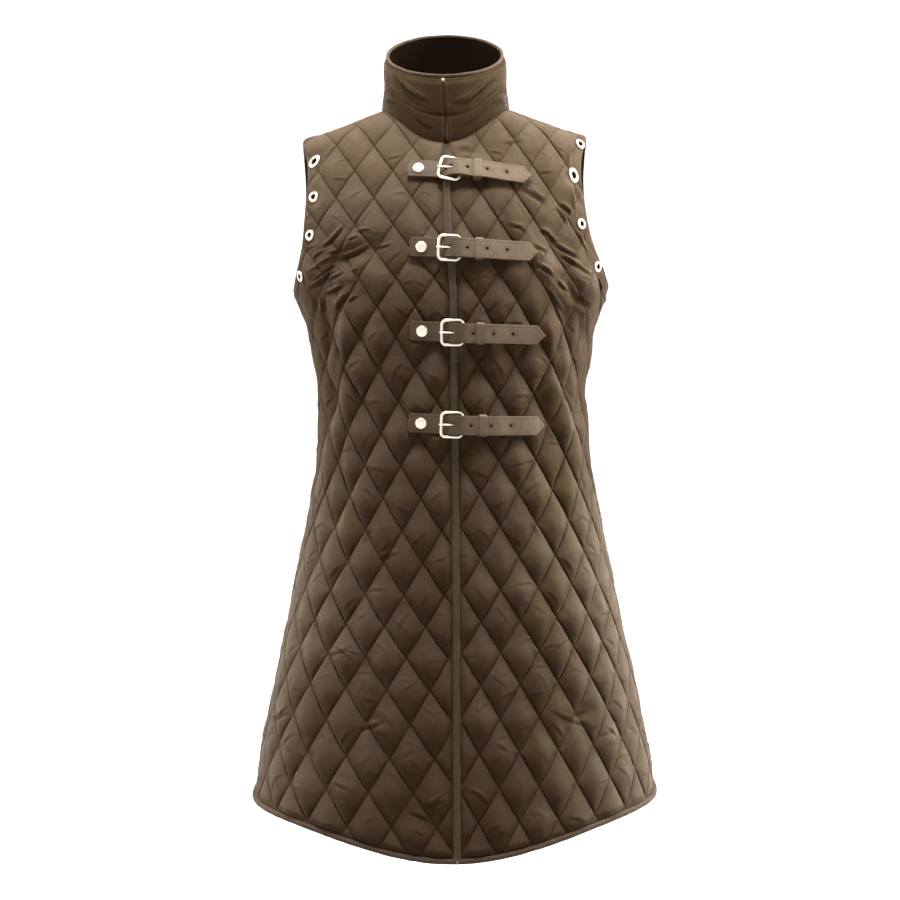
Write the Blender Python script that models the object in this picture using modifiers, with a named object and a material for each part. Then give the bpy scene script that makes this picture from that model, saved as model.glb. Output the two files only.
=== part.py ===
"""Sleeveless quilted gambeson with a stand collar, closed by four straps and buckles.

Lengths and tables are in millimetres and become metres when a mesh is made.  +Z is up, the front
faces -Y and +X is the wearer's left.  The origin lies between the high points of the shoulders,
where the wearer carries the coat.

The cloth follows one body form: level rings, each a superellipse with its own half width, front
depth and back depth.  Two quilt coordinates run over that form, P round the body and Q upwards.
The quilting lines lie where (P + Q) / 2 or (P - Q) / 2 is a whole number.  Each panel is cut out
of the (P, Q) plane, its outer skin raised between the lines, its inner skin plain.
"""

import math

import bmesh
import bpy
import numpy as np
from mathutils import Matrix, Vector
from mathutils.geometry import delaunay_2d_cdt

MM = 0.001

# Driving sizes of the cloth wall, measured along the form's normal
PUFF_RISE = 2.2          # the middle of a diamond above the form
SEAM_SINK = 2.2          # a quilting line below the form
CLOTH_INSIDE = 6.0       # the plain inner face below the form
PIECE_GAP = 0.35         # between neighbouring pieces
EDGE_FADE = 13.0         # from a panel's edge to its full puff
FORM_POWER = 2.3         # 2 is an ellipse, more is squarer

# Quilting
ROW_HEIGHT = 36.0        # mean height of a half row, for the cutting plane
COLUMN_WIDTH = 22.5      # mean width of a half column, for the cutting plane
SHOULDER_ROW = 35.0      # half row measured along the cloth over the shoulder
LEFT_ROW_SHIFT = 5.0     # the left front's rows lie a little higher
DIAMOND_TOP = 0.5        # flat of a diamond, as a share of its size
OUTLINE_STEP = 26.0      # longest edge along a panel's outline
SHORTEST_EDGE = 6.0      # below this, a quilting line ends at the nearest outline point
LINING_GRID = 52.0       # mesh of the plain inner face
PUFF_POWER = 0.45        # below 1 fills a diamond out towards its lines
LINE_END_SHARE = 0.06    # an outline point this near a quilting line ends it
LONGEST_STITCH = 1.3     # diamonds between joined points of one line

# Openings and edges
NECK_HALF_WIDTH = 76.0
NECK_FRONT = 66.0
NECK_BACK = 62.0
SHOULDER_TIP = 165.0     # half width at the armhole's top
UNDERARM_Z = -218.0
THREAD_Z = -106.0        # above this the columns run straight over the shoulder
HEM_SIDE_Z = -821.0
HEM_FRONT_DROP = 40.0
HEM_BACK_DROP = 10.0
FRONT_EDGE_X = 2.3       # middle of the closing edge
EDGE_BINDING_WIDTH = 6.4
EDGE_BINDING_OUTER = 0.8
HEM_BINDING_HEIGHT = 6.6
HEM_BINDING_DEPTH = 7.4
HEM_CHORD = 0.5          # room for the straight runs of a curved hem
NECK_STEPS = 8           # stations on a quarter of the neck seam

# Collar
COLLAR_WALL = 4.6
COLLAR_STAND = 0.6       # the outer face stands this far inside the rim's oval
COLLAR_SLIT = 1.2
SLIT_AT_RIM = -3.0       # the slit leans from the closing edge's x to this
SLIT_LEAN = 30.0         # cloth beside the slit that leans with it
COLLAR_RIM = 3.6         # height of the rim's binding
RIM_HALF_WIDTH = 72.5
RIM_DEPTH = 60.5         # of the rim's oval, in front and behind
RIM_FRONT_Z = 31.0
RIM_SLOPE = 0.42         # rise of the rim towards the back
HOOK_HEIGHT = 0.93       # share of the collar's height
HOOK_PROFILE = ((1.7, -0.75), (1.9, -0.05), (1.1, 0.75))

# Straps and buckles
STRAP_WIDTH = 22.5
STRAP_THICK = 2.6
STRAP_HOLE = 3.0
STRAP_HOLE_PITCH = 22.2
STRAP_SLOPE = -0.05
STRAP_POINT = 9.0        # length of the pointed end
STRAP_NOSE = 3.0         # its blunted tip
STRAP_CORNER = 1.5       # cut off the square end's corners
STRAP_HOLES = 3          # clear of the buckle
SLOT_FROM_BAR = 11.6     # from the buckle's free side to the middle of the prong's slot
SLOT_HALF_LENGTH = 4.6
SLOT_HALF_WIDTH = 1.6
BUCKLE_WIDTH = 27.4      # along the strap, outside
BUCKLE_HEIGHT = 31.0     # across the strap, outside
BUCKLE_WIRE = 3.2
FREE_BAR_LIFT = 7.7
HINGE_BAR_LIFT = 6.4
PRONG_WIRE = 2.2
PRONG_NECK = 5.4         # from the hinge bar to the start of the straight pin
PRONG_NECK_LIFT = 2.4    # of the pin's start above the hinge bar
PRONG_OVERHANG = 2.6     # of the tip past the free bar
CHAPE_WIDTH = 17.0
CHAPE_LEATHER = 1.6
CHAPE_TAIL = 14.0        # beyond the middle of the keeper
CHAPE_FOOT = 3.6         # underside of the doubled chape off the form
CHAPE_TOP = 6.8
CHAPE_TAIL_FOOT = 2.6    # of its single tail
CHAPE_TAIL_TOP = 5.4
KEEPER_LENGTH = 9.0
KEEPER_THICK = 1.5
RIVET_PROFILE = ((0.0, 0.0), (5.9, 0.0), (6.3, 0.7), (5.0, 1.8), (2.4, 2.6), (0.0, 2.6))
EYELET_RADIUS = 6.5
EYELET_BORE = 3.0
EYELET_BARREL = 3.55
EYELET_HOLE = 4.3        # in the cloth
EYELET_PAD = 8.6         # plain ring of cloth round it
PAD_LINE_CLEAR = 9.6     # quilting lines keep this far from the hole's centre
PAD_CLEAR = 11.6         # and their crossings this far
PAD_FADE = 17.6          # full puff again from here
EYELET_SEAT = -3.4       # depth of the barrel below the cloth's face
EYELET_INSET = 13.5      # from the armhole's edge

# share of the collar's height, share of the way to the rim's oval, sink of the outer face
COLLAR_ROWS = (
    (0.12, 0.35, 0.2),
    (0.27, 0.72, 0.9),
    (0.38, 0.86, 1.8),
    (0.50, 0.94, 0.4),
    (0.72, 1.00, 0.0),
    (0.90, 1.00, 0.3),
    (1.00, 1.00, 0.9),
)
COLLAR_LINING_ROWS = (0.27, 0.5, 1.0)

# z, half width, depth of the front, depth of the back, sway to the wearer's left
BODY_RINGS = (
    (30.0, 8.0, 24.0, 52.0, 0.0),
    (20.0, 14.0, 30.0, 60.0, 0.0),
    (0.0, 66.0, 38.0, 73.0, 0.0),
    (-10.0, 91.0, 46.0, 79.0, 0.0),
    (-20.0, 117.0, 54.0, 85.0, -0.5),
    (-38.0, 167.5, 62.0, 92.0, -1.5),
    (-46.0, 173.5, 67.0, 95.0, -2.0),
    (-70.0, 180.5, 88.0, 101.0, -2.3),
    (-110.0, 187.0, 110.0, 108.0, -2.3),
    (-150.0, 190.5, 123.0, 112.0, -0.8),
    (-190.0, 194.0, 131.0, 111.0, 2.5),
    (-216.0, 189.5, 133.5, 108.0, 4.0),
    (-240.0, 179.5, 134.0, 104.0, 3.8),
    (-265.0, 171.0, 134.0, 99.0, 3.5),
    (-290.0, 168.0, 134.0, 94.0, 3.4),
    (-340.0, 160.8, 134.0, 87.0, 3.4),
    (-385.0, 163.0, 135.0, 88.0, 3.6),
    (-433.0, 166.8, 137.0, 95.0, 3.6),
    (-480.0, 176.0, 140.0, 107.0, 3.3),
    (-530.0, 186.2, 144.0, 119.0, 3.0),
    (-580.0, 196.3, 148.0, 128.0, 2.7),
    (-630.0, 206.6, 152.0, 136.0, 2.2),
    (-680.0, 218.0, 156.0, 143.0, 1.8),
    (-730.0, 228.5, 161.0, 150.0, 1.3),
    (-780.0, 238.6, 166.0, 157.0, 0.8),
    (-830.0, 246.0, 171.0, 164.0, 0.3),
    (-880.0, 250.0, 175.0, 169.0, 0.0),
)

# Armhole seen from the side: z, how far its edge stands forward, how far back
ARMHOLE = (
    (-38.0, 0.0, 0.0),
    (-43.0, 16.0, 15.0),
    (-52.0, 31.0, 29.0),
    (-70.0, 47.0, 42.0),
    (-99.0, 60.0, 52.0),
    (-146.0, 68.0, 55.0),
    (-179.0, 64.0, 47.0),
    (-201.0, 50.0, 33.0),
    (-213.0, 29.0, 17.0),
    (-218.0, 0.0, 0.0),
)

# The largest folds of the fronts: from x, z to x, z, half width and rise off the form
FOLDS = (
    (-109.0, -167.0, -158.0, -208.0, 11.0, -3.0),
    (-87.0, -164.0, -128.0, -178.0, 11.0, -3.0),
    (-120.0, -202.0, -150.0, -222.0, 11.0, -2.5),
    (-145.0, -238.0, -139.0, -352.0, 13.0, -4.0),
    (-120.0, -235.0, -121.0, -384.0, 13.0, 3.0),
    (-128.0, -380.0, -140.0, -476.0, 13.0, -2.5),
    (122.0, -166.0, 144.0, -224.0, 12.0, -3.5),
    (150.0, -212.0, 156.0, -232.0, 17.0, 4.0),
    (133.0, -240.0, 152.0, -363.0, 13.0, -4.0),
    (112.0, -259.0, 131.0, -377.0, 13.0, 3.0),
    (104.0, -345.0, 122.0, -433.0, 13.0, -2.5),
    (124.0, -138.0, 142.0, -160.0, 10.0, -2.5),
)
FOLD_SIDE_FADE = 45.0    # the folds run out towards the side seam

# half row, z
QUILT_ROWS = (
    (-2, -905.0),
    (0, -826.0),
    (4, -667.0),
    (8, -523.0),
    (12, -374.0),
    (16, -227.0),
    (20, -106.0),
)

# z, P at the closing edge and column width: of the right front, then of the left front
FRONT_COLUMNS = (
    (-106.0, -3.69, 22.0, -4.04, 20.0),
    (-250.0, -3.90, 22.2, -3.39, 21.6),
    (-440.0, -3.71, 22.2, -3.34, 22.6),
    (-600.0, -3.39, 24.0, -3.38, 22.6),
    (-740.0, -2.86, 26.4, -3.20, 23.4),
    (-870.0, -2.76, 26.4, -3.12, 23.6),
)

# z, column width of the back
BACK_COLUMNS = (
    (-106.0, 21.5),
    (-350.0, 21.5),
    (-600.0, 24.0),
    (-870.0, 26.8),
)

# name, side of the body, lift of z along the armhole from the top one down
EYELETS = (
    ("right_front", -1, True, (-63.0, -104.0, -148.0, -196.0)),
    ("left_front", 1, True, (-46.5, -83.0, -139.0, -189.0)),
    ("right_back", -1, False, (-63.0, -104.0, -148.0, -190.0)),
    ("left_back", 1, False, (-58.0, -95.0, -138.0, -186.0)),
)

# z at the closing edge, then along X: square end, rivet, buckle, first hole, keeper, point
STRAPS = (
    (-77.0, -41.5, -29.7, 6.7, 3.6, 37.2, 98.7),
    (-164.0, -42.8, -29.3, 1.8, -1.0, 34.7, 100.5),
    (-258.0, -47.0, -33.2, 0.8, 1.5, 31.5, 104.8),
    (-363.0, -49.7, -35.8, -1.0, -2.3, 33.3, 103.3),
)

# How far the strap's middle stands off the form, from the free bar, hinge bar or keeper
STRAP_FLAT_LIFT = 3.6
STRAP_TOP_LIFT = 12.3
STRAP_KEEPER_LIFT = 8.7
STRAP_TIP_LIFT = 4.6


# ---------------------------------------------------------------- curves and form

def column(table, index):
    """One column of a table, as an array."""
    return np.array([row[index] for row in table], dtype=float)


def smooth_curve(xs, ys, blur, step=2.0):
    """Samples of the broken line through a table, rounded by two running means."""
    order = np.argsort(xs)
    grid = np.arange(min(xs) - 4 * blur, max(xs) + 4 * blur, step)
    low_slope = (ys[order[1]] - ys[order[0]]) / (xs[order[1]] - xs[order[0]])
    high_slope = (ys[order[-1]] - ys[order[-2]]) / (xs[order[-1]] - xs[order[-2]])
    values = np.interp(grid, np.array(xs)[order], np.array(ys)[order])
    first, last = xs[order[0]], xs[order[-1]]
    values = np.where(grid < first, ys[order[0]] + (grid - first) * low_slope, values)
    values = np.where(grid > last, ys[order[-1]] + (grid - last) * high_slope, values)
    width = max(1, int(round(blur / step)))
    kernel = np.ones(2 * width + 1) / (2 * width + 1)
    for _ in range(2):
        padded = np.pad(values, width, mode="reflect", reflect_type="odd")
        values = np.convolve(padded, kernel, mode="valid")
    return grid, values


RING_Z = column(BODY_RINGS, 0)
HALF_WIDTH = smooth_curve(RING_Z, column(BODY_RINGS, 1), 5.0)
FRONT_DEPTH = smooth_curve(RING_Z, column(BODY_RINGS, 2), 12.0)
BACK_DEPTH = smooth_curve(RING_Z, column(BODY_RINGS, 3), 12.0)
SWAY = smooth_curve(RING_Z, column(BODY_RINGS, 4), 12.0)
ROWS = smooth_curve(column(QUILT_ROWS, 0), column(QUILT_ROWS, 1), 0.8, step=0.1)


def at(curve, value):
    """Value of a sampled curve."""
    return float(np.interp(value, curve[0], curve[1]))


def ramp(low, high, value):
    """0 below low, 1 above high, smooth between."""
    share = min(1.0, max(0.0, (value - low) / (high - low)))
    return share * share * (3.0 - 2.0 * share)


def depth_curve(front):
    """Depth of the form's front or back half."""
    return FRONT_DEPTH if front else BACK_DEPTH


def ring_depth(x, z, front):
    """Distance of the form from the plane y = 0 at (x, z)."""
    share = min(1.0, abs(x) / at(HALF_WIDTH, z))
    return at(depth_curve(front), z) * (1.0 - share ** FORM_POWER) ** (1.0 / FORM_POWER)


def fold_rise(x, z, depth):
    """Rise of the front's folds off the form."""
    rise = 0.0
    for x0, z0, x1, z1, half_width, height in FOLDS:
        run_x, run_z = x1 - x0, z1 - z0
        share = ((x - x0) * run_x + (z - z0) * run_z) / (run_x ** 2 + run_z ** 2)
        share = min(1.0, max(0.0, share))
        away = math.hypot(x - x0 - share * run_x, z - z0 - share * run_z) / half_width
        if away < 3.0:
            rise += height * math.exp(-away * away)
    return rise * ramp(0.0, FOLD_SIDE_FADE, depth)


def form_point(x, z, front, depth=None):
    """Point of the form, and its outward normal, at an unswayed x."""
    y = ring_depth(x, z, front) if depth is None else depth
    width, deep = at(HALF_WIDTH, z), at(depth_curve(front), z)
    n = FORM_POWER
    slope_width = at(HALF_WIDTH, z + 1.0) - at(HALF_WIDTH, z - 1.0)
    slope_deep = at(depth_curve(front), z + 1.0) - at(depth_curve(front), z - 1.0)
    gx = (abs(x) / width) ** (n - 1.0) / width
    gy = (y / deep) ** (n - 1.0) / deep
    gz = -0.5 * ((abs(x) / width) ** n / width * slope_width + (y / deep) ** n / deep * slope_deep)
    facing = -1.0 if front else 1.0
    normal = Vector((math.copysign(gx, x) if x else 0.0, facing * gy, gz)).normalized()
    place = Vector((x + at(SWAY, z), facing * y, z))
    return (place + normal * fold_rise(x, z, y) if front else place), normal


def ring_turns():
    """Angles that sample a quarter ring, closest at its ends."""
    return 0.5 * math.pi * (0.5 - 0.5 * np.cos(np.linspace(0.0, math.pi, 121)))


TURNS = ring_turns()


def quarter_ring(z, front):
    """x, depth and quilting distance from the middle along a quarter of a ring."""
    x = at(HALF_WIDTH, z) * np.sin(TURNS) ** (2.0 / FORM_POWER)
    y = at(depth_curve(front), z) * np.cos(TURNS) ** (2.0 / FORM_POWER)
    arc = np.concatenate(([0.0], np.cumsum(np.hypot(np.diff(x), np.diff(y)))))
    straight = ramp(UNDERARM_Z, THREAD_Z, z)
    return x, y, (1.0 - straight) * arc + straight * x


# ---------------------------------------------------------------- quilting

class Quilt:
    """The (P, Q) coordinates of one panel on the form."""

    def __init__(self, side, front):
        self.side = side
        self.front = front
        self.row_shift = LEFT_ROW_SHIFT if side > 0 and front else 0.0
        if not front:
            levels = column(BACK_COLUMNS, 0)
            self.phase = (np.sort(levels), np.zeros(len(levels)))
            self.pitch = smooth_curve(levels, column(BACK_COLUMNS, 1), 40.0)
            return
        first = 1 if side < 0 else 3
        levels = column(FRONT_COLUMNS, 0)
        self.phase = smooth_curve(levels, column(FRONT_COLUMNS, first), 40.0)
        self.pitch = smooth_curve(levels, column(FRONT_COLUMNS, first + 1), 40.0)

    def thread(self, x):
        """Length up the form from THREAD_Z at one x, against z."""
        z = THREAD_Z + (ridge_level(x) - THREAD_Z) * np.sin(np.linspace(0.0, 0.5 * math.pi, 60))
        y = np.array([ring_depth(x, value, self.front) for value in z])
        return z, np.concatenate(([0.0], np.cumsum(np.hypot(np.diff(z), np.diff(y)))))

    def row(self, x, z):
        """Q at a point of the form."""
        level = min(z, THREAD_Z) - self.row_shift
        value = float(np.interp(level, ROWS[1], ROWS[0]))
        if z > THREAD_Z:
            levels, lengths = self.thread(x)
            value += float(np.interp(z, levels, lengths)) / SHOULDER_ROW
        return value

    def plan(self, x, z, depth=None):
        """Cutting-plane point of a point of the form; x is measured from the middle."""
        level = min(z, THREAD_Z)
        if z > THREAD_Z:
            distance = abs(x)
        else:
            xs, ys, distances = quarter_ring(z, self.front)
            if depth is None:
                distance = float(np.interp(abs(x), xs, distances))
            else:
                distance = float(np.interp(-depth, -ys, distances))
        across = at(self.phase, level) + distance / at(self.pitch, level)
        if not self.front:
            across *= math.copysign(1.0, x) if x else 1.0
        return Vector((across * COLUMN_WIDTH, self.row(abs(x), z) * ROW_HEIGHT))

    def place(self, plan):
        """x, z and depth on the form for a cutting-plane point."""
        across, row = plan[0] / COLUMN_WIDTH, plan[1] / ROW_HEIGHT
        side = self.side if self.front else math.copysign(1.0, across)
        if not self.front:
            across = abs(across)
        top_row = float(np.interp(THREAD_Z - self.row_shift, ROWS[1], ROWS[0]))
        if row <= top_row:
            z = at(ROWS, row) + self.row_shift
            distance = (across - at(self.phase, z)) * at(self.pitch, z)
            xs, ys, distances = quarter_ring(z, self.front)
            x = float(np.interp(distance, distances, xs))
            y = float(np.interp(distance, distances, ys))
            return side * x, z, y
        x = (across - at(self.phase, THREAD_Z)) * at(self.pitch, THREAD_Z)
        levels, lengths = self.thread(x)
        z = float(np.interp((row - top_row) * SHOULDER_ROW, lengths, levels))
        return side * x, z, ring_depth(x, z, self.front)

    def puff(self, plan):
        """0 on a quilting line, 1 in the middle of a diamond."""
        across, row = plan[0] / COLUMN_WIDTH, plan[1] / ROW_HEIGHT
        rising = abs(math.sin(0.5 * math.pi * (across + row)))
        falling = abs(math.sin(0.5 * math.pi * (across - row)))
        return (rising * falling) ** PUFF_POWER


# ---------------------------------------------------------------- outlines in the plane

def hem_level(x, z_side, drop):
    """Height of the hem at an x."""
    share = min(1.0, abs(x) / at(HALF_WIDTH, z_side))
    return z_side - 0.5 * drop * (1.0 + math.cos(math.pi * share))


def on_form(x, depth, front):
    """z at which the form passes through a plan point."""
    low, high = -150.0, 29.0
    for _ in range(40):
        middle = 0.5 * (low + high)
        ring = (abs(x) / at(HALF_WIDTH, middle)) ** FORM_POWER
        ring += (depth / at(depth_curve(front), middle)) ** FORM_POWER
        low, high = (middle, high) if ring < 1.0 else (low, middle)
    return 0.5 * (low + high)


def neck_point(angle):
    """x, depth and z of the neck seam; the angle runs from the middle of the front."""
    front = math.cos(angle) >= 0.0
    x = NECK_HALF_WIDTH * abs(math.sin(angle))
    depth = (NECK_FRONT if front else NECK_BACK) * abs(math.cos(angle))
    return x, depth, on_form(x, depth, front)


def neck_angles(front):
    """Stations of the neck seam on one quarter, from the middle to the shoulder."""
    shares = np.linspace(0.0, 1.0, NECK_STEPS + 1) * 0.5 * math.pi
    return shares if front else math.pi - shares


def armhole_edge(front):
    """(z, depth) stations of the armhole from the shoulder to the underarm."""
    table = np.array(ARMHOLE)
    stations = np.linspace(0.0, len(ARMHOLE) - 1.0, 121)
    index = 1 if front else 2
    z = np.interp(stations, range(len(ARMHOLE)), table[:, 0])
    depth = np.interp(stations, range(len(ARMHOLE)), table[:, index])
    kernel = np.ones(13) / 13.0
    for _ in range(2):
        z = np.convolve(np.pad(z, 6, mode="reflect", reflect_type="odd"), kernel, mode="valid")
        depth = np.convolve(np.pad(depth, 6, mode="reflect", reflect_type="odd"), kernel,
                            mode="valid")
    return z, np.maximum(depth, 0.0)


def x_on_ring(z, depth, front):
    """x of the form at a height and a depth."""
    share = min(1.0, depth / at(depth_curve(front), z))
    return at(HALF_WIDTH, z) * (1.0 - share ** FORM_POWER) ** (1.0 / FORM_POWER)


def armhole_x(z, front):
    """x and depth of the armhole's edge at a height."""
    levels, depths = armhole_edge(front)
    depth = float(np.interp(-z, -levels, depths))
    return x_on_ring(z, depth, front), depth


def half_outline(quilt, edge_distance):
    """Corner-to-corner runs of fine points round half of a panel, each (x, z, depth)."""
    front = quilt.front
    drop = HEM_FRONT_DROP if front else HEM_BACK_DROP
    runs = []
    if edge_distance is not None:
        neck_z = neck_level_at(edge_distance, front)
        hem_z = hem_level(edge_distance, HEM_SIDE_Z, drop)
        runs.append([(edge_distance, z, None) for z in np.linspace(hem_z, neck_z, 200)])
    neck = []
    for angle in neck_angles(front):
        x, depth, z = neck_point(angle)
        if edge_distance is None or x > edge_distance + SHORTEST_EDGE:
            neck.append((x, z, depth))
    if edge_distance is not None:
        neck.insert(0, (edge_distance, neck_level_at(edge_distance, front), None))
    runs.append(neck)
    ridge = []
    for x in np.linspace(NECK_HALF_WIDTH, SHOULDER_TIP, 40):
        ridge.append((x, ridge_level(x), 0.0))
    runs.append(ridge)
    levels, depths = armhole_edge(front)
    arm = [(x_on_ring(z, depth, front), z, depth) for z, depth in zip(levels, depths)]
    arm[0] = (SHOULDER_TIP, ridge_level(SHOULDER_TIP), 0.0)
    runs.append(arm)
    side = []
    for z in np.linspace(levels[-1], HEM_SIDE_Z, 160):
        side.append((at(HALF_WIDTH, z), z, 0.0))
    runs.append(side)
    hem = []
    start = 0.0 if edge_distance is None else edge_distance
    for turn in np.linspace(0.5 * math.pi, 0.0, 120):
        level = HEM_SIDE_Z
        for _ in range(4):
            x = at(HALF_WIDTH, level) * math.sin(turn) ** (2.0 / FORM_POWER)
            level = hem_level(x, HEM_SIDE_Z, drop)
        depth = at(depth_curve(front), level) * math.cos(turn) ** (2.0 / FORM_POWER)
        if x > start:
            hem.append((x, level, depth))
    hem.append((start, hem_level(start, HEM_SIDE_Z, drop), None))
    runs.append(hem)
    return runs


def neck_level_at(x, front):
    """z of the neck seam at an x."""
    angle = math.asin(min(1.0, x / NECK_HALF_WIDTH))
    return neck_point(angle if front else math.pi - angle)[2]


def ridge_level(x):
    """z of the shoulder line at an x."""
    low, high = -105.0, 29.0
    for _ in range(40):
        middle = 0.5 * (low + high)
        low, high = (middle, high) if at(HALF_WIDTH, middle) > x else (low, middle)
    return 0.5 * (low + high)


def line_numbers(plan):
    """The two quilting numbers of a cutting-plane point."""
    across, row = plan[0] / COLUMN_WIDTH, plan[1] / ROW_HEIGHT
    return 0.5 * (across + row), 0.5 * (across - row)


def thin_run(points, keep_all):
    """Outline points of one run: its ends, the ends of quilting lines, and fillers."""
    if keep_all:
        return [(point, True) for point in points]
    lengths = [0.0]
    for before, after in zip(points, points[1:]):
        lengths.append(lengths[-1] + (after - before).length)
    marks = []
    for index, (before, after) in enumerate(zip(points, points[1:])):
        for first, last in zip(line_numbers(before), line_numbers(after)):
            if math.floor(first) != math.floor(last):
                whole = max(math.floor(first), math.floor(last))
                share = (whole - first) / (last - first)
                marks.append(lengths[index] + share * (lengths[index + 1] - lengths[index]))
    kept = [0.0]
    for mark in sorted(marks):
        if mark - kept[-1] > SHORTEST_EDGE and lengths[-1] - mark > SHORTEST_EDGE:
            kept.append(mark)
    kept.append(lengths[-1])
    stations = []
    for first, last in zip(kept, kept[1:]):
        parts = max(1, math.ceil((last - first) / OUTLINE_STEP))
        for part in range(parts):
            stations.append((first + (last - first) * part / parts, part == 0))
    stations.append((lengths[-1], True))
    xs = [point[0] for point in points]
    ys = [point[1] for point in points]
    return [(Vector((np.interp(s, lengths, xs), np.interp(s, lengths, ys))), on_line)
            for s, on_line in stations]


def inside(point, loop):
    """Whether a plane point lies inside a loop."""
    hit = False
    x, y = point[0], point[1]
    for (x0, y0), (x1, y1) in zip(loop, loop[1:] + loop[:1]):
        if (y0 > y) != (y1 > y) and x < (x1 - x0) * (y - y0) / (y1 - y0) + x0:
            hit = not hit
    return hit


def distance_to(point, loop):
    """Distance of a plane point from a loop."""
    corners = np.array([(p[0], p[1]) for p in loop])
    ends = np.roll(corners, -1, axis=0)
    along = ends - corners
    offset = np.array((point[0], point[1])) - corners
    share = np.clip((offset * along).sum(1) / np.maximum((along ** 2).sum(1), 1e-9), 0.0, 1.0)
    return float(np.hypot(*(offset - along * share[:, None]).T).min())


def segment_distance(centre, first, last):
    """Distance of a plane point from a segment."""
    along = last - first
    share = min(1.0, max(0.0, (centre - first).dot(along) / along.length_squared))
    return (centre - first - along * share).length


# ---------------------------------------------------------------- walls

def triangulate(points, edges, loops):
    """Delaunay triangles inside the first loop and outside the others."""
    found = delaunay_2d_cdt([Vector(p[:2]) for p in points], edges, [], 0, 1e-5)
    plane = [Vector(p) for p in found[0]]
    triangles = []
    for face in found[2]:
        centre = sum((plane[i] for i in face), Vector((0.0, 0.0))) / len(face)
        if inside(centre, loops[0]) and not any(inside(centre, hole) for hole in loops[1:]):
            triangles.append(tuple(face))
    return plane, triangles, found[3]


def loop_verts(loops, origins, verts):
    """Mesh vertices of each loop, from the numbers its points had going in."""
    made = {number: index for index, numbers in enumerate(origins) for number in numbers}
    result, start = [], 0
    for loop in loops:
        result.append([verts[made[start + i]] for i in range(len(loop))])
        start += len(loop)
    return result


def loop_edges(start, count):
    """Edges of a closed loop of consecutive points."""
    return [(start + i, start + (i + 1) % count) for i in range(count)]


def wall_mesh(name, loops, outer, inner):
    """Closed wall over plane loops: each skin is its points, its edges and where a point goes."""
    mesh = bmesh.new()
    skins = []
    for extra, edges, lift in (outer, inner):
        points, constraints = [], []
        for loop in loops:
            constraints += loop_edges(len(points), len(loop))
            points += loop
        constraints += [(first, last) for first, last in edges]
        plane, triangles, origins = triangulate(points + extra, constraints, loops)
        used = sorted({index for triangle in triangles for index in triangle})
        verts = {index: mesh.verts.new(lift(plane[index]) * MM) for index in used}
        for triangle in triangles:
            mesh.faces.new([verts[index] for index in triangle])
        skins.append(loop_verts(loops, origins, verts))
    for outer_loop, inner_loop in zip(*skins):
        for index in range(len(outer_loop)):
            after = (index + 1) % len(outer_loop)
            corners = (outer_loop[index], outer_loop[after], inner_loop[after], inner_loop[index])
            mesh.faces.new((corners[0], corners[1], corners[2]))
            mesh.faces.new((corners[0], corners[2], corners[3]))
    bmesh.ops.recalc_face_normals(mesh, faces=mesh.faces)
    data = bpy.data.meshes.new(name)
    mesh.to_mesh(data)
    mesh.free()
    return data


def panel_outline(quilt, edge_distance):
    """Outline points of a panel and whether a quilting line may end at each."""
    halves = [quilt.side] if quilt.front else [1.0, -1.0]
    outline = []
    for side in halves:
        half = []
        runs = half_outline(quilt, edge_distance)
        neck_run = 1 if edge_distance is not None else 0
        for index, run in enumerate(runs):
            plan = [quilt.plan(side * x, z, depth) for x, z, depth in run]
            half += thin_run(plan, index == neck_run)[:-1]
        if not quilt.front:
            middle_x, middle_z, _ = runs[-1][-1]
            half.append((quilt.plan(middle_x, middle_z), True))
        outline.append(half)
    if quilt.front:
        return outline[0]
    right, left = outline
    return right + left[::-1][1:-1]


def quilting(quilt, loop, line_ends, pads):
    """Points and edges of the quilting inside a panel, numbered after the outline's points."""
    points, edges, number = [], [], {}
    low = [min(line_numbers(p)[k] for p in loop) for k in (0, 1)]
    high = [max(line_numbers(p)[k] for p in loop) for k in (0, 1)]
    base = len(loop) + sum(len(pad["hole"]) for pad in pads)

    def clear(point, margin):
        near_pad = any((point - pad["centre"]).length < PAD_CLEAR for pad in pads)
        return inside(point, loop) and distance_to(point, loop) > margin and not near_pad

    def plane(rising, falling):
        return Vector(((rising + falling) * COLUMN_WIDTH, (rising - falling) * ROW_HEIGHT))

    def add(point):
        points.append(point)
        return base + len(points) - 1

    for rising in range(math.floor(low[0]), math.ceil(high[0]) + 1):
        for falling in range(math.floor(low[1]), math.ceil(high[1]) + 1):
            crossing = plane(rising, falling)
            if clear(crossing, SHORTEST_EDGE - 1.0):
                number[(rising, falling)] = add(crossing)
            half = 0.5 * DIAMOND_TOP
            for step in ((-half, -half), (-half, half), (half, half), (half, -half)):
                corner = plane(rising + 0.5 + step[0], falling + 0.5 + step[1])
                if clear(corner, SHORTEST_EDGE):
                    add(corner)
    for family in (0, 1):
        lines = {}
        for key, index in number.items():
            lines.setdefault(key[family], []).append((key[1 - family], index, points[index - base]))
        for index in line_ends:
            numbers = line_numbers(loop[index])
            if abs(numbers[family] - round(numbers[family])) < LINE_END_SHARE:
                entry = (numbers[1 - family], index, loop[index])
                lines.setdefault(round(numbers[family]), []).append(entry)
        for stops in lines.values():
            stops.sort(key=lambda stop: stop[0])
            for first, last in zip(stops, stops[1:]):
                middle = 0.5 * (first[2] + last[2])
                pad_near = any(segment_distance(pad["centre"], first[2], last[2]) < PAD_LINE_CLEAR
                               for pad in pads)
                near = last[0] - first[0] < LONGEST_STITCH
                if near and inside(middle, loop) and not pad_near:
                    edges.append((first[1], last[1]))
    return points, edges


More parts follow.
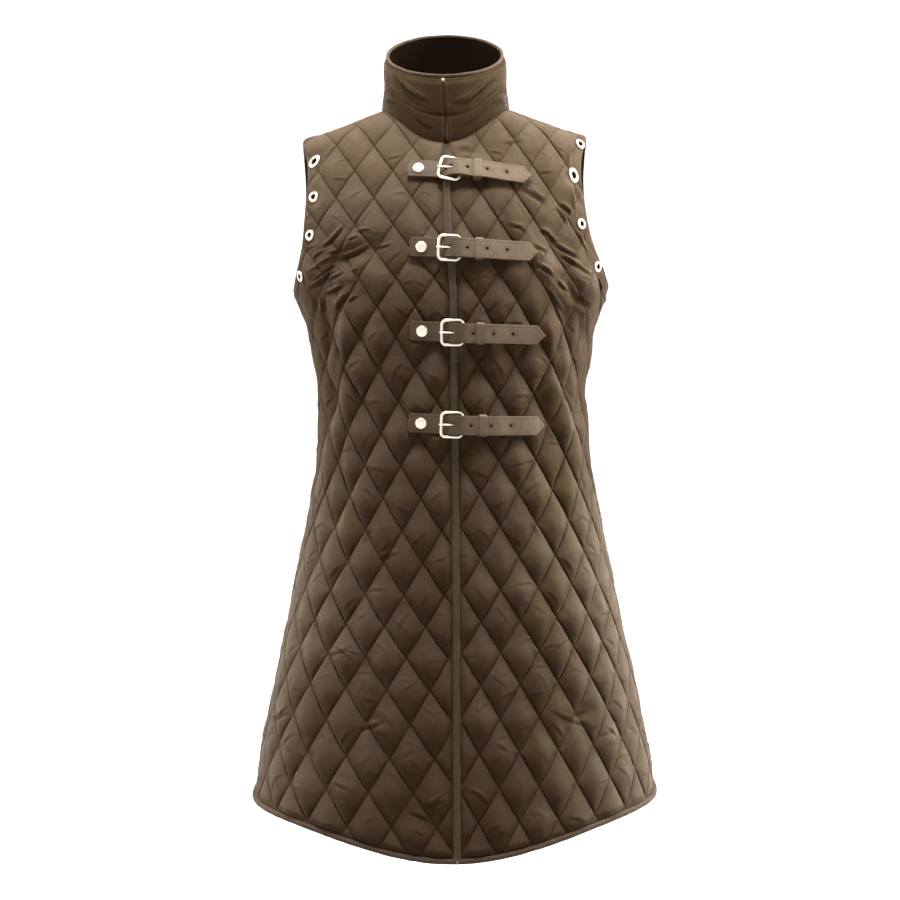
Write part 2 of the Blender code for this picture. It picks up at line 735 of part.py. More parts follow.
def pads_of(quilt):
    """Eyelet places on a panel: their centres, cloth holes and plain rings in the plane."""
    pads = []
    for name, side, front, levels in EYELETS:
        if front != quilt.front or (front and side != quilt.side):
            continue
        for order, z in enumerate(levels):
            x, z_inset, depth = inset_from_armhole(z, front)
            place, normal = form_point(side * x, z_inset, front, depth)
            across, upright = tangents(normal)
            rings = []
            for radius, sides, turn in ((EYELET_HOLE, 8, 0.0), (EYELET_PAD, 8, 0.5)):
                ring = []
                for step in range(sides):
                    angle = 2.0 * math.pi * (step + turn) / sides
                    spot = place + (across * math.cos(angle) + upright * math.sin(angle)) * radius
                    local_x = spot.x - at(SWAY, spot.z)
                    ring.append(quilt.plan(local_x, spot.z))
                rings.append(ring)
            centre = quilt.plan(side * x, z_inset, depth)
            pads.append({"name": f"eyelet_{name}_{order + 1}", "centre": centre, "hole": rings[0],
                         "ring": rings[1], "place": place, "normal": normal})
    return pads


def inset_from_armhole(z, front):
    """x, z and depth of a point EYELET_INSET in from the armhole's edge, on its ring."""
    edge_depth = armhole_x(z, front)[1]
    xs, ys, _ = quarter_ring(z, front)
    arc = np.concatenate(([0.0], np.cumsum(np.hypot(np.diff(xs), np.diff(ys)))))
    edge_arc = float(np.interp(-edge_depth, -ys, arc))
    spot = edge_arc - EYELET_INSET
    return float(np.interp(spot, arc, xs)), z, float(np.interp(spot, arc, ys))


def tangents(normal):
    """A level and an upright direction across a normal."""
    across = Vector((-normal.y, normal.x, 0.0)).normalized()
    return across, normal.cross(across).normalized()


def build_panel(name, side, front, edge_distance, material):
    """One quilted panel, and the places of its eyelets."""
    quilt = Quilt(side, front)
    outline = panel_outline(quilt, edge_distance)
    loop = [point for point, _ in outline]
    line_ends = [index for index, (_, on_line) in enumerate(outline) if on_line]
    pads = pads_of(quilt)
    points, edges = quilting(quilt, loop, line_ends, pads)
    rings = [spot for pad in pads for spot in pad["ring"]]
    parting = Vector((0.0, (-0.5 if front else 0.5) * PIECE_GAP, 0.0))

    def lifted(plan, height):
        x, z, depth = quilt.place(plan)
        place, normal = form_point(x, z, front, depth)
        return place + normal * height + parting

    def outer(plan):
        fade = ramp(0.0, EDGE_FADE, distance_to(plan, loop))
        for pad in pads:
            fade *= ramp(EYELET_PAD, PAD_FADE, (plan - pad["centre"]).length)
        return lifted(plan, (PUFF_RISE + SEAM_SINK) * quilt.puff(plan) * fade - SEAM_SINK)

    def inner(plan):
        return lifted(plan, -CLOTH_INSIDE)

    lining = []
    xs = [p[0] for p in loop]
    ys = [p[1] for p in loop]
    for across in np.arange(min(xs), max(xs), LINING_GRID):
        for up in np.arange(min(ys), max(ys), LINING_GRID):
            spot = Vector((across, up))
            away = all((spot - pad["centre"]).length > PAD_FADE for pad in pads)
            if away and inside(spot, loop) and distance_to(spot, loop) > 0.4 * LINING_GRID:
                lining.append(spot)
    loops = [loop] + [pad["hole"] for pad in pads]
    data = wall_mesh(name, loops, (points + rings, edges, outer), (lining, [], inner))
    add_object(name, data, material)
    return pads


# ---------------------------------------------------------------- objects and materials

def make_material(name, colour, roughness, metallic=0.0):
    """Plain surface with a colour, a roughness and a metallic value."""
    material = bpy.data.materials.new(name)
    material.use_nodes = True
    shader = material.node_tree.nodes["Principled BSDF"]
    shader.inputs["Base Color"].default_value = (*colour, 1.0)
    shader.inputs["Roughness"].default_value = roughness
    shader.inputs["Metallic"].default_value = metallic
    return material


def add_object(name, data, material, smooth=False):
    """Object of a mesh in the coat's collection."""
    item = bpy.data.objects.new(name, data)
    data.materials.append(material)
    if smooth:
        data.shade_smooth()
        data.set_sharp_from_angle(angle=math.radians(40.0))
    bpy.data.collections["gambeson"].objects.link(item)
    return item


def loft(name, rings, material):
    """Closed body over rings of points, capped at both ends."""
    mesh = bmesh.new()
    rows = [[mesh.verts.new(point * MM) for point in ring] for ring in rings]
    count = len(rows[0])
    for first, last in zip(rows, rows[1:]):
        for i in range(count):
            j = (i + 1) % count
            mesh.faces.new((first[i], first[j], last[j]))
            mesh.faces.new((first[i], last[j], last[i]))
    mesh.faces.new(rows[0][::-1])
    mesh.faces.new(rows[-1])
    bmesh.ops.recalc_face_normals(mesh, faces=mesh.faces)
    bmesh.ops.triangulate(mesh, faces=[face for face in mesh.faces if len(face.verts) > 4])
    data = bpy.data.meshes.new(name)
    mesh.to_mesh(data)
    mesh.free()
    return add_object(name, data, material)


def turned(name, profile, steps, place, axes, material, solid=False):
    """Profile of (radius, height) points turned about the third axis by a Screw modifier.

    The profile closes on itself, or, for a solid, ends on the axis.
    """
    data = bpy.data.meshes.new(name)
    count = len(profile)
    edges = [(i, (i + 1) % count) for i in range(count - 1 if solid else count)]
    data.from_pydata([(radius * MM, 0.0, height * MM) for radius, height in profile], edges, [])
    item = add_object(name, data, material)
    item.matrix_world = Matrix.Translation(place * MM) @ Matrix(axes).transposed().to_4x4()
    turn = item.modifiers.new("turned", "SCREW")
    turn.steps = steps
    turn.render_steps = steps
    turn.use_merge_vertices = True
    turn.merge_threshold = 0.01 * MM
    turn.use_normal_calculate = True
    return item


# ---------------------------------------------------------------- bindings and collar

def bar(name, stations, half_height, half_depth, material):
    """Binding of rounded section along stations of (middle, up, outward)."""
    section = ((1.0, 0.6), (0.5, 1.0), (-0.5, 1.0), (-1.0, 0.6), (-1.0, -1.0), (1.0, -1.0))
    rings = [[middle + up * (half_height * u) + out * (half_depth * v) for u, v in section]
             for middle, up, out in stations]
    return loft(name, rings, material)


def hem_bindings(cloth):
    """A binding under the hem of each panel, from side seam to side seam or closing edge."""
    middle_lift = 0.5 * (EDGE_BINDING_OUTER - CLOTH_INSIDE)
    for name, sides, front in (("hem_binding_right", (-1.0,), True),
                               ("hem_binding_left", (1.0,), True),
                               ("hem_binding_back", (1.0, -1.0), False)):
        drop = HEM_FRONT_DROP if front else HEM_BACK_DROP
        parting = Vector((0.0, (-0.5 if front else 0.5) * PIECE_GAP, 0.0))
        stations = []
        for side in sides:
            turns = np.linspace(0.5 * math.pi, 0.0, 15)
            if side == sides[0] and len(sides) == 2:
                turns = turns[:-1]
            half = []
            for turn in turns:
                level = HEM_SIDE_Z
                for _ in range(4):
                    x = at(HALF_WIDTH, level) * math.sin(turn) ** (2.0 / FORM_POWER)
                    level = hem_level(x, HEM_SIDE_Z, drop)
                depth = at(depth_curve(front), level) * math.cos(turn) ** (2.0 / FORM_POWER)
                x *= side
                if front and turn < 1e-6:
                    x = FRONT_EDGE_X + side * 0.5 * PIECE_GAP
                place, normal = form_point(x, level, front, depth)
                if turn > 0.5 * math.pi - 1e-6:
                    normal = Vector((normal.x, 0.0, normal.z)).normalized()
                if turn < 1e-6:
                    normal = Vector((0.0, normal.y, normal.z)).normalized()
                down = (normal * normal.z - Vector((0.0, 0.0, 1.0))).normalized()
                sink = 0.5 * HEM_BINDING_HEIGHT + PIECE_GAP + HEM_CHORD
                half.append((place + normal * middle_lift + down * sink + parting, -down, normal))
            stations += half if side == sides[0] else half[::-1]
        bar(name, stations, 0.5 * HEM_BINDING_HEIGHT, 0.5 * HEM_BINDING_DEPTH, cloth)


def front_edge_binding(cloth):
    """The bound closing edge, from the neck seam to the hem."""
    top = neck_level_at(FRONT_EDGE_X, True) - 2.5
    bottom = hem_level(FRONT_EDGE_X, HEM_SIDE_Z, HEM_FRONT_DROP) + 0.2
    middle_lift = 0.5 * (EDGE_BINDING_OUTER - CLOTH_INSIDE)
    stations = []
    for z in np.linspace(top, bottom, 24):
        place, normal = form_point(FRONT_EDGE_X, z, True)
        normal = Vector((0.0, normal.y, normal.z)).normalized()
        if z == top or z == bottom:
            normal = Vector((0.0, -1.0, 0.0))
        stations.append((place + normal * middle_lift, Vector((1.0, 0.0, 0.0)), normal))
    depth = 0.5 * (EDGE_BINDING_OUTER + CLOTH_INSIDE)
    bar("front_edge_binding", stations, 0.5 * EDGE_BINDING_WIDTH, depth, cloth)


def collar_place(angle, height, toward_rim):
    """Point of the collar's outer form and its level outward direction."""
    front = math.cos(angle) >= 0.0
    base_x, base_depth, base_z = neck_point(angle)
    rim_depth = RIM_DEPTH * abs(math.cos(angle))
    rim_x = RIM_HALF_WIDTH * abs(math.sin(angle))
    facing = -1.0 if front else 1.0
    rim_z = RIM_FRONT_Z + RIM_SLOPE * (RIM_DEPTH + facing * rim_depth)
    x = base_x + (rim_x - base_x) * toward_rim
    y = facing * (base_depth + (rim_depth - base_depth) * toward_rim)
    side = math.copysign(1.0, math.sin(angle)) if abs(math.sin(angle)) > 1e-9 else 0.0
    slit = FRONT_EDGE_X + (SLIT_AT_RIM - FRONT_EDGE_X) * height
    near_slit = max(0.0, 1.0 - x / SLIT_LEAN) if front else 0.0
    z = base_z + (rim_z - base_z) * height
    out = Vector((side * x / RIM_HALF_WIDTH ** 2, y / RIM_DEPTH ** 2, 0.0)).normalized()
    return Vector((side * x + slit * near_slit, y, z)), out


def collar_angles():
    """Stations round the collar, from one edge of the slit to the other."""
    slit = 0.5 * COLLAR_SLIT / NECK_HALF_WIDTH
    quarter = np.linspace(0.0, 1.0, NECK_STEPS + 1) * 0.5 * math.pi
    right = np.concatenate((quarter, math.pi - quarter[::-1][1:]))
    right[0] = slit
    return np.concatenate((right, 2.0 * math.pi - right[::-1][1:]))


def neck_edge(angle):
    """Outer and inner points of the collar's foot, a gap away from the panels' neck edge."""
    front = math.cos(angle) >= 0.0
    side = 1.0 if math.sin(angle) >= 0.0 else -1.0
    x, depth, z = neck_point(angle)
    place, normal = form_point(side * x, z, front, depth)
    step = 0.01
    ahead = collar_place(angle + step, 0.0, 0.0)[0]
    behind = collar_place(angle - step, 0.0, 0.0)[0]
    inward = normal.cross(ahead - behind).normalized()
    if inward.x * place.x + inward.y * place.y > 0.0:
        inward = -inward
    foot = place + inward * PIECE_GAP * 1.3
    return foot - normal * SEAM_SINK, foot - normal * CLOTH_INSIDE


def build_collar(cloth):
    """Stand collar with a soft crease above its base."""
    rings = []
    for angle in collar_angles():
        foot_outer, foot_inner = neck_edge(angle)
        outer, inner = [foot_outer], [foot_inner]
        for height, toward_rim, sink in COLLAR_ROWS:
            place, out = collar_place(angle, height, toward_rim)
            outer.append(place - out * (sink + COLLAR_STAND))
            if height in COLLAR_LINING_ROWS:
                inner.append(place - out * (COLLAR_WALL + COLLAR_STAND))
        rings.append(outer + inner[::-1])
    loft("collar", rings, cloth)


def build_collar_binding(cloth):
    """Narrow binding along the collar's rim."""
    stations = []
    for angle in collar_angles():
        place, out = collar_place(angle, 1.0, 1.0)
        middle = place - out * (0.5 * COLLAR_WALL + COLLAR_STAND)
        middle.z += 0.5 * COLLAR_RIM + PIECE_GAP
        stations.append((middle, Vector((0.0, 0.0, 1.0)), out))
    bar("collar_binding", stations, 0.5 * COLLAR_RIM, 0.5 * COLLAR_WALL + 0.1, cloth)


def build_collar_hook(metal):
    """Small hook that holds the collar's corners together."""
    place, out = collar_place(0.0, HOOK_HEIGHT, 1.0)
    across, upright = tangents(out)
    rings = []
    for radius, height in HOOK_PROFILE:
        ring = []
        for step in range(8):
            angle = 0.25 * math.pi * step
            spoke = across * math.cos(angle) + upright * math.sin(angle)
            ring.append(place + spoke * radius + out * height)
        rings.append(ring)
    loft("collar_hook", rings, metal)


# ---------------------------------------------------------------- straps and buckles

class StrapPlace:
    """Places along one strap; x runs along it and lift stands off the form."""

    def __init__(self, z):
        self.z = z

    def frame(self, x):
        """Form point, along, across and outward at an x."""
        place, normal = form_point(x, self.z + STRAP_SLOPE * x, True)
        ahead = form_point(x + 1.0, self.z + STRAP_SLOPE * (x + 1.0), True)[0]
        behind = form_point(x - 1.0, self.z + STRAP_SLOPE * (x - 1.0), True)[0]
        along = (ahead - behind).normalized()
        across = normal.cross(along).normalized()
        return place, along, across, across.cross(along).normalized() * -1.0

    def point(self, x, across, lift):
        """Point beside the strap's line."""
        place, _, side, normal = self.frame(x)
        return place + side * across + normal * lift


def strap_lifts(buckle, keeper, tip, square_end):
    """Stations of the strap's middle line: x and lift."""
    free_bar = buckle - 0.5 * (BUCKLE_WIDTH - BUCKLE_WIRE)
    hinge = buckle + 0.5 * (BUCKLE_WIDTH - BUCKLE_WIRE)
    return (
        (square_end, STRAP_FLAT_LIFT),
        (free_bar - 6.0, STRAP_FLAT_LIFT),
        (free_bar + 3.0, STRAP_FLAT_LIFT),
        (free_bar + 6.5, 5.8),
        (free_bar + 10.5, 9.6),
        (free_bar + 14.0, 11.8),
        (hinge, STRAP_TOP_LIFT),
        (hinge + 5.0, 11.4),
        (keeper - 5.5, STRAP_KEEPER_LIFT),
        (keeper + 5.5, STRAP_KEEPER_LIFT),
        (keeper + 17.0, 7.6),
        (keeper + 32.0, STRAP_TIP_LIFT),
        (tip, STRAP_TIP_LIFT),
    )


def build_strap(number, row, leather):
    """Leather strap with its holes, square at one end and pointed at the other."""
    z, square_end, _, buckle, first_hole, keeper, tip = row
    place = StrapPlace(z)
    lifts = strap_lifts(buckle, keeper, tip, square_end)
    xs = column(lifts, 0)
    heights = column(lifts, 1)
    half = 0.5 * STRAP_WIDTH

    def middle(x):
        slope = (np.interp(x + 0.5, xs, heights) - np.interp(x - 0.5, xs, heights))
        return float(np.interp(x, xs, heights)), math.atan(slope)

    def face(offset):
        def lifted(plan):
            lift, tilt = middle(plan[0])
            return place.point(plan[0] - math.sin(tilt) * offset, plan[1],
                               lift + math.cos(tilt) * offset)
        return lifted

    stations = list(xs[1:-1]) + [tip - 2.5 * STRAP_POINT, tip - STRAP_POINT]
    stations = sorted(set(float(x) for x in stations))
    corner = square_end + STRAP_CORNER
    nose = half * STRAP_NOSE / STRAP_POINT
    lower = [(corner, -half), *[(x, -half) for x in stations]]
    upper = [(x, half) for x in stations[::-1]] + [(corner, half)]
    point = [(tip - STRAP_NOSE, -nose), (tip, 0.0), (tip - STRAP_NOSE, nose)]
    corners = [(square_end, half - STRAP_CORNER), (square_end, -half + STRAP_CORNER)]
    outline = [Vector(spot) for spot in lower + point + upper + corners]
    loops = [outline]
    slot_middle = Vector((buckle - 0.5 * BUCKLE_WIDTH + SLOT_FROM_BAR, 0.0))
    slot = rounded_rectangle(SLOT_HALF_LENGTH, SLOT_HALF_WIDTH, 0.5 * SLOT_HALF_WIDTH, 2)
    loops.append([slot_middle + Vector(corner_point) for corner_point in slot])
    for hole in range(1, STRAP_HOLES + 1):
        centre = first_hole + STRAP_HOLE_PITCH * hole
        loops.append([Vector((centre + 0.5 * STRAP_HOLE * math.cos(math.radians(angle)),
                              0.5 * STRAP_HOLE * math.sin(math.radians(angle))))
                      for angle in range(30, 390, 60)])
    edges, extra = [], []
    for index, x in enumerate(stations):
        blocked = any(min(p.x for p in loop) - 0.3 < x < max(p.x for p in loop) + 0.3
                      for loop in loops[1:])
        if not blocked:
            low, high = 1 + index, len(outline) - 4 - index
            edges.append((low, high))
        else:
            extra += [Vector((x, 0.45 * half)), Vector((x, -0.45 * half))]
    data = wall_mesh(f"strap_{number}", loops, (extra, edges, face(0.5 * STRAP_THICK)),
                     (extra, edges, face(-0.5 * STRAP_THICK)))
    add_object(f"strap_{number}", data, leather)


def wire(name, points, thickness, cyclic, material):
    """Round wire along points, as one closed mesh."""
    curve = bpy.data.curves.new(name, "CURVE")
    curve.dimensions = "3D"
    curve.bevel_depth = 0.5 * thickness * MM
    curve.bevel_resolution = 2
    curve.use_fill_caps = True
    spline = curve.splines.new("POLY")
    spline.points.add(len(points) - 1)
    for spot, point in zip(spline.points, points):
        spot.co = (*(point * MM), 1.0)
    spline.use_cyclic_u = cyclic
    shaped = bpy.data.objects.new(name + "_line", curve)
    bpy.context.scene.collection.objects.link(shaped)
    bpy.context.view_layer.update()
    evaluated = shaped.evaluated_get(bpy.context.evaluated_depsgraph_get())
    data = bpy.data.meshes.new_from_object(evaluated)
    data.name = name
    mesh = bmesh.new()
    mesh.from_mesh(data)
    bmesh.ops.remove_doubles(mesh, verts=mesh.verts, dist=0.02 * MM)
    bmesh.ops.recalc_face_normals(mesh, faces=mesh.faces)
    mesh.to_mesh(data)
    mesh.free()
    bpy.data.objects.remove(shaped)
    return add_object(name, data, material, smooth=True)


def rounded_rectangle(half_x, half_y, radius, steps):
    """Corner points of a rounded rectangle."""
    points = []
    for turn, (sx, sy) in enumerate(((1, 1), (-1, 1), (-1, -1), (1, -1))):
        for step in range(steps):
            angle = 0.5 * math.pi * (turn + step / (steps - 1))
            points.append((sx * (half_x - radius) + radius * math.cos(angle),
                           sy * (half_y - radius) + radius * math.sin(angle)))
    return points


def build_buckle(number, row, metal):
    """Rounded wire frame; its free bar stands a little higher than its hinge bar."""
    z, _, _, buckle, _, _, _ = row
    centre, along, across, normal = StrapPlace(z).frame(buckle)
    half_x = 0.5 * (BUCKLE_WIDTH - BUCKLE_WIRE)
    half_y = 0.5 * (BUCKLE_HEIGHT - BUCKLE_WIRE)
    points = []
    for x, y in rounded_rectangle(half_x, half_y, 4.0, 3):
        share = 0.5 * (1.0 - x / half_x)
        lift = HINGE_BAR_LIFT + (FREE_BAR_LIFT - HINGE_BAR_LIFT) * share
        points.append(centre + along * x + across * y + normal * lift)
    wire(f"buckle_{number}", points, BUCKLE_WIRE, True, metal)


def build_prong(number, row, metal):
    """Prong: an eye round the hinge bar and a straight pin to the free bar."""
    z, _, _, buckle, _, _, _ = row
    centre, along, _, normal = StrapPlace(z).frame(buckle)
    half_x = 0.5 * (BUCKLE_WIDTH - BUCKLE_WIRE)
    eye = 0.5 * BUCKLE_WIRE + PIECE_GAP + 0.5 * PRONG_WIRE
    points = []
    for degrees in range(60, -211, -45):
        angle = math.radians(degrees)
        points.append(centre + along * (half_x + eye * math.cos(angle))
                      + normal * (HINGE_BAR_LIFT + eye * math.sin(angle)))
    tip_lift = FREE_BAR_LIFT + 0.5 * BUCKLE_WIRE + PIECE_GAP + 0.5 * PRONG_WIRE
    start_lift = HINGE_BAR_LIFT + PRONG_NECK_LIFT
    start, end = half_x - PRONG_NECK, -half_x - PRONG_OVERHANG
    for share in (0.0, 0.35, 0.7, 1.0):
        x = start + (end - start) * share
        points.append(centre + along * x + normal * (start_lift + (tip_lift - start_lift) * share))
    wire(f"prong_{number}", points, PRONG_WIRE, False, metal)


def extruded(name, place, axes, outline, hole, width):
    """Outline in the first and third axes, extruded along the second, round a hole."""
    along, across, normal = axes
    half = 0.5 * width
    loops = [[Vector(p) for p in outline], [Vector(p) for p in hole]]

    def at_side(offset):
        return lambda p: place + along * p[0] + normal * p[1] + across * offset
    return wall_mesh(name, loops, ([], [], at_side(half)), ([], [], at_side(-half)))


def build_chape(number, row, leather):
    """Leather loop round the hinge bar, its tail sewn to the left front."""
    z, _, _, buckle, _, keeper, _ = row
    place = StrapPlace(z)
    hinge = buckle + 0.5 * (BUCKLE_WIDTH - BUCKLE_WIRE)
    centre, along, across, normal = place.frame(buckle)
    bar_x = hinge - buckle
    inner = 0.5 * BUCKLE_WIRE + PIECE_GAP
    outer = inner + CHAPE_LEATHER
    tail_end = keeper + CHAPE_TAIL - buckle
    keeper_x = keeper - buckle

    def ground(x):
        """How far the form falls away below the buckle's plane."""
        spot = form_point(buckle + x, z + STRAP_SLOPE * (buckle + x), True)[0]
        return (spot - centre).dot(normal)

    outline = []
    for degrees in range(60, 301, 40):
        angle = math.radians(degrees)
        outline.append((bar_x + outer * math.cos(angle), HINGE_BAR_LIFT + outer * math.sin(angle)))
    reach = 0.5 * KEEPER_LENGTH + 0.5
    for x, lift in ((keeper_x - reach, CHAPE_FOOT), (keeper_x + reach, CHAPE_FOOT),
                    (tail_end, CHAPE_TAIL_FOOT), (tail_end, CHAPE_TAIL_TOP),
                    (keeper_x + reach, CHAPE_TOP), (keeper_x - reach, CHAPE_TOP)):
        outline.append((x, lift + ground(x)))
    hole = [(bar_x + inner * math.cos(math.radians(turn)),
             HINGE_BAR_LIFT + inner * math.sin(math.radians(turn))) for turn in range(0, 360, 45)]
    axes = (along, across, normal)
    data = extruded(f"chape_{number}", centre, axes, outline, hole, CHAPE_WIDTH)
    item = add_object(f"chape_{number}", data, leather)
    slot_length = 2.0 * outer + 4.0
    bpy.ops.mesh.primitive_cube_add(size=1.0)
    cutter = bpy.context.active_object
    cutter.name = f"prong_slot_{number}"
    cutter.matrix_world = box_matrix(centre + along * (bar_x - 1.0) + normal * HINGE_BAR_LIFT,
                                     axes, (slot_length, PRONG_WIRE + 1.0, 3.0 * outer))
    cut(item, cutter)


def box_matrix(centre, axes, sizes):
    """World matrix of a unit cube stretched to a box."""
    columns = [axis * size * MM for axis, size in zip(axes, sizes)]
    matrix = Matrix.Identity(4)
    for index, value in enumerate(columns + [centre * MM]):
        for row in range(3):
            matrix[row][index] = value[row]
    return matrix


def cut(item, cutter):
    """Take one body out of another, and hide the cutter."""
    for owner in list(cutter.users_collection):
        owner.objects.unlink(cutter)
    bpy.data.collections["cutters"].objects.link(cutter)
    cutter.hide_render = True
    cutter.display_type = "WIRE"
    change = item.modifiers.new("cut", "BOOLEAN")
    change.operation = "DIFFERENCE"
    change.object = cutter
    change.solver = "EXACT"


def build_keeper(number, row, leather):
    """Fixed loop that holds the strap down on the chape."""
    z, _, _, _, _, keeper, _ = row
    centre, along, across, normal = StrapPlace(z).frame(keeper)
    low = CHAPE_FOOT - PIECE_GAP
    high = STRAP_KEEPER_LIFT + 0.5 * STRAP_THICK + PIECE_GAP
    half = 0.5 * STRAP_WIDTH + PIECE_GAP + 0.15
    middle = 0.5 * (low + high)
    inner = [(x, y + middle) for x, y in rounded_rectangle(half, 0.5 * (high - low), 0.5, 2)]
    outer = [(x, y + middle) for x, y in rounded_rectangle(
        half + KEEPER_THICK, 0.5 * (high - low) + KEEPER_THICK, 1.6, 3)]
    axes = (across, along, normal)
    data = extruded(f"keeper_{number}", centre, axes, outer, inner, KEEPER_LENGTH)
    add_object(f"keeper_{number}", data, leather)


def build_rivet(number, row, metal):
    """Domed rivet head on the strap."""
    z, _, rivet, _, _, _, _ = row
    place, along, across, normal = StrapPlace(z).frame(rivet)
    base = STRAP_FLAT_LIFT + 0.5 * STRAP_THICK + PIECE_GAP
    turned(f"rivet_{number}", RIVET_PROFILE, 12, place + normal * base, (along, across, normal),
           metal, solid=True)


def build_eyelet(pad, front, metal):
    """Turned metal eyelet: a rolled flange on the cloth and a barrel through it."""
    across, upright = tangents(pad["normal"])
    parting = Vector((0.0, (-0.5 if front else 0.5) * PIECE_GAP, 0.0))
    place = pad["place"] - pad["normal"] * SEAM_SINK + parting
    profile = ((EYELET_BORE, EYELET_SEAT), (EYELET_BORE + 0.2, 1.1), (EYELET_RADIUS - 1.0, 1.5),
               (EYELET_RADIUS, 0.45), (EYELET_BARREL, 0.4), (EYELET_BARREL, EYELET_SEAT))
    turned(pad["name"], profile, 8, place, (across, upright, pad["normal"]), metal)


# ---------------------------------------------------------------- the coat

def clear_scene():
    """Empty the scene and make the collections."""
    for item in list(bpy.data.objects):
        bpy.data.objects.remove(item)
    for name in ("gambeson", "cutters"):
        bpy.context.scene.collection.children.link(bpy.data.collections.new(name))


def build_coat():
    """Every piece of the gambeson."""
    clear_scene()
    cloth = make_material("quilted_cloth", (0.105, 0.078, 0.052), 0.8)
    trim = make_material("binding_cloth", (0.13, 0.10, 0.072), 0.75)
    leather = make_material("strap_leather", (0.21, 0.175, 0.135), 0.6)
    metal = make_material("nickel", (0.85, 0.82, 0.76), 0.25, 1.0)
    reach = 0.5 * EDGE_BINDING_WIDTH + PIECE_GAP
    pads = build_panel("front_right", -1.0, True, reach - FRONT_EDGE_X, cloth)
    pads += build_panel("front_left", 1.0, True, reach + FRONT_EDGE_X, cloth)
    for pad in pads:
        build_eyelet(pad, True, metal)
    for pad in build_panel("back", 1.0, False, None, cloth):
        build_eyelet(pad, False, metal)
    build_collar(cloth)
    build_collar_binding(trim)
    build_collar_hook(metal)
    front_edge_binding(trim)
    hem_bindings(trim)
    for index, row in enumerate(STRAPS):
        build_strap(index + 1, row, leather)
        build_buckle(index + 1, row, metal)
        build_prong(index + 1, row, metal)
        build_chape(index + 1, row, leather)
        build_keeper(index + 1, row, leather)
        build_rivet(index + 1, row, metal)


build_coat()
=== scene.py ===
"""The look of a sleeveless quilted gambeson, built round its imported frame.

Sizes inside the classes are in millimetres unless a name says otherwise; meshes are made in metres.
+Z is up, the front faces -Y and +X is the wearer's left.
"""

from __future__ import annotations

import logging
import math
from collections.abc import Sequence
from dataclasses import dataclass
from enum import Enum

import bmesh
import bpy
import numpy as np
from mathutils import Matrix, Vector
from mathutils.geometry import delaunay_2d_cdt
from mathutils.kdtree import KDTree

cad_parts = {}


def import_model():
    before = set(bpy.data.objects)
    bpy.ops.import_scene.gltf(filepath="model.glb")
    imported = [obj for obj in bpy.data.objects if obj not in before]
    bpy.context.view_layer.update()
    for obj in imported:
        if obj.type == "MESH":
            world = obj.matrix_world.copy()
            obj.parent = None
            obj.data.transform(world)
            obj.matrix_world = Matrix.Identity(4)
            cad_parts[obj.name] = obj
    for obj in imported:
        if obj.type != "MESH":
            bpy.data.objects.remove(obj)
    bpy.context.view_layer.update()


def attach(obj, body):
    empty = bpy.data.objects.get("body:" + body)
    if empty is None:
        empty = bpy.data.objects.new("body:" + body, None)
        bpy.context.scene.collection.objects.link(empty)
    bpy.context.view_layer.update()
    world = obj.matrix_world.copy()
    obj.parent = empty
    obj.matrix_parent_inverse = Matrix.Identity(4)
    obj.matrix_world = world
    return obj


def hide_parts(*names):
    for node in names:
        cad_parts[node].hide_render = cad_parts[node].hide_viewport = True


MM = 0.001
BODY = "root"
Array = np.ndarray
Table = tuple[tuple[float, ...], ...]
Piece = bpy.types.Object

LOG = logging.getLogger("gambeson")


# ---------------------------------------------------------------- numbers and curves

def running_mean(values: Array, half: int) -> Array:
    """Average twice over a window, keeping the slope of the ends.

    Args:
        values: Evenly spaced values.
        half: Half the window's width, in values.

    Returns:
        As many averaged values.
    """
    kernel = np.ones(2 * half + 1) / (2 * half + 1)
    for _ in range(2):
        padded = np.pad(values, half, mode="reflect", reflect_type="odd")
        values = np.convolve(padded, kernel, mode="valid")
    return values


def smooth_curve(xs: Array, ys: Array, blur: float, step: float = 2.0) -> tuple[Array, Array]:
    """Sample the broken line through a table and round it with two running means.

    Args:
        xs: Where the table's values stand, in any order.
        ys: The table's values.
        blur: Half width of each running mean, in the units of xs.
        step: Distance between samples.

    Returns:
        The sample places and the sampled values.
    """
    order = np.argsort(xs)
    xs, ys = np.asarray(xs, float)[order], np.asarray(ys, float)[order]
    grid = np.arange(xs[0] - 4 * blur, xs[-1] + 4 * blur, step)
    low_slope = (ys[1] - ys[0]) / (xs[1] - xs[0])
    high_slope = (ys[-1] - ys[-2]) / (xs[-1] - xs[-2])
    values = np.interp(grid, xs, ys)
    values = np.where(grid < xs[0], ys[0] + (grid - xs[0]) * low_slope, values)
    values = np.where(grid > xs[-1], ys[-1] + (grid - xs[-1]) * high_slope, values)
    return grid, running_mean(values, max(1, int(round(blur / step))))


def ramp(low: float, high: float, value: Array) -> Array:
    """Rise smoothly from 0 at low to 1 at high."""
    share = np.clip((value - low) / (high - low), 0.0, 1.0)
    return share * share * (3.0 - 2.0 * share)


def hashed(cell: Array, seed: int) -> Array:
    """Give each whole-number cell a steady value from 0 to 1."""
    mixed = np.sin(cell @ np.array([127.1, 311.7, 74.7]) + seed * 19.19) * 43758.5453
    return mixed - np.floor(mixed)


def noise(points: Array, size: float, seed: int = 0) -> Array:
    """Smooth value noise from -1 to 1.

    Args:
        points: Rows of x, y, z.
        size: Size of one cell, in the units of the points.
        seed: Picks another noise field.

    Returns:
        One value for each point.
    """
    scaled = points / size
    cell = np.floor(scaled)
    part = scaled - cell
    part = part * part * (3.0 - 2.0 * part)
    total = np.zeros(len(points))
    for dx in (0, 1):
        for dy in (0, 1):
            for dz in (0, 1):
                weight = np.abs(1 - dx - part[:, 0]) * np.abs(1 - dy - part[:, 1])
                weight = weight * np.abs(1 - dz - part[:, 2])
                total += weight * hashed(cell + np.array([dx, dy, dz]), seed)
    return 2.0 * total - 1.0


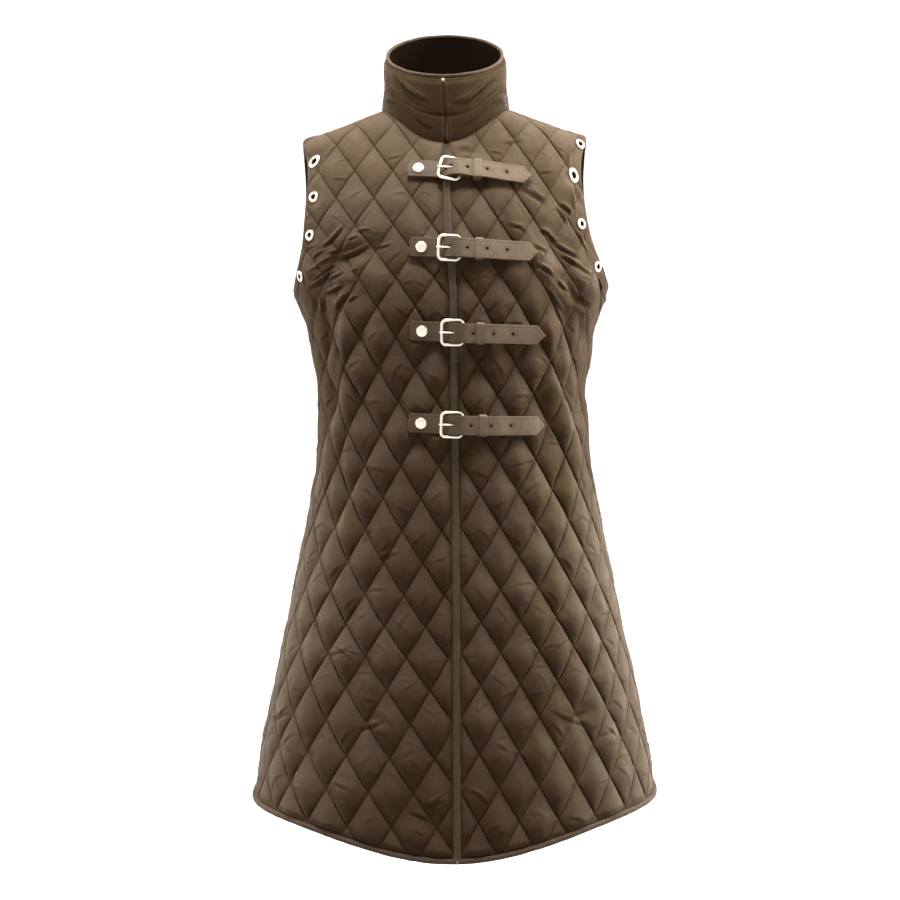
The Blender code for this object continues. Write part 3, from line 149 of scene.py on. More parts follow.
def unit(vectors: Array) -> Array:
    """Scale rows to length one."""
    return vectors / np.maximum(np.linalg.norm(vectors, axis=-1, keepdims=True), 1e-12)


def inside(points: Array, loop: Array) -> Array:
    """Say which plane points lie inside a closed loop.

    Args:
        points: Rows of plane points.
        loop: The closed loop.

    Returns:
        Whether each point is inside.
    """
    hit = np.zeros(len(points), bool)
    x, y = points[:, 0], points[:, 1]
    ends = np.roll(loop, -1, axis=0)
    for (x0, y0), (x1, y1) in zip(loop, ends):
        if y0 != y1:
            crosses = (y0 > y) != (y1 > y)
            hit ^= crosses & (x < (x1 - x0) * (y - y0) / (y1 - y0) + x0)
    return hit


def tree_of(points: Array) -> KDTree:
    """Sort points, two or three wide, for quick searches.

    Args:
        points: The points.

    Returns:
        The balanced tree.
    """
    tree = KDTree(len(points))
    for index, spot in enumerate(points):
        tree.insert((*spot, 0.0)[:3], index)
    tree.balance()
    return tree


def nearest(points: Array, line: Array) -> tuple[Array, Array]:
    """Measure from each point to the nearest station of a line.

    Args:
        points: Rows of coordinates, two or three wide.
        line: Closely spaced stations of the line, as wide as the points.

    Returns:
        The distances, and the number of the nearest station.
    """
    tree = tree_of(line)
    found = [tree.find((*point, 0.0)[:3]) for point in points]
    return np.array([entry[2] for entry in found]), np.array([entry[1] for entry in found])


def away_from(points: Array, centres: Sequence[Array]) -> Array:
    """Measure from each point to the nearest of a few centres.

    Args:
        points: Rows of coordinates.
        centres: The centres, as wide as the points.

    Returns:
        The distances.
    """
    return np.min([np.linalg.norm(points - centre, axis=1) for centre in centres], axis=0)


def resampled(line: Array, spacing: float) -> Array:
    """Space the points of a line evenly, keeping its two ends.

    Args:
        line: Points of the line.
        spacing: About how far apart the new points lie.

    Returns:
        The new points.
    """
    run = np.concatenate(([0.0], np.cumsum(np.linalg.norm(np.diff(line, axis=0), axis=1))))
    count = max(2, int(round(run[-1] / spacing)) + 1)
    stations = np.linspace(0.0, run[-1], count)
    return np.stack([np.interp(stations, run, column) for column in line.T], axis=1)


def eased(path: Array, rounds: int) -> Array:
    """Soften the bends of a path, keeping its two ends.

    Args:
        path: Its points.
        rounds: How many times each point moves towards its neighbours.

    Returns:
        The softened points.
    """
    for _ in range(rounds):
        path[1:-1] = 0.25 * path[:-2] + 0.5 * path[1:-1] + 0.25 * path[2:]
    return path


# ---------------------------------------------------------------- meshes

def mesh_object(name: str, points: Array, faces: Sequence[Sequence[int]], sharp: float = 50.0) -> Piece:
    """Make a smooth-shaded mesh object.

    Args:
        name: Name of the piece.
        points: Vertices in millimetres.
        faces: Vertex numbers of each face.
        sharp: Edges that bend more than this many degrees stay crisp.

    Returns:
        The object, linked to the scene.
    """
    data = bpy.data.meshes.new(name)
    data.from_pydata((np.asarray(points) * MM).tolist(), [], [list(face) for face in faces])
    data.validate()
    made = bmesh.new()
    made.from_mesh(data)
    bmesh.ops.recalc_face_normals(made, faces=made.faces)
    made.to_mesh(data)
    made.free()
    data.shade_smooth()
    data.set_sharp_from_angle(angle=math.radians(sharp))
    item = bpy.data.objects.new(name, data)
    bpy.context.scene.collection.objects.link(item)
    return item


def loft(name: str, rings: Array, round_trip: bool = False, sharp: float = 50.0) -> Piece:
    """Skin closed rings of points into a closed body.

    Args:
        name: Name of the piece.
        rings: Array of rings, each a closed row of points in millimetres.
        round_trip: Join the last ring to the first instead of capping both.
        sharp: Edges that bend more than this many degrees stay crisp.

    Returns:
        The object.
    """
    rings = np.asarray(rings, float)
    rows, count = rings.shape[:2]
    faces: list[list[int]] = []
    for row in range(rows if round_trip else rows - 1):
        after = (row + 1) % rows
        for i in range(count):
            j = (i + 1) % count
            faces.append([row * count + i, row * count + j, after * count + j, after * count + i])
    if not round_trip:
        faces.append(list(range(count))[::-1])
        faces.append(list(range((rows - 1) * count, rows * count)))
    return mesh_object(name, rings.reshape(-1, 3), faces, sharp)


def swept(name: str, middle: Array, first: Array, second: Array, section: Array,
          round_trip: bool = False, sharp: float = 50.0) -> Piece:
    """Sweep a section along a line.

    Args:
        name: Name of the piece.
        middle: Stations of the line.
        first: The section's first axis at each station.
        second: The section's second axis at each station.
        section: Rows of (first, second) lengths, or one such table for each station.
        round_trip: The line closes on itself.
        sharp: Edges that bend more than this many degrees stay crisp.

    Returns:
        The object.
    """
    section = np.asarray(section, float)
    if section.ndim == 2:
        section = np.broadcast_to(section, (len(middle), *section.shape))
    rings = middle[:, None, :] + first[:, None, :] * section[..., :1] + second[:, None, :] * section[..., 1:]
    return loft(name, rings, round_trip, sharp)


def rounded_box(half_x: float, half_y: float, radius: float, steps: int = 4, along: int = 0) -> Array:
    """Outline a rectangle with rounded corners.

    Args:
        half_x: Half its width.
        half_y: Half its height.
        radius: Corner radius.
        steps: Points on each corner.
        along: Extra points on each side.

    Returns:
        The corner points in order.
    """
    points: list[tuple[float, float]] = []
    for turn, (sx, sy) in enumerate(((1, 1), (-1, 1), (-1, -1), (1, -1))):
        for step in range(steps):
            angle = 0.5 * math.pi * (turn + step / (steps - 1))
            points.append((sx * (half_x - radius) + radius * math.cos(angle),
                           sy * (half_y - radius) + radius * math.sin(angle)))
    if not along:
        return np.array(points)
    filled: list[Array] = []
    for index, point in enumerate(points):
        filled.append(np.array(point))
        if index % steps == steps - 1:
            after = np.array(points[(index + 1) % len(points)])
            for part in range(1, along + 1):
                filled.append(np.array(point) + (after - np.array(point)) * part / (along + 1))
    return np.array(filled)


def disc(radius: float, steps: int) -> Array:
    """Outline a circle."""
    turns = np.linspace(0.0, 2.0 * math.pi, steps, endpoint=False)
    return radius * np.stack((np.cos(turns), np.sin(turns)), axis=1)


def line_axes(middle: Array, beside: Array, round_trip: bool = False) -> tuple[Array, Array]:
    """Work out two section axes along a line.

    Args:
        middle: Stations of the line.
        beside: Direction that stays across the line.
        round_trip: The line closes on itself.

    Returns:
        The axes across the line: the one square to beside, then beside itself.
    """
    if round_trip:
        along = np.roll(middle, -1, axis=0) - np.roll(middle, 1, axis=0)
    else:
        along = np.gradient(middle, axis=0)
    across = unit(np.cross(beside, unit(along)))
    return across, unit(np.broadcast_to(beside, middle.shape))


# ---------------------------------------------------------------- the body form

@dataclass(frozen=True)
class Fold:
    """A fold in a front, from one place to another in x and z."""

    x0: float
    z0: float
    x1: float
    z1: float
    width: float
    rise: float

    pulling: float = 1.3
    pull_reach: float = 14.0

    def _reach(self, x: Array, z: Array) -> tuple[Array, Array]:
        """Share of the way along the fold, and distance from it in half widths, positive above.

        Args:
            x: Places across.
            z: Heights.

        Returns:
            The shares and the distances.
        """
        run_x, run_z = self.x1 - self.x0, self.z1 - self.z0
        length = math.hypot(run_x, run_z)
        share = ((x - self.x0) * run_x + (z - self.z0) * run_z) / length ** 2
        held = np.clip(share, 0.0, 1.0)
        away = np.hypot(x - self.x0 - held * run_x, z - self.z0 - held * run_z) / self.width
        above = (z - self.z0) * run_x - (x - self.x0) * run_z
        return share, np.where(above * run_x < 0.0, -away, away)

    def rows(self) -> Array:
        """Points in rows along the fold and beside it, close enough for it to be crisp.

        Returns:
            The points.
        """
        length = math.hypot(self.x1 - self.x0, self.z1 - self.z0)
        run = np.array([self.x1 - self.x0, self.z1 - self.z0]) / length
        share, beside = np.meshgrid(np.arange(-0.08, 1.1, 1.7 / length), np.arange(-1.9, 2.3, 0.38))
        share[::2] += 0.85 / length
        spots = (share.ravel()[:, None] * length * run
                 + beside.ravel()[:, None] * self.width * np.array([-run[1], run[0]]))
        return np.array([self.x0, self.z0]) + spots

    def calm(self, x: Array, z: Array) -> Array:
        """How far the fold pulls the padding flat round it.

        Args:
            x: Places across.
            z: Heights.

        Returns:
            Shares from 0 to 1.
        """
        if abs(self.rise) < self.pulling or self.width > 4.0:
            return np.zeros(len(x))
        return np.exp(-((self._reach(x, z)[1] * self.width / self.pull_reach) ** 2))

    def soft(self, x: Array, z: Array) -> Array:
        """Height of a broad, even fold."""
        away = self._reach(x, z)[1]
        return self.rise * np.exp(-away * away)

    def sharp(self, x: Array, z: Array) -> Array:
        """Height of a tuck: a ridge over a hollow, or a plain groove where the rise is negative.

        Args:
            x: Places across.
            z: Heights.

        Returns:
            The heights.
        """
        share, away = self._reach(x, z)
        away = away + 0.5 * math.sin(self.x0 + self.z1) * (4.0 * share * (1.0 - share) - 0.6)
        if self.rise > 0.0:
            height = np.exp(-((away - 0.8) / 0.75) ** 2) - 0.9 * np.exp(-((away + 0.7) / 0.65) ** 2)
        else:
            groove = np.exp(-np.abs(away) ** 1.4)
            height = groove - 0.4 * np.exp(-((np.abs(away) - 2.0) / 0.8) ** 2)
        taper = ramp(-0.12, 0.3, share) * (1.0 - ramp(0.62, 1.12, share))
        return self.rise * height * taper


@dataclass
class BodyForm:
    """The coat's mean outer surface: level rings with their own widths and depths."""

    power: float = 2.3
    underarm_z: float = -218.0
    thread_z: float = -106.0
    shoulder_row: float = 35.0
    neck_half_width: float = 76.0
    neck_front: float = 66.0
    neck_back: float = 62.0
    shoulder_tip: float = 165.0
    hem_side_z: float = -821.0
    hem_front_drop: float = 40.0
    hem_back_drop: float = 10.0
    fold_side_fade: float = 45.0

    # z, half width, depth of the front, depth of the back, sway to the wearer's left
    ring_rows: Table = (
        (30, 8, 24, 52, 0), (20, 14, 30, 60, 0), (0, 66, 38, 73, 0), (-10, 91, 46, 79, 0),
        (-20, 117, 54, 85, -0.5), (-38, 167.5, 62, 92, -1.5), (-46, 173.5, 67, 95, -2),
        (-70, 180.5, 88, 101, -2.3), (-110, 187, 110, 108, -2.3), (-150, 190.5, 123, 112, -0.8),
        (-190, 194, 131, 111, 2.5), (-216, 189.5, 133.5, 108, 4), (-240, 179.5, 134, 104, 3.8),
        (-265, 171, 134, 99, 3.5), (-290, 168, 134, 94, 3.4), (-340, 160.8, 134, 87, 3.4),
        (-385, 163, 135, 88, 3.6), (-433, 166.8, 137, 95, 3.6), (-480, 176, 140, 107, 3.3),
        (-530, 186.2, 144, 119, 3), (-580, 196.3, 148, 128, 2.7), (-630, 206.6, 152, 136, 2.2),
        (-680, 218, 156, 143, 1.8), (-730, 228.5, 161, 150, 1.3), (-780, 238.6, 166, 157, 0.8),
        (-830, 246, 171, 164, 0.3), (-880, 250, 175, 169, 0),
    )

    # z, how far the armhole's edge stands forward, how far back
    armhole_rows: Table = (
        (-38.0, 0.0, 0.0), (-43.0, 16.0, 15.0), (-52.0, 31.0, 29.0), (-70.0, 47.0, 42.0),
        (-99.0, 60.0, 52.0), (-146.0, 68.0, 55.0), (-179.0, 64.0, 47.0), (-201.0, 50.0, 33.0),
        (-213.0, 29.0, 17.0), (-218.0, 0.0, 0.0),
    )

    # the largest folds of the fronts
    fold_rows: Table = (
        (-109, -167, -158, -208, 11, -3), (-87, -164, -128, -178, 11, -3),
        (-120, -202, -150, -222, 11, -2.5), (-145, -238, -139, -352, 13, -4),
        (-120, -235, -121, -384, 13, 3), (-128, -380, -140, -476, 13, -2.5),
        (122, -166, 144, -224, 12, -3.5), (150, -212, 156, -232, 17, 4), (133, -240, 152, -363, 13, -4),
        (112, -259, 131, -377, 13, 3), (104, -345, 122, -433, 13, -2.5), (124, -138, 142, -160, 10, -2.5),
    )

    def __post_init__(self) -> None:
        """Round the tables into curves."""
        table = np.array(self.ring_rows)
        self.width = smooth_curve(table[:, 0], table[:, 1], 5.0)
        self.front = smooth_curve(table[:, 0], table[:, 2], 12.0)
        self.back = smooth_curve(table[:, 0], table[:, 3], 12.0)
        self.sway = smooth_curve(table[:, 0], table[:, 4], 12.0)
        self.folds = [Fold(*row) for row in self.fold_rows]

    def half_width(self, z: Array) -> Array:
        """Half the form's width at heights."""
        return np.interp(z, *self.width)

    def full_depth(self, z: Array, front: bool) -> Array:
        """Depth of the form's front or back half at heights."""
        return np.interp(z, *(self.front if front else self.back))

    def ring_depth(self, x: Array, z: Array, front: bool) -> Array:
        """Distance of the form from the plane y = 0."""
        share = np.minimum(1.0, np.abs(x) / self.half_width(z))
        return self.full_depth(z, front) * (1.0 - share ** self.power) ** (1.0 / self.power)

    def surface(self, x: Array, z: Array, depth: Array, front: bool) -> tuple[Array, Array]:
        """Places and outward normals of the form.

        Args:
            x: Places across, before the sway.
            z: Heights.
            depth: Distances from the plane y = 0.
            front: The front half of the form.

        Returns:
            The points and the unit normals.
        """
        n = self.power
        wide, deep = self.half_width(z), self.full_depth(z, front)
        slope_wide = self.half_width(z + 1.0) - self.half_width(z - 1.0)
        slope_deep = self.full_depth(z + 1.0, front) - self.full_depth(z - 1.0, front)
        across, into = np.abs(x) / wide, depth / deep
        gx = across ** (n - 1.0) / wide
        gy = into ** (n - 1.0) / deep
        gz = -0.5 * (across ** n / wide * slope_wide + into ** n / deep * slope_deep)
        facing = -1.0 if front else 1.0
        normal = unit(np.stack((np.sign(x) * gx, facing * gy, gz), axis=-1))
        place = np.stack((x + np.interp(z, *self.sway), facing * depth, z), axis=-1)
        if front:
            rise = sum(fold.soft(x, z) for fold in self.folds)
            place = place + normal * (rise * ramp(0.0, self.fold_side_fade, depth))[..., None]
        return place, normal

    def ridge_level(self, x: Array) -> Array:
        """Height of the shoulder line.

        Args:
            x: Places across.

        Returns:
            The heights.
        """
        low, high = np.full(np.shape(x), -105.0), np.full(np.shape(x), 29.0)
        for _ in range(40):
            middle = 0.5 * (low + high)
            under = self.half_width(middle) > x
            low, high = np.where(under, middle, low), np.where(under, high, middle)
        return 0.5 * (low + high)

    def level_at(self, x: Array, depth: Array, front: bool) -> Array:
        """Height at which the form passes through plan points.

        Args:
            x: Places across.
            depth: Distances from the plane y = 0.
            front: The front half of the form.

        Returns:
            The heights.
        """
        low, high = np.full(np.shape(x), -150.0), np.full(np.shape(x), 29.0)
        for _ in range(40):
            middle = 0.5 * (low + high)
            ring = (np.abs(x) / self.half_width(middle)) ** self.power
            ring = ring + (depth / self.full_depth(middle, front)) ** self.power
            low, high = np.where(ring < 1.0, middle, low), np.where(ring < 1.0, high, middle)
        return 0.5 * (low + high)

    def hem_level(self, x: Array, front: bool) -> Array:
        """Height of the hem.

        Args:
            x: Places across.
            front: The front half of the form.

        Returns:
            The heights.
        """
        drop = self.hem_front_drop if front else self.hem_back_drop
        share = np.minimum(1.0, np.abs(x) / self.half_width(self.hem_side_z))
        return self.hem_side_z - 0.5 * drop * (1.0 + np.cos(math.pi * share))

    def hem_ring(self, count: int, front: bool) -> tuple[Array, Array, Array]:
        """Follow half of the hem, from the side to the middle.

        Args:
            count: Number of stations.
            front: The front half of the form.

        Returns:
            x, z and depth at each station.
        """
        turns = np.linspace(0.5 * math.pi, 0.0, count)
        level = np.full(count, self.hem_side_z)
        for _ in range(4):
            x = self.half_width(level) * np.sin(turns) ** (2.0 / self.power)
            level = self.hem_level(x, front)
        return x, level, self.full_depth(level, front) * np.cos(turns) ** (2.0 / self.power)

    def neck_point(self, angle: Array) -> tuple[Array, Array, Array]:
        """x, depth and z of the neck seam; the angle runs from the middle of the front.

        Args:
            angle: Turns from the middle of the front.

        Returns:
            x, depth and z.
        """
        angle = np.asarray(angle, float)
        x = self.neck_half_width * np.abs(np.sin(angle))
        turn = np.abs(np.cos(angle))
        is_front = np.cos(angle) >= 0.0
        depth = np.where(is_front, self.neck_front, self.neck_back) * turn
        z = np.where(is_front, self.level_at(x, depth, True), self.level_at(x, depth, False))
        return x, depth, z

    def neck_level(self, x: float, front: bool) -> float:
        """Height of the neck seam at an x."""
        angle = math.asin(min(1.0, x / self.neck_half_width))
        return float(self.neck_point(np.array([angle if front else math.pi - angle]))[2][0])

    def armhole(self, front: bool) -> tuple[Array, Array, Array]:
        """x, z and depth of the armhole's edge, from the shoulder to the underarm.

        Args:
            front: The front half of the form.

        Returns:
            x, z and depth.
        """
        table = np.array(self.armhole_rows)
        stations = np.linspace(0.0, len(table) - 1.0, 121)
        numbers = np.arange(len(table))
        z = np.interp(stations, numbers, table[:, 0])
        depth = np.interp(stations, numbers, table[:, 1 if front else 2])
        z, depth = running_mean(z, 6), np.maximum(running_mean(depth, 6), 0.0)
        share = np.minimum(1.0, depth / self.full_depth(z, front))
        x = self.half_width(z) * (1.0 - share ** self.power) ** (1.0 / self.power)
        x[0], z[0], depth[0] = self.shoulder_tip, self.ridge_level(np.array(self.shoulder_tip)), 0.0
        return x, z, depth

    def quarter(self, z: Array, front: bool) -> tuple[Array, Array, Array, Array]:
        """Follow a quarter of the ring at each height.

        Args:
            z: Heights.
            front: The front half of the form.

        Returns:
            x, depth, quilting distance and true distance from the middle, a row for each height.
        """
        turns = 0.25 * math.pi * (1.0 - np.cos(np.linspace(0.0, math.pi, 121)))
        z = np.atleast_1d(z)
        x = self.half_width(z)[:, None] * np.sin(turns) ** (2.0 / self.power)
        y = self.full_depth(z, front)[:, None] * np.cos(turns) ** (2.0 / self.power)
        steps = np.hypot(np.diff(x, axis=1), np.diff(y, axis=1))
        arc = np.concatenate((np.zeros((len(z), 1)), np.cumsum(steps, axis=1)), axis=1)
        straight = ramp(self.underarm_z, self.thread_z, z)[:, None]
        return x, y, (1.0 - straight) * arc + straight * x, arc


class Half(Enum):
    """Which panel of the coat."""

    RIGHT_FRONT = "front_right"
    LEFT_FRONT = "front_left"
    BACK = "back"

    @property
    def is_front(self) -> bool:
        """Whether the panel is a front."""
        return self is not Half.BACK

    @property
    def piece(self) -> str:
        """Name of the panel's piece."""
        return f"quilted_{self.value}"

    @property
    def side(self) -> float:
        """The side of the body: -1 for the wearer's right."""
        return -1.0 if self is Half.RIGHT_FRONT else 1.0


@dataclass
class Quilt:
    """Quilt coordinates of one panel: P counts columns round the body, Q counts rows upwards.

    The quilting lines lie where (P + Q) / 2 or (P - Q) / 2 is a whole number.
    """

    form: BodyForm
    half: Half
    row_height: float = 36.0
    column_width: float = 22.5
    left_row_shift: float = 5.0
    line_spacing: float = 38.2
    diamond_side: float = 42.5
    ring_low: float = -914.0
    ring_step: float = 2.0
    thread_step: float = 1.5
    thread_reach: float = 187.0

    # half row, z
    row_levels: Table = (
        (-2, -905.0), (0, -826.0), (4, -667.0), (8, -523.0), (12, -374.0), (16, -227.0), (20, -106.0),
    )

    # z, P at the closing edge and column width: of the right front, then of the left front
    front_columns: Table = (
        (-106, -3.69, 22, -4.04, 20), (-250, -3.90, 22.2, -3.39, 21.6), (-440, -3.71, 22.2, -3.34, 22.6),
        (-600, -3.39, 24, -3.38, 22.6), (-740, -2.86, 26.4, -3.20, 23.4), (-870, -2.76, 26.4, -3.12, 23.6),
    )

    # z, column width of the back
    back_columns: Table = (
        (-106.0, 21.5), (-350.0, 21.5), (-600.0, 24.0), (-870.0, 26.8),
    )

    def __post_init__(self) -> None:
        """Prepare the tables that lead from the cutting plane to the form."""
        form, half = self.form, self.half
        self.shift = self.left_row_shift if half is Half.LEFT_FRONT else 0.0
        rows = np.array(self.row_levels)
        self.rows = smooth_curve(rows[:, 0], rows[:, 1], 0.8, step=0.1)
        if half.is_front:
            table = np.array(self.front_columns)
            first = 3 if half is Half.LEFT_FRONT else 1
            self.phase = smooth_curve(table[:, 0], table[:, first], 40.0)
            self.pitch = smooth_curve(table[:, 0], table[:, first + 1], 40.0)
        else:
            table = np.array(self.back_columns)
            self.phase = (np.sort(table[:, 0]), np.zeros(len(table)))
            self.pitch = smooth_curve(table[:, 0], table[:, 1], 40.0)
        self.top_row = float(np.interp(form.thread_z - self.shift, self.rows[1], self.rows[0]))
        self._lay_rings()
        self._lay_threads()

    def _lay_rings(self) -> None:
        """Tabulate the rings below the shoulder by even shares of their quilting distance."""
        self.ring_z = np.arange(self.ring_low, self.form.thread_z + 6.0, self.ring_step)
        x, y, distance, _ = self.form.quarter(self.ring_z, self.half.is_front)
        self.ring_total = distance[:, -1]
        shares = np.linspace(0.0, 1.0, 301)
        self.ring_x = np.array([np.interp(shares * d[-1], d, row) for d, row in zip(distance, x)])
        self.ring_y = np.array([np.interp(shares * d[-1], d, row) for d, row in zip(distance, y)])

    def _lay_threads(self) -> None:
        """Tabulate the straight threads over the shoulder by even shares of their length."""
        self.thread_x = np.arange(0.0, self.thread_reach, self.thread_step)
        base = self.form.thread_z
        top = self.form.ridge_level(self.thread_x)
        turns = np.sin(np.linspace(0.0, 0.5 * math.pi, 90))
        shares = np.linspace(0.0, 1.0, 181)
        totals, levels, depths = [], [], []
        for x, high in zip(self.thread_x, top):
            z = base + (high - base) * turns
            y = self.form.ring_depth(np.full(len(z), x), z, self.half.is_front)
            length = np.concatenate(([0.0], np.cumsum(np.hypot(np.diff(z), np.diff(y)))))
            totals.append(length[-1])
            levels.append(np.interp(shares * length[-1], length, z))
            depths.append(np.interp(shares * length[-1], length, y))
        self.thread_total = np.array(totals)
        self.thread_z, self.thread_y = np.array(levels), np.array(depths)

    @staticmethod
    def _sample(table: Array, row: Array, share: Array) -> Array:
        """Read a table between its rows and columns.

        Args:
            table: The table.
            row: Places along its rows.
            share: Shares of the way along its columns.

        Returns:
            The values.
        """
        rows, columns = table.shape
        i = np.clip(row, 0.0, rows - 1.001)
        j = np.clip(share, 0.0, 1.0) * (columns - 1.001)
        i0, j0 = i.astype(int), j.astype(int)
        di, dj = i - i0, j - j0
        low = table[i0, j0] * (1 - dj) + table[i0, j0 + 1] * dj
        high = table[i0 + 1, j0] * (1 - dj) + table[i0 + 1, j0 + 1] * dj
        return low * (1 - di) + high * di

    def locate(self, plan: Array) -> tuple[Array, Array, Array]:
        """Carry cutting-plane points to the form.

        Args:
            plan: Rows of plane points in millimetres.

        Returns:
            x before the sway, z and depth of each.
        """
        across, row = plan[:, 0] / self.column_width, plan[:, 1] / self.row_height
        side = np.full(len(plan), self.half.side)
        if not self.half.is_front:
            side = np.where(across < 0.0, -1.0, 1.0)
            across = np.abs(across)
        z = np.interp(row, *self.rows) + self.shift
        distance = (across - np.interp(z, *self.phase)) * np.interp(z, *self.pitch)
        level = (z - self.ring_z[0]) / self.ring_step
        total = np.interp(z, self.ring_z, self.ring_total)
        x = self._sample(self.ring_x, level, distance / total)
        y = self._sample(self.ring_y, level, distance / total)
        base = self.form.thread_z
        over_x = (across - np.interp(base, *self.phase)) * np.interp(base, *self.pitch)
        over_x = np.maximum(over_x, 0.0)
        length = (row - self.top_row) * self.form.shoulder_row
        share = length / np.interp(over_x, self.thread_x, self.thread_total)
        above = row > self.top_row
        x = np.where(above, over_x, x)
        y = np.where(above, self._sample(self.thread_y, over_x / self.thread_step, share), y)
        z = np.where(above, self._sample(self.thread_z, over_x / self.thread_step, share), z)
        return side * x, z, y

    def plan(self, x: Array, z: Array, depth: Array) -> Array:
        """Carry points of the form to the cutting plane.

        Args:
            x: Places across, before the sway.
            z: Heights.
            depth: Distances from the plane y = 0.

        Returns:
            Rows of plane points.
        """
        result = np.zeros((len(x), 2))
        base = self.form.thread_z
        for index, (px, pz, py) in enumerate(zip(x, z, depth)):
            level = min(pz, base)
            distance = abs(px)
            if pz <= base:
                xs, ys, distances, _ = self.form.quarter(np.array([pz]), self.half.is_front)
                by_depth = py < abs(px)
                distance = (np.interp(-py, -ys[0], distances[0]) if by_depth
                            else np.interp(abs(px), xs[0], distances[0]))
            across = np.interp(level, *self.phase) + distance / np.interp(level, *self.pitch)
            if not self.half.is_front and px < 0.0:
                across = -across
            row = np.interp(level - self.shift, self.rows[1], self.rows[0])
            if pz > base:
                at = abs(px) / self.thread_step
                shares = np.linspace(0.0, 1.0, self.thread_z.shape[1])
                levels = self._sample(self.thread_z, np.full(len(shares), at), shares)
                share = np.interp(pz, levels, shares)
                total = np.interp(abs(px), self.thread_x, self.thread_total)
                row = row + share * total / self.form.shoulder_row
            result[index] = (across * self.column_width, row * self.row_height)
        return result

    def numbers(self, plan: Array) -> tuple[Array, Array]:
        """The two quilting numbers of plane points."""
        across, row = plan[:, 0] / self.column_width, plan[:, 1] / self.row_height
        return 0.5 * (across + row), 0.5 * (across - row)


# ---------------------------------------------------------------- cloth walls

@dataclass(frozen=True)
class Cloth:
    """Heights of the quilted cloth along the form's normal."""

    sink: float = 2.2
    inside: float = 6.0
    gap: float = 0.35

    @property
    def middle(self) -> float:
        """Height of the middle of a binding that wraps the cloth's edge."""
        return 0.5 * (0.8 - self.inside)


@dataclass
class Skin:
    """A flat skin of triangles and the vertex numbers of its border loops."""

    plan: Array
    triangles: Array
    borders: list[list[int]]


def within_skin(points: Array, loops: Sequence[Array]) -> Array:
    """Say which points lie inside the first loop and outside the others.

    Args:
        points: Rows of plane points.
        loops: The closed loops.

    Returns:
        Whether each point does.
    """
    keep = inside(points, loops[0])
    for hole in loops[1:]:
        keep &= ~inside(points, hole)
    return keep


def flat_skin(loops: Sequence[Array], extra: Array) -> Skin:
    """Fill the space inside the first loop and outside the others with triangles.

    Args:
        loops: Closed loops of plane points; the first is the outline.
        extra: Further plane points inside.

    Returns:
        The skin.
    """
    points = np.concatenate([*loops, extra]) if len(extra) else np.concatenate(loops)
    edges: list[tuple[int, int]] = []
    start = 0
    for loop in loops:
        edges += [(start + i, start + (i + 1) % len(loop)) for i in range(len(loop))]
        start += len(loop)
    found = delaunay_2d_cdt([Vector(p) for p in points.tolist()], edges, [], 0, 1e-5)
    plan = np.array([tuple(p) for p in found[0]])
    triangles = np.array([face for face in found[2] if len(face) == 3])
    centres = plan[triangles].mean(axis=1)
    triangles = triangles[within_skin(centres, loops)]
    made = {number: index for index, numbers in enumerate(found[3]) for number in numbers}
    used = np.unique(triangles)
    place = np.full(len(plan), -1)
    place[used] = np.arange(len(used))
    borders, start = [], 0
    for loop in loops:
        borders.append([int(place[made[start + i]]) for i in range(len(loop))])
        start += len(loop)
    return Skin(plan[used], place[triangles], borders)


def walled(outer: Skin, inner: Skin) -> list[list[int]]:
    """Faces of two skins and of the walls between their border loops.

    Args:
        outer: The outer skin.
        inner: The inner skin, with matching borders.

    Returns:
        The faces.
    """
    faces = outer.triangles.tolist()
    shift = len(outer.plan)
    faces += (inner.triangles[:, ::-1] + shift).tolist()
    for first, second in zip(outer.borders, inner.borders):
        for i in range(len(first)):
            j = (i + 1) % len(first)
            faces.append([first[j], first[i], second[i] + shift, second[j] + shift])
    return faces


def edge_rows(loop: Array, offsets: Sequence[float], clear: float = 0.8) -> Array:
    """Rows of points beside a loop, on its left side.

    Args:
        loop: Closed loop of plane points.
        offsets: Distance of each row; a negative one lies on the right.
        clear: A point nearer to the loop than this share of its offset is left out.

    Returns:
        The points.
    """
    along = unit(np.roll(loop, -1, axis=0) - np.roll(loop, 1, axis=0))
    left = np.stack((-along[:, 1], along[:, 0]), axis=1)
    rows = []
    for offset in offsets:
        row = loop + left * offset
        away = nearest(row, loop)[0]
        rows.append(row[away > clear * abs(offset)])
    return np.concatenate(rows)


def turning(loop: Array) -> float:
    """Signed area of a loop, positive when it runs against the clock."""
    after = np.roll(loop, -1, axis=0)
    return 0.5 * float(np.sum(loop[:, 0] * after[:, 1] - loop[:, 1] * after[:, 0]))


def store(item: Piece, name: str, values: Array) -> None:
    """Keep a number on each vertex for the materials to read."""
    layer = item.data.attributes.new(name, "FLOAT", "POINT")
    layer.data.foreach_set("value", np.asarray(values, np.float32))


def store_cut(item: Piece, plan: Array) -> None:
    """Keep the cutting-plane place of each vertex, in metres, as texture coordinates.

    Args:
        item: The piece.
        plan: Plane place of each vertex, in millimetres.
    """
    layer = item.data.uv_layers.new(name="cut")
    corners = np.zeros(len(item.data.loops), np.int32)
    item.data.loops.foreach_get("vertex_index", corners)
    layer.data.foreach_set("uv", (np.asarray(plan)[corners] * MM).astype(np.float32).ravel())


def line_inside(item: Piece, within: Array) -> None:
    """Give the second material to the faces whose vertices all lie within.

    Args:
        item: The piece.
        within: Whether each vertex lies within.
    """
    data = item.data
    corners = np.zeros(len(data.loops), np.int32)
    data.loops.foreach_get("vertex_index", corners)
    starts = np.zeros(len(data.polygons), np.int32)
    data.polygons.foreach_get("loop_start", starts)
    lined = np.logical_and.reduceat(np.asarray(within)[corners], starts)
    data.polygons.foreach_set("material_index", lined.astype(np.int32))


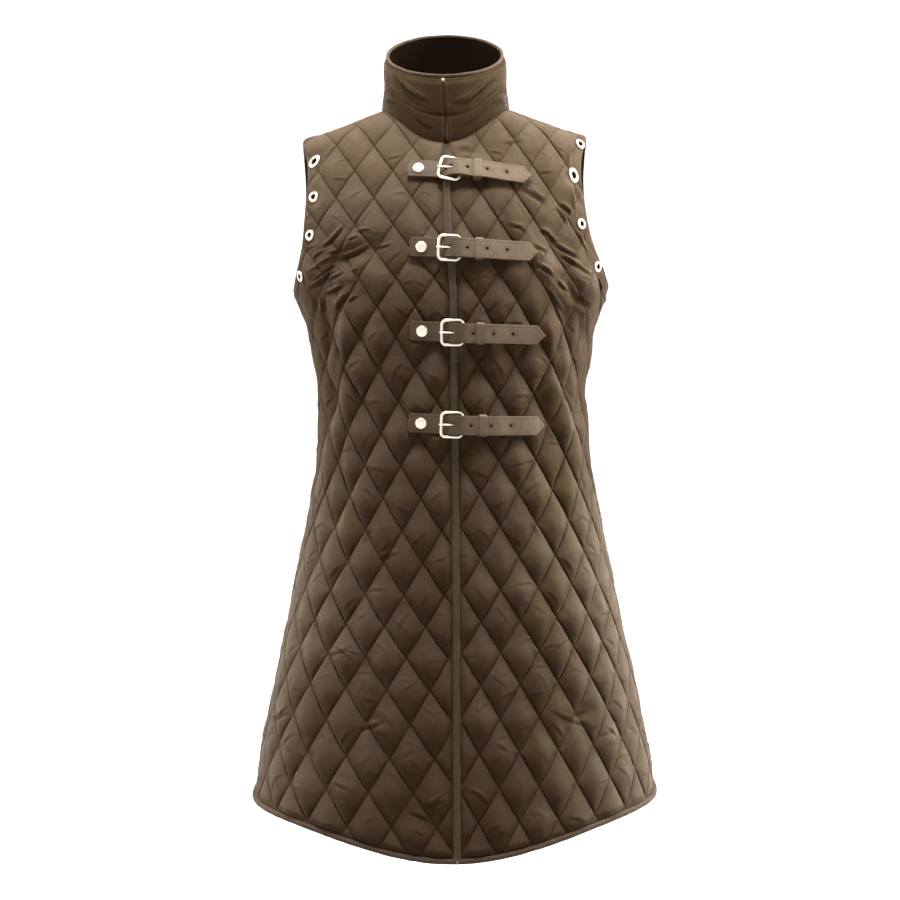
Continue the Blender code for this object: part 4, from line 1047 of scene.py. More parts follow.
@dataclass(frozen=True)
class Cut:
    """The flat size that a piece of cloth was cut to, in metres and square metres."""

    width: float
    length: float
    area: float

    def declare(self, item: Piece, held: str, rests_on: Sequence[str] = (),
                with_pieces: Sequence[Piece] = ()) -> None:
        """Does nothing: the cut is not recorded."""


def cut_size(loop: Array) -> Cut:
    """Size of the cut inside a plane outline in millimetres."""
    width, length = np.ptp(loop, axis=0) * MM
    return Cut(float(width), float(length), abs(turning(loop)) * MM * MM)


def double_cut(item: Piece, count: int) -> Cut:
    """Size of the cloth in a closed sweep: half round its section of count points, and its length.

    Args:
        item: The piece.
        count: Points in its section.

    Returns:
        The cut.
    """
    points = np.zeros(3 * len(item.data.vertices))
    item.data.vertices.foreach_get("co", points)
    stations = points.reshape(-1, count, 3)
    around = np.linalg.norm(np.diff(stations, axis=1, append=stations[:, :1]), axis=2)
    along = np.linalg.norm(np.diff(stations, axis=0), axis=2)
    width, length = 0.5 * float(around.sum(axis=1).mean()), float(along.sum(axis=0).mean())
    return Cut(width, length, width * length)


# height of each eyelet's level, from the top one down
EYELETS: dict[Half, dict[str, tuple[float, tuple[float, ...]]]] = {
    Half.RIGHT_FRONT: {"right_front": (-1.0, (-63.0, -104.0, -148.0, -196.0))},
    Half.LEFT_FRONT: {"left_front": (1.0, (-46.5, -83.0, -139.0, -189.0))},
    Half.BACK: {"right_back": (-1.0, (-63.0, -104.0, -148.0, -190.0)),
                "left_back": (1.0, (-58.0, -95.0, -138.0, -186.0))}}

# x, z to x, z, half width and rise of the sharper folds
TUCKS: dict[Half, Table] = {
    Half.RIGHT_FRONT: (
        (-143, -162, -117, -138, 2.3, 1.9), (-166, -165, -154, -160.5, 2, 1.2),
        (-157, -174.5, -143, -165.5, 1.8, 1.3), (-162, -189.5, -133, -171.5, 2.2, 1.25),
        (-161, -201.5, -133, -180.5, 1.7, 1.1), (-166, -210.5, -137, -189.5, 2.4, 2.3),
        (-143, -199, -123, -189.5, 1.9, 1.3), (-146, -215.5, -125, -205.5, 2.4, 2.2),
        (-128, -174.5, -90, -160.5, 2.5, 2.1), (-137, -168.5, -126, -164.5, 1.8, 1.1),
        (-115, -189.5, -104, -185.5, 1.8, 1.1), (-115, -153.5, -101, -148.5, 1.9, 1),
        (-132, -233, -120, -215, 4.2, 2.4), (-118, -224, -108, -217, 2.2, 1.3),
        (-148, -219, -151, -241, 2.6, -1.6), (-160, -219, -159, -243, 2.4, -1.5),
        (-104, -144, -85, -142, 2.2, 1.1), (-83, -163, -63, -159, 2.4, 0.9),
        (-144, -234, -150, -307, 5.4, -2.2), (-129, -225, -137, -335, 5.4, -1.8),
        (-157, -242, -165, -346, 4.8, -1.8), (-140, -315, -147, -421, 6, -1.4),
        (-157, -365, -166, -460, 6, -1.4), (-221, -724, -194, -705, 3.2, 1),
        (-110, -715, -82, -704, 3.2, 1.2), (-96, -698, -73, -711, 3.6, -1),
        (-145, -632, -118, -621, 3.2, 0.9), (-51, -807, -28, -818, 3.2, 1.3),
        (-36, -798, -12, -793, 3.2, 1), (-182, -740, -160, -754, 3.6, -0.9),
        (-141, -777, -120, -784, 3.2, 0.9), (-90, -519, -61, -509, 3.2, 0.8),
    ),
    Half.LEFT_FRONT: (
        (91, -97, 115, -113, 3.7, 1.8), (133, -115, 146, -128, 2.7, 2), (129, -119, 140, -138, 2.6, 1.3),
        (108, -145, 118, -149, 2.6, 1.9), (116, -149, 127, -159, 2.7, 1.7),
        (124, -160, 151, -178, 2.9, 1.7), (132, -174, 151, -189, 2.8, 2), (149, -187, 162, -198, 2.4, 1.2),
        (94, -162, 116, -170, 2.7, 1.2), (123, -203, 135, -216, 2.5, 1.6),
        (135, -204, 140, -222, 2.9, -1.6), (139, -220, 160, -239, 3.2, -1.9),
        (109, -210, 129, -240, 3, 1.3), (117, -229, 128, -252, 2.8, 1), (145, -90, 161, -123, 2.4, -1),
        (159, -153, 172, -180, 2.2, -0.9), (70, -137, 93, -147, 2.8, 0.9), (102, -184, 119, -198, 2.8, 1.2),
        (148, -238, 158, -284, 3.6, -1.3), (114, -244, 129, -322, 6, -1.8),
        (150, -246, 162, -346, 5.4, -1.8), (99, -182, 114, -194, 3.2, 0.9), (117, -297, 142, -352, 6, -1.6),
        (68, -46, 91, -42, 3.2, 0.9), (14, -54, 33, -53, 3.1, -2.2), (111, -697, 156, -719, 3.2, 0.9),
        (130, -711, 154, -703, 3.1, -1.3), (168, -731, 193, -729, 3.2, 0.6), (10, -782, 34, -789, 3.2, 0.6),
        (20, -416, 45, -430, 3.2, 0.6), (159, -576, 179, -603, 3.6, -0.9), (51, -680, 74, -669, 3.2, 0.5),
        (180, -762, 208, -761, 3.2, 0.6),
    ),
    Half.BACK: (),
}


@dataclass
class QuiltedPanel:
    """One quilted panel: an outer skin raised between its lines over a plain inner skin."""

    form: BodyForm
    half: Half
    straps: Table
    cloth: Cloth = Cloth()
    edge_binding_half: float = 3.2
    closing_edge_x: float = 2.3
    outline_step: float = 2.3
    lining_step: float = 9.0
    puff: float = 6.6
    cross_shallow: float = 0.12
    chest_shallow: float = 0.36
    sag: float = 0.22
    warp: float = 0.34
    seam_fade: float = 9.0
    arm_fade: float = 7.0
    hole: float = 4.3
    pad: float = 8.6
    pad_fade: float = 17.6
    inset: float = 13.5
    pad_rings: Table = ((5.4, 28), (6.9, 24), (8.7, 24), (11.0, 24))
    edge_offsets: tuple[float, ...] = (0.5, 1.2, 2.2, 3.6)
    edge_clear: float = 4.2
    pad_clear: float = 12.0
    lining_pad_clear: float = 8.0
    edge_roll: float = 2.4
    shoulder_lift: float = 3.2
    shoulder_reach: float = 12.0
    strap_room: float = 4.1
    strap_half: float = 11.5
    overlap: float = 0.12
    # Widths of the strip along the armhole's edge that takes the near-black lining as painted shade.
    painted_shade_front_edge: float = 2.6
    painted_shade_back_edge: float = 4.4
    front_divisions: int = 24
    back_divisions: int = 16

    def __post_init__(self) -> None:
        """Lay out the quilting and the sharper folds."""
        self.quilt = Quilt(self.form, self.half)
        self.divisions = self.front_divisions if self.half.is_front else self.back_divisions
        self.facing = -1.0 if self.half.is_front else 1.0
        self.tucks = [Fold(*row) for row in TUCKS[self.half]]
        self.pads: list[tuple[str, Array, Array]] = []
        self.cut = Cut(0.0, 0.0, 0.0)

    def _half_runs(self, side: float) -> dict[str, Array]:
        """Runs of (x, z, depth) round half of the panel, in order.

        Args:
            side: Side of the body.

        Returns:
            The runs by name.
        """
        form, front = self.form, self.half.is_front
        start = 0.0
        if front:
            start = self.edge_binding_half + self.cloth.gap + side * self.closing_edge_x
        runs: dict[str, Array] = {}
        if front:
            z = np.linspace(float(form.hem_level(np.array(start), True)), form.neck_level(start, True), 260)
            x = np.full(len(z), start)
            runs["closing"] = np.stack((x, z, form.ring_depth(x, z, True)), axis=1)
        turns = np.linspace(0.0, 0.5 * math.pi, 70)
        x, depth, z = form.neck_point(turns if front else math.pi - turns)
        keep = x > start + 1.0 if front else x >= 0.0
        neck = np.stack((x, z, depth), axis=1)[keep]
        if front:
            corner = runs["closing"][-1]
            neck = np.concatenate((corner[None], neck))
        runs["neck"] = neck
        x = np.linspace(form.neck_half_width, form.shoulder_tip, 50)
        runs["shoulder"] = np.stack((x, form.ridge_level(x), np.zeros(len(x))), axis=1)
        x, z, depth = form.armhole(front)
        runs["arm"] = np.stack((x, z, depth), axis=1)
        z = np.linspace(z[-1], form.hem_side_z, 280)
        runs["side"] = np.stack((form.half_width(z), z, np.zeros(len(z))), axis=1)
        x, level, depth = form.hem_ring(160, front)
        hem = np.stack((x, level, depth), axis=1)[x > start + 1e-6]
        level = float(form.hem_level(np.array(start), front))
        last = (start, level, float(form.ring_depth(np.array(start), np.array(level), front)))
        runs["hem"] = np.concatenate((hem, np.array(last)[None]))
        return runs

    def outline(self) -> tuple[Array, list[str]]:
        """Closed outline in the cutting plane and the run each of its points is on.

        Returns:
            The points and the name of the run of each.
        """
        halves = []
        for side in ([self.half.side] if self.half.is_front else [1.0, -1.0]):
            points, tags = [], []
            for tag, run in self._half_runs(side).items():
                line = self.quilt.plan(side * run[:, 0], run[:, 1], run[:, 2])
                line = resampled(line, self.outline_step)
                last = not self.half.is_front and tag == "hem"
                points.append(line if last else line[:-1])
                tags += [tag] * len(points[-1])
            halves.append((np.concatenate(points), tags))
        if self.half.is_front:
            return halves[0]
        (right, right_tags), (left, left_tags) = halves
        return (np.concatenate((right, left[::-1][1:-1])), right_tags + left_tags[::-1][1:-1])

    def _lay_pads(self) -> list[Array]:
        """Work out the eyelets' places and the rings of points round them.

        Returns:
            The holes in the plane.
        """
        form, front = self.form, self.half.is_front
        loops: list[Array] = []
        rings: list[Array] = []
        for name, (side, levels) in EYELETS[self.half].items():
            _, edge_z, edge_depth = form.armhole(front)
            for order, level in enumerate(levels):
                at_depth = np.interp(-level, -edge_z, edge_depth)
                xs, ys, _, arc = form.quarter(np.array([level]), front)
                spot = np.interp(-at_depth, -ys[0], arc[0]) - self.inset
                x, depth = np.interp(spot, arc[0], xs[0]), np.interp(spot, arc[0], ys[0])
                place, normal = form.surface(np.array([side * x]), np.array([level]),
                                             np.array([depth]), front)
                place, normal = place[0], normal[0]
                across = unit(np.array([-normal[1], normal[0], 0.0]))
                upright = unit(np.cross(normal, across))
                self.pads.append((f"eyelet_{name}_{order + 1}", place, normal))
                for radius, steps in ((self.hole, 28), *self.pad_rings):
                    ring = disc(radius, steps)
                    spots = place + ring[:, :1] * across + ring[:, 1:] * upright
                    local = spots[:, 0] - np.interp(spots[:, 2], *form.sway)
                    share = np.abs(local) / form.half_width(spots[:, 2])
                    local = np.where(share > 0.999, np.sign(local) * 0.999
                                     * form.half_width(spots[:, 2]), local)
                    plan = self.quilt.plan(local, spots[:, 2], form.ring_depth(local, spots[:, 2], front))
                    (loops if radius == self.hole else rings).append(plan)
        self._pad_rings = np.concatenate(rings)
        return loops

    def _lattice(self, loop: Array) -> Array:
        """Plane points in rows along the quilting lines, closest beside the lines.

        Args:
            loop: The panel's outline in the plane.

        Returns:
            The points.
        """
        rising, falling = self.quilt.numbers(loop)
        steps = np.arange(self.divisions) / self.divisions
        steps = steps - self.warp * np.sin(2.0 * math.pi * steps) / (2.0 * math.pi)
        first = (np.arange(math.floor(rising.min()), math.ceil(rising.max()) + 1)[:, None] + steps).ravel()
        second = (np.arange(math.floor(falling.min()), math.ceil(falling.max()) + 1)[:, None]
                  + steps).ravel()
        r, f = np.meshgrid(first, second, indexing="ij")
        r, f = r.ravel(), f.ravel()
        points = np.stack(((r + f) * Quilt.column_width, (r - f) * Quilt.row_height), axis=1)
        low, high = loop.min(axis=0), loop.max(axis=0)
        points = points[np.all((points > low) & (points < high), axis=1)]
        return points[inside(points, loop)]

    def _coarse(self, loop: Array) -> Array:
        """Plane points of the plain inner skin.

        Args:
            loop: The panel's outline in the plane.

        Returns:
            The points.
        """
        low, high = loop.min(axis=0), loop.max(axis=0)
        x, y = np.meshgrid(np.arange(low[0], high[0], self.lining_step),
                           np.arange(low[1], high[1], self.lining_step))
        y[:, ::2] += 0.5 * self.lining_step
        points = np.stack((x.ravel(), y.ravel()), axis=1)
        points = points[inside(points, loop)]
        return points[nearest(points, loop)[0] > 0.5 * self.lining_step]

    def _height(self, plan: Array, place: Array, x: Array, z: Array, away: dict[str, Array]) -> Array:
        """Height of the outer skin off the form.

        Args:
            plan: Plane points.
            place: Their points on the form.
            x: Their unswayed x.
            z: Their heights.
            away: Distances from the seams, from the armhole's edge and from the nearest eyelet.

        Returns:
            The heights along the normal.
        """
        r, f = self.quilt.numbers(plan)
        sine_r, sine_f = np.abs(np.sin(math.pi * r)), np.abs(np.sin(math.pi * f))
        cell = np.stack((np.floor(r), np.floor(f), np.zeros(len(r))), axis=1)
        rise = (r - cell[:, 0]) - (f - cell[:, 1])
        deep, shallow = (sine_f, sine_r) if self.half is Half.RIGHT_FRONT else (sine_r, sine_f)
        crossed = self.cross_shallow * (0.3 if self.half is Half.LEFT_FRONT else 1.0)
        crossed = crossed + self.chest_shallow * (1.0 - ramp(100.0, 330.0, -z))
        dome = deep * (crossed + (1.0 - crossed) * shallow)
        puff = (0.45 * dome ** 0.42 + 0.55 * dome) * (1.0 - self.sag * rise)
        puff *= (0.84 + 0.32 * hashed(cell, 3)) * (0.34 + 0.66 * ramp(50.0, 300.0, -z))
        calm = np.max([tuck.calm(x, z) for tuck in self.tucks] or [np.zeros(len(x))], axis=0)
        puff *= 1.0 - 0.8 * calm
        puff *= 1.0 - 0.7 * ramp(0.74, 1.0, np.abs(x) / self.form.half_width(z))
        from_r = np.arcsin(np.minimum(1.0, sine_r)) / math.pi * Quilt.line_spacing
        from_f = np.arcsin(np.minimum(1.0, sine_f)) / math.pi * Quilt.line_spacing
        along_r = np.stack((f * Quilt.diamond_side, np.round(r) * 57.0, r * 6.0), axis=1)
        along_f = np.stack((r * Quilt.diamond_side, np.round(f) * 57.0 + 31.0, f * 6.0), axis=1)
        crossing = 1.0 + 1.3 * np.exp(-np.hypot(from_r, from_f) / 7.0)
        pucker = noise(along_r, 7.0, 5) * np.exp(-from_r / 6.5)
        pucker += noise(along_f, 7.0, 9) * np.exp(-from_f / 6.5)
        nearer = np.minimum(from_r, from_f)
        uneven = 0.55 * noise(place, 34.0, 2) + 0.3 * noise(place, 13.0, 7)
        height = self.puff * puff + self._wrinkles(plan, cell) * ramp(1.0, 6.0, nearer)
        height += (0.85 * pucker * crossing + uneven) * ramp(0.0, 3.0, nearer)
        height -= 0.5 * np.exp(-((nearer / 1.3) ** 2))
        tucks = sum((tuck.sharp(x, z) for tuck in self.tucks), np.zeros(len(x)))
        height *= 0.1 + 0.9 * ramp(0.0, self.seam_fade, away["seam"])
        height *= 0.3 + 0.7 * ramp(2.0, self.arm_fade + 5.0, away["arm"])
        if self.half is Half.LEFT_FRONT:
            inner = ramp(6.0, 14.0, away["seam"])
            height = height * (0.35 + 0.65 * ramp(9.0, 20.0, away["arm"]))
            height += 1.3 * np.exp(-((away["arm"] - 19.0) / 2.2) ** 2) * inner
            height -= 1.0 * np.exp(-((away["arm"] - 15.0) / 1.8) ** 2) * inner
        height += tucks * ramp(1.0, 8.0, np.minimum(away["seam"], away["arm"]))
        height *= ramp(self.pad - 1.5, self.pad_fade, away["pad"])
        tip = np.hypot(np.abs(place[:, 0]) - self.form.shoulder_tip,
                       place[:, 2] - float(self.form.ridge_level(np.array(self.form.shoulder_tip))))
        to_tip = np.hypot(tip, place[:, 1]) / self.shoulder_reach
        height += self.shoulder_lift * np.exp(-(to_tip ** 2))
        height += 0.5 * (1.0 - ramp(0.0, 12.0, away["seam"])) * noise(place, 9.0, 21)
        roll = self.edge_roll
        held = np.clip(roll - away["arm"], 0.0, roll)
        height -= (roll - np.sqrt(roll * roll - held * held)) * 0.8
        for row in self.straps if self.half.is_front else ():
            z_strap, first, last = row[0], row[1], row[6]
            beside = np.abs(z - z_strap - StrapLine.slope * x)
            past = np.maximum(first - x, x - last)
            room = self.strap_room + 5.0 * ramp(0.0, 9.0, np.maximum(beside - self.strap_half, past))
            height = np.minimum(height, room)
        return np.maximum(height, -1.6) - self.cloth.sink

    def _light_and_dye(self, plan: Array, place: Array, z: Array) -> Array:
        """Painted light and shade, mixed with uneven dye: lighter on the shoulders, toward the top of each
        diamond and at the skirt's sides.

        Args:
            plan: Plane points.
            place: Their points on the form.
            z: Their heights.

        Returns:
            Shares from 0 to 1.
        """
        r, f = self.quilt.numbers(plan)
        rise = (r - np.floor(r)) - (f - np.floor(f))
        cell = np.stack((np.floor(r), np.floor(f), np.zeros(len(r))), axis=1)
        # The rise term paints light on the upper part of each diamond and shade on its lower part; the hashed
        # and noise terms are uneven dye.
        spread = 0.5 + 0.34 * rise + 0.22 * (hashed(cell, 61) - 0.5) + 0.16 * noise(place, 60.0, 33)
        share = np.abs(place[:, 0]) / self.form.half_width(z)
        skirt = ramp(-420.0, -620.0, z)
        leftward = ramp(-40.0, 60.0, place[:, 0])
        # Painted light on the shoulders, painted shade at the waist's sides, and on the skirt painted light
        # at the sides and painted shade in the middle.
        spread += (0.22 - 0.16 * leftward) * ramp(-230.0, -40.0, z)
        spread -= 0.36 * np.exp(-((z + 375.0) / 100.0) ** 2) * ramp(0.3, 0.8, share)
        spread += skirt * ((0.3 + 0.25 * leftward) * ramp(0.6, 0.95, share)
                           - (0.22 - 0.12 * leftward) * (1.0 - ramp(0.0, 0.5, share)))
        return np.clip(spread, 0.0, 1.0)

    @staticmethod
    def _wrinkles(plan: Array, cell: Array) -> Array:
        """Small slanting wrinkles, three in each diamond, most of them faint.

        Args:
            plan: Plane points.
            cell: The diamond of each.

        Returns:
            The heights.
        """
        centre = cell[:, :2] + 0.5
        middle = np.stack(((centre[:, 0] + centre[:, 1]) * Quilt.column_width,
                           (centre[:, 0] - centre[:, 1]) * Quilt.row_height), axis=1)
        total = np.zeros(len(plan))
        for order in range(3):
            pick = [hashed(cell, 40 + 7 * order + k) for k in range(5)]
            offset = plan - middle - np.stack(((pick[0] - 0.5) * 22.0, (pick[1] - 0.5) * 38.0), axis=1)
            turn = (pick[2] - 0.5) * 2.2
            along = offset[:, 0] * np.cos(turn) + offset[:, 1] * np.sin(turn)
            across = offset[:, 1] * np.cos(turn) - offset[:, 0] * np.sin(turn) + 0.012 * along ** 2
            reach = np.exp(-((along / (5.0 + 9.0 * pick[3])) ** 2) ** 1.5)
            ridge = np.exp(-((across - 1.3) / 1.7) ** 2) - np.exp(-((across + 1.3) / 1.6) ** 2)
            total += 1.15 * pick[4] ** 2 * reach * ridge
        return total

    def _along_tucks(self, loop: Array) -> Array:
        """Plane points along the sharper folds.

        Args:
            loop: The panel's outline in the plane.

        Returns:
            The points.
        """
        spots = np.concatenate([tuck.rows() for tuck in self.tucks])
        x, z = spots[:, 0], spots[:, 1]
        reach = 0.995 * self.form.half_width(z)
        x = np.clip(x, -reach, reach)
        plan = self.quilt.plan(x, z, self.form.ring_depth(x, z, self.half.is_front))
        kept = inside(plan, loop) & (nearest(plan, loop)[0] > self.edge_clear)
        plan = plan[kept]
        first = np.ones(len(plan), bool)
        tree = tree_of(plan)
        for index, (across, up) in enumerate(plan):
            if first[index]:
                for _, other, _ in tree.find_range((across, up, 0.0), 0.7):
                    if other > index:
                        first[other] = False
        return plan[first]

    def _deep(self, place: Array, border: Array, tags: list[str], pads: Array) -> dict[str, Array]:
        """Distances on the form from the seams, the armhole's edge and the eyelets.

        Args:
            place: Points on the form.
            border: The outline's points on it.
            tags: The run of each of those.
            pads: The eyelets' places.

        Returns:
            The distances by name.
        """
        arm = np.array([tag == "arm" for tag in tags])
        return {"seam": nearest(place, border[~arm])[0], "arm": nearest(place, border[arm])[0],
                "pad": away_from(place, pads)}

    def build(self) -> Piece:
        """Make the panel's mesh.

        Returns:
            The piece.
        """
        loop, tags = self.outline()
        self.cut = cut_size(loop)
        direction = 1.0 if turning(loop) > 0.0 else -1.0
        holes = self._lay_pads()
        rows = edge_rows(loop, [direction * offset for offset in self.edge_offsets])
        lattice = self._lattice(loop)
        lattice = lattice[nearest(lattice, loop)[0] > self.edge_clear]
        if self.tucks:
            along = self._along_tucks(loop)
            lattice = np.concatenate((lattice[nearest(lattice, along)[0] > 1.0], along))
        centres = [hole.mean(axis=0) for hole in holes]
        lattice = lattice[away_from(lattice, centres) > self.pad_clear]
        near_edge = nearest(self._pad_rings, loop)[0]
        pad_rings = self._pad_rings[near_edge > self.edge_clear]
        outer = flat_skin([loop, *holes], np.concatenate((rows, lattice, pad_rings)))
        coarse = self._coarse(loop)
        coarse = coarse[away_from(coarse, centres) > self.lining_pad_clear]
        inner = flat_skin([loop, *holes], coarse)
        x, z, depth = self.quilt.locate(outer.plan)
        place, normal = self.form.surface(x, z, depth, self.half.is_front)
        border, place_out = place[outer.borders[0]], place
        away = self._deep(place, border, tags, np.array([pad[1] for pad in self.pads]))
        height = self._height(outer.plan, place, x, z, away)
        parting = np.array([0.0, -self.overlap * self.facing, 0.0])
        outside = place + normal * height[:, None] + parting
        # Painted light and shade, with uneven dye, on the outer skin; none on the inner skin.
        light_and_dye = np.concatenate((self._light_and_dye(outer.plan, place, z), np.zeros(len(inner.plan))))
        x, z, depth = self.quilt.locate(inner.plan)
        place, normal = self.form.surface(x, z, depth, self.half.is_front)
        within = place - normal * self.cloth.inside + parting
        item = mesh_object(self.half.piece, np.concatenate((outside, within)), walled(outer, inner), 62.0)
        mirrored = np.array([-1.0 if self.half is Half.RIGHT_FRONT else 1.0, 1.0])
        store_cut(item, np.concatenate((outer.plan, inner.plan)) * mirrored)
        inner_far = np.full(len(inner.plan), 60.0)
        for name in ("seam", "arm", "pad"):
            store(item, name, np.concatenate((away[name], inner_far)) * MM)
        store(item, "light_and_dye", light_and_dye)
        within = np.arange(len(item.data.vertices)) >= len(outer.plan)
        # Faces near the armhole's edge take the near-black lining as painted shade, widest on the wearer's
        # left and low in the armhole.
        leftward, lower = place_out[:, 0] > 0.0, ramp(-60.0, -150.0, place_out[:, 2])
        turned = self.painted_shade_front_edge * lower
        if self.half is Half.BACK:
            turned = self.painted_shade_back_edge * np.where(leftward, 1.0, lower)
        turned = np.where(leftward & (place_out[:, 2] < -190.0), self.painted_shade_back_edge, turned)
        within[np.flatnonzero(away["arm"] < turned)] = True
        line_inside(item, within)
        return item

    def make(self, finishes: Finishes) -> list[Piece]:
        """Build and dress the panel with its eyelets.

        Args:
            finishes: The coat's finishes.

        Returns:
            The pieces.
        """
        item = finishes.cloth.cover(self.build(), self.half.value, finishes.lining)
        rings = [finishes.metal.cover(EyeletRing(name, place, normal, self.facing).build(), name)
                 for name, place, normal in self.pads]
        self.cut.declare(item, "hung", [Half.BACK.piece] if self.half.is_front else [], rings)
        return [item, *rings]


# ---------------------------------------------------------------- collar and bindings

@dataclass
class Collar:
    """Stand collar: its place round the neck, its wall, its rim's binding and its hook."""

    form: BodyForm
    cloth: Cloth = Cloth()
    wall: float = 4.6
    stand: float = 0.6
    rim_half_width: float = 72.5
    rim_depth: float = 60.5
    rim_front_z: float = 31.0
    rim_slope: float = 0.42
    rim_height: float = 3.6
    rim_lift: float = 1.3
    slit: float = 0.6
    slit_at_foot: float = 2.2
    slit_at_rim: float = -3.0
    slit_lean: float = 30.0
    closing_edge_x: float = 2.3
    stations: int = 300
    round_radius: float = 74.0
    tall: float = 78.0
    fold_line: float = 160.0
    crease_height: float = 0.385
    inner_rows: tuple[float, ...] = (1.0, 0.97, 0.85, 0.7, 0.55, 0.4, 0.27, 0.14, 0.0)
    rim_inset: float = 2.3
    rim_half_thick: float = 1.75
    rim_corner: float = 1.5
    hook_height: float = 0.955
    hook_bend: float = 1.1
    hook_wire: float = 0.55

    # share of the height, share of the way to the rim's oval, sink of the outer face
    face_rows: Table = (
        (0.00, 0.00, 0.0), (0.12, 0.24, 0.2), (0.27, 0.58, 0.4), (0.34, 0.72, 1.0), (0.385, 0.81, 2.6),
        (0.43, 0.87, 1.0), (0.52, 0.94, 0.1), (0.72, 1.00, -0.3), (0.88, 1.00, 0.0), (0.94, 1.00, 1.6),
        (0.965, 1.00, 3.4), (1.00, 1.00, 3.6),
    )

    # turn and height to turn and height, half width in mm, rise
    wrinkle_rows: Table = (
        (-0.86, 0.80, -0.30, 0.58, 3.6, 2.6), (-0.70, 0.62, -0.34, 0.50, 3.2, 1.6),
        (0.16, 0.56, 0.72, 0.74, 3.6, 2.4), (0.42, 0.72, 0.98, 0.80, 3.4, 1.5),
        (0.56, 0.50, 0.98, 0.60, 3.6, 1.4), (-1.10, 0.55, -0.84, 0.47, 3.6, 1.2),
        (-0.56, 0.27, -0.20, 0.15, 4, 1.3), (0.28, 0.18, 0.66, 0.30, 4, 1.3),
        (0.86, 0.26, 1.20, 0.20, 4, 1), (-1.25, 0.20, -0.86, 0.28, 4, 1), (1.6, 0.7, 2.1, 0.6, 4.5, 1.4),
        (2.5, 0.5, 2.95, 0.66, 4.5, 1.4), (-2.2, 0.62, -1.7, 0.72, 4.5, 1.4),
        (-2.9, 0.6, -2.45, 0.5, 4.5, 1.3),
    )

    def __post_init__(self) -> None:
        """Smooth the rows."""
        table = np.array(self.face_rows)
        self.toward = smooth_curve(table[:, 0] * 100.0, table[:, 1], 2.0, 0.5)
        self.sink = smooth_curve(table[:, 0] * 100.0, table[:, 2], 1.2, 0.5)

    def place(self, angle: Array, height: Array, toward: Array) -> tuple[Array, Array]:
        """Points of the collar's outer form and their level outward directions.

        Args:
            angle: Turns from the middle of the front, towards the wearer's left.
            height: Shares of the collar's height.
            toward: Shares of the way to the rim's oval.

        Returns:
            The points and the directions.
        """
        angle, height, toward = np.broadcast_arrays(angle, height, toward)
        facing = np.where(np.cos(angle) >= 0.0, -1.0, 1.0)
        base_x, base_depth, base_z = self.form.neck_point(angle)
        rim_depth = self.rim_depth * np.abs(np.cos(angle))
        rim_x = self.rim_half_width * np.abs(np.sin(angle))
        rim_z = self.rim_front_z + self.rim_slope * (self.rim_depth + facing * rim_depth)
        x = base_x + (rim_x - base_x) * toward
        y = facing * (base_depth + (rim_depth - base_depth) * toward)
        side = np.sign(np.sin(angle))
        slit = self.closing_edge_x + (self.slit_at_rim - self.closing_edge_x) * height
        near = np.where(facing < 0.0, np.maximum(0.0, 1.0 - x / self.slit_lean), 0.0)
        z = base_z + (rim_z - base_z) * height
        out = unit(np.stack((side * x / self.rim_half_width ** 2, y / self.rim_depth ** 2,
                             np.zeros(x.shape)), axis=-1))
        return np.stack((side * x + slit * near, y, z), axis=-1), out

    def foot(self, angle: Array) -> tuple[Array, Array]:
        """Outer and inner points of the foot, a gap away from the panels' neck edge.

        Args:
            angle: Turns from the middle of the front.

        Returns:
            The outer and the inner points.
        """
        x, depth, z = self.form.neck_point(angle)
        side = np.where(np.sin(angle) >= 0.0, 1.0, -1.0)
        front = np.cos(angle) >= 0.0
        at_front = self.form.surface(side * x, z, depth, True)
        at_back = self.form.surface(side * x, z, depth, False)
        point = np.where(front[:, None], at_front[0], at_back[0])
        normal = np.where(front[:, None], at_front[1], at_back[1])
        ahead = self.place(angle + 0.01, 0.0, 0.0)[0] - self.place(angle - 0.01, 0.0, 0.0)[0]
        inward = unit(np.cross(normal, ahead))
        outward = inward[:, 0] * point[:, 0] + inward[:, 1] * point[:, 1] > 0.0
        inward = np.where(outward[:, None], -inward, inward)
        base = point + inward * self.cloth.gap * 1.3
        return base - normal * self.cloth.sink, base - normal * self.cloth.inside

    def turns(self, height: float) -> Array:
        """Stations from one edge of the slit round to the other, wider apart at the foot.

        Args:
            height: Share of the collar's height.

        Returns:
            The turns.
        """
        width = self.slit + (self.slit_at_foot - self.slit) * (1.0 - ramp(0.2, 0.6, height))
        slit = 0.5 * width / self.form.neck_half_width
        return np.linspace(slit, 2.0 * math.pi - slit, self.stations)

    def _unrolled(self, angle: Array, height: float) -> Array:
        """Places on a plain round tube, where the noise is read."""
        across, into = np.cos(angle) * self.round_radius, np.sin(angle) * self.round_radius
        return np.stack((across, into, np.full(len(angle), height)), axis=1)

    def _laid_flat(self, angle: Array, level: float) -> Array:
        """Plane places of one row of the cut cloth."""
        return np.stack((angle * self.round_radius, np.full(len(angle), level)), axis=1)

    def _wrinkles(self, angle: Array, height: Array) -> Array:
        """Rise of the listed wrinkles on the outer face.

        Args:
            angle: Turns from the middle of the front.
            height: Shares of the collar's height.

        Returns:
            The rises.
        """
        signed = np.where(angle > math.pi, angle - 2.0 * math.pi, angle)
        total = np.zeros(angle.shape)
        for a0, h0, a1, h1, width, rise in self.wrinkle_rows:
            ends = (a0 * self.round_radius, h0 * self.tall, a1 * self.round_radius, h1 * self.tall)
            fold = Fold(*ends, width, rise)
            total += fold.sharp(signed * self.round_radius, height * self.tall)
        return total

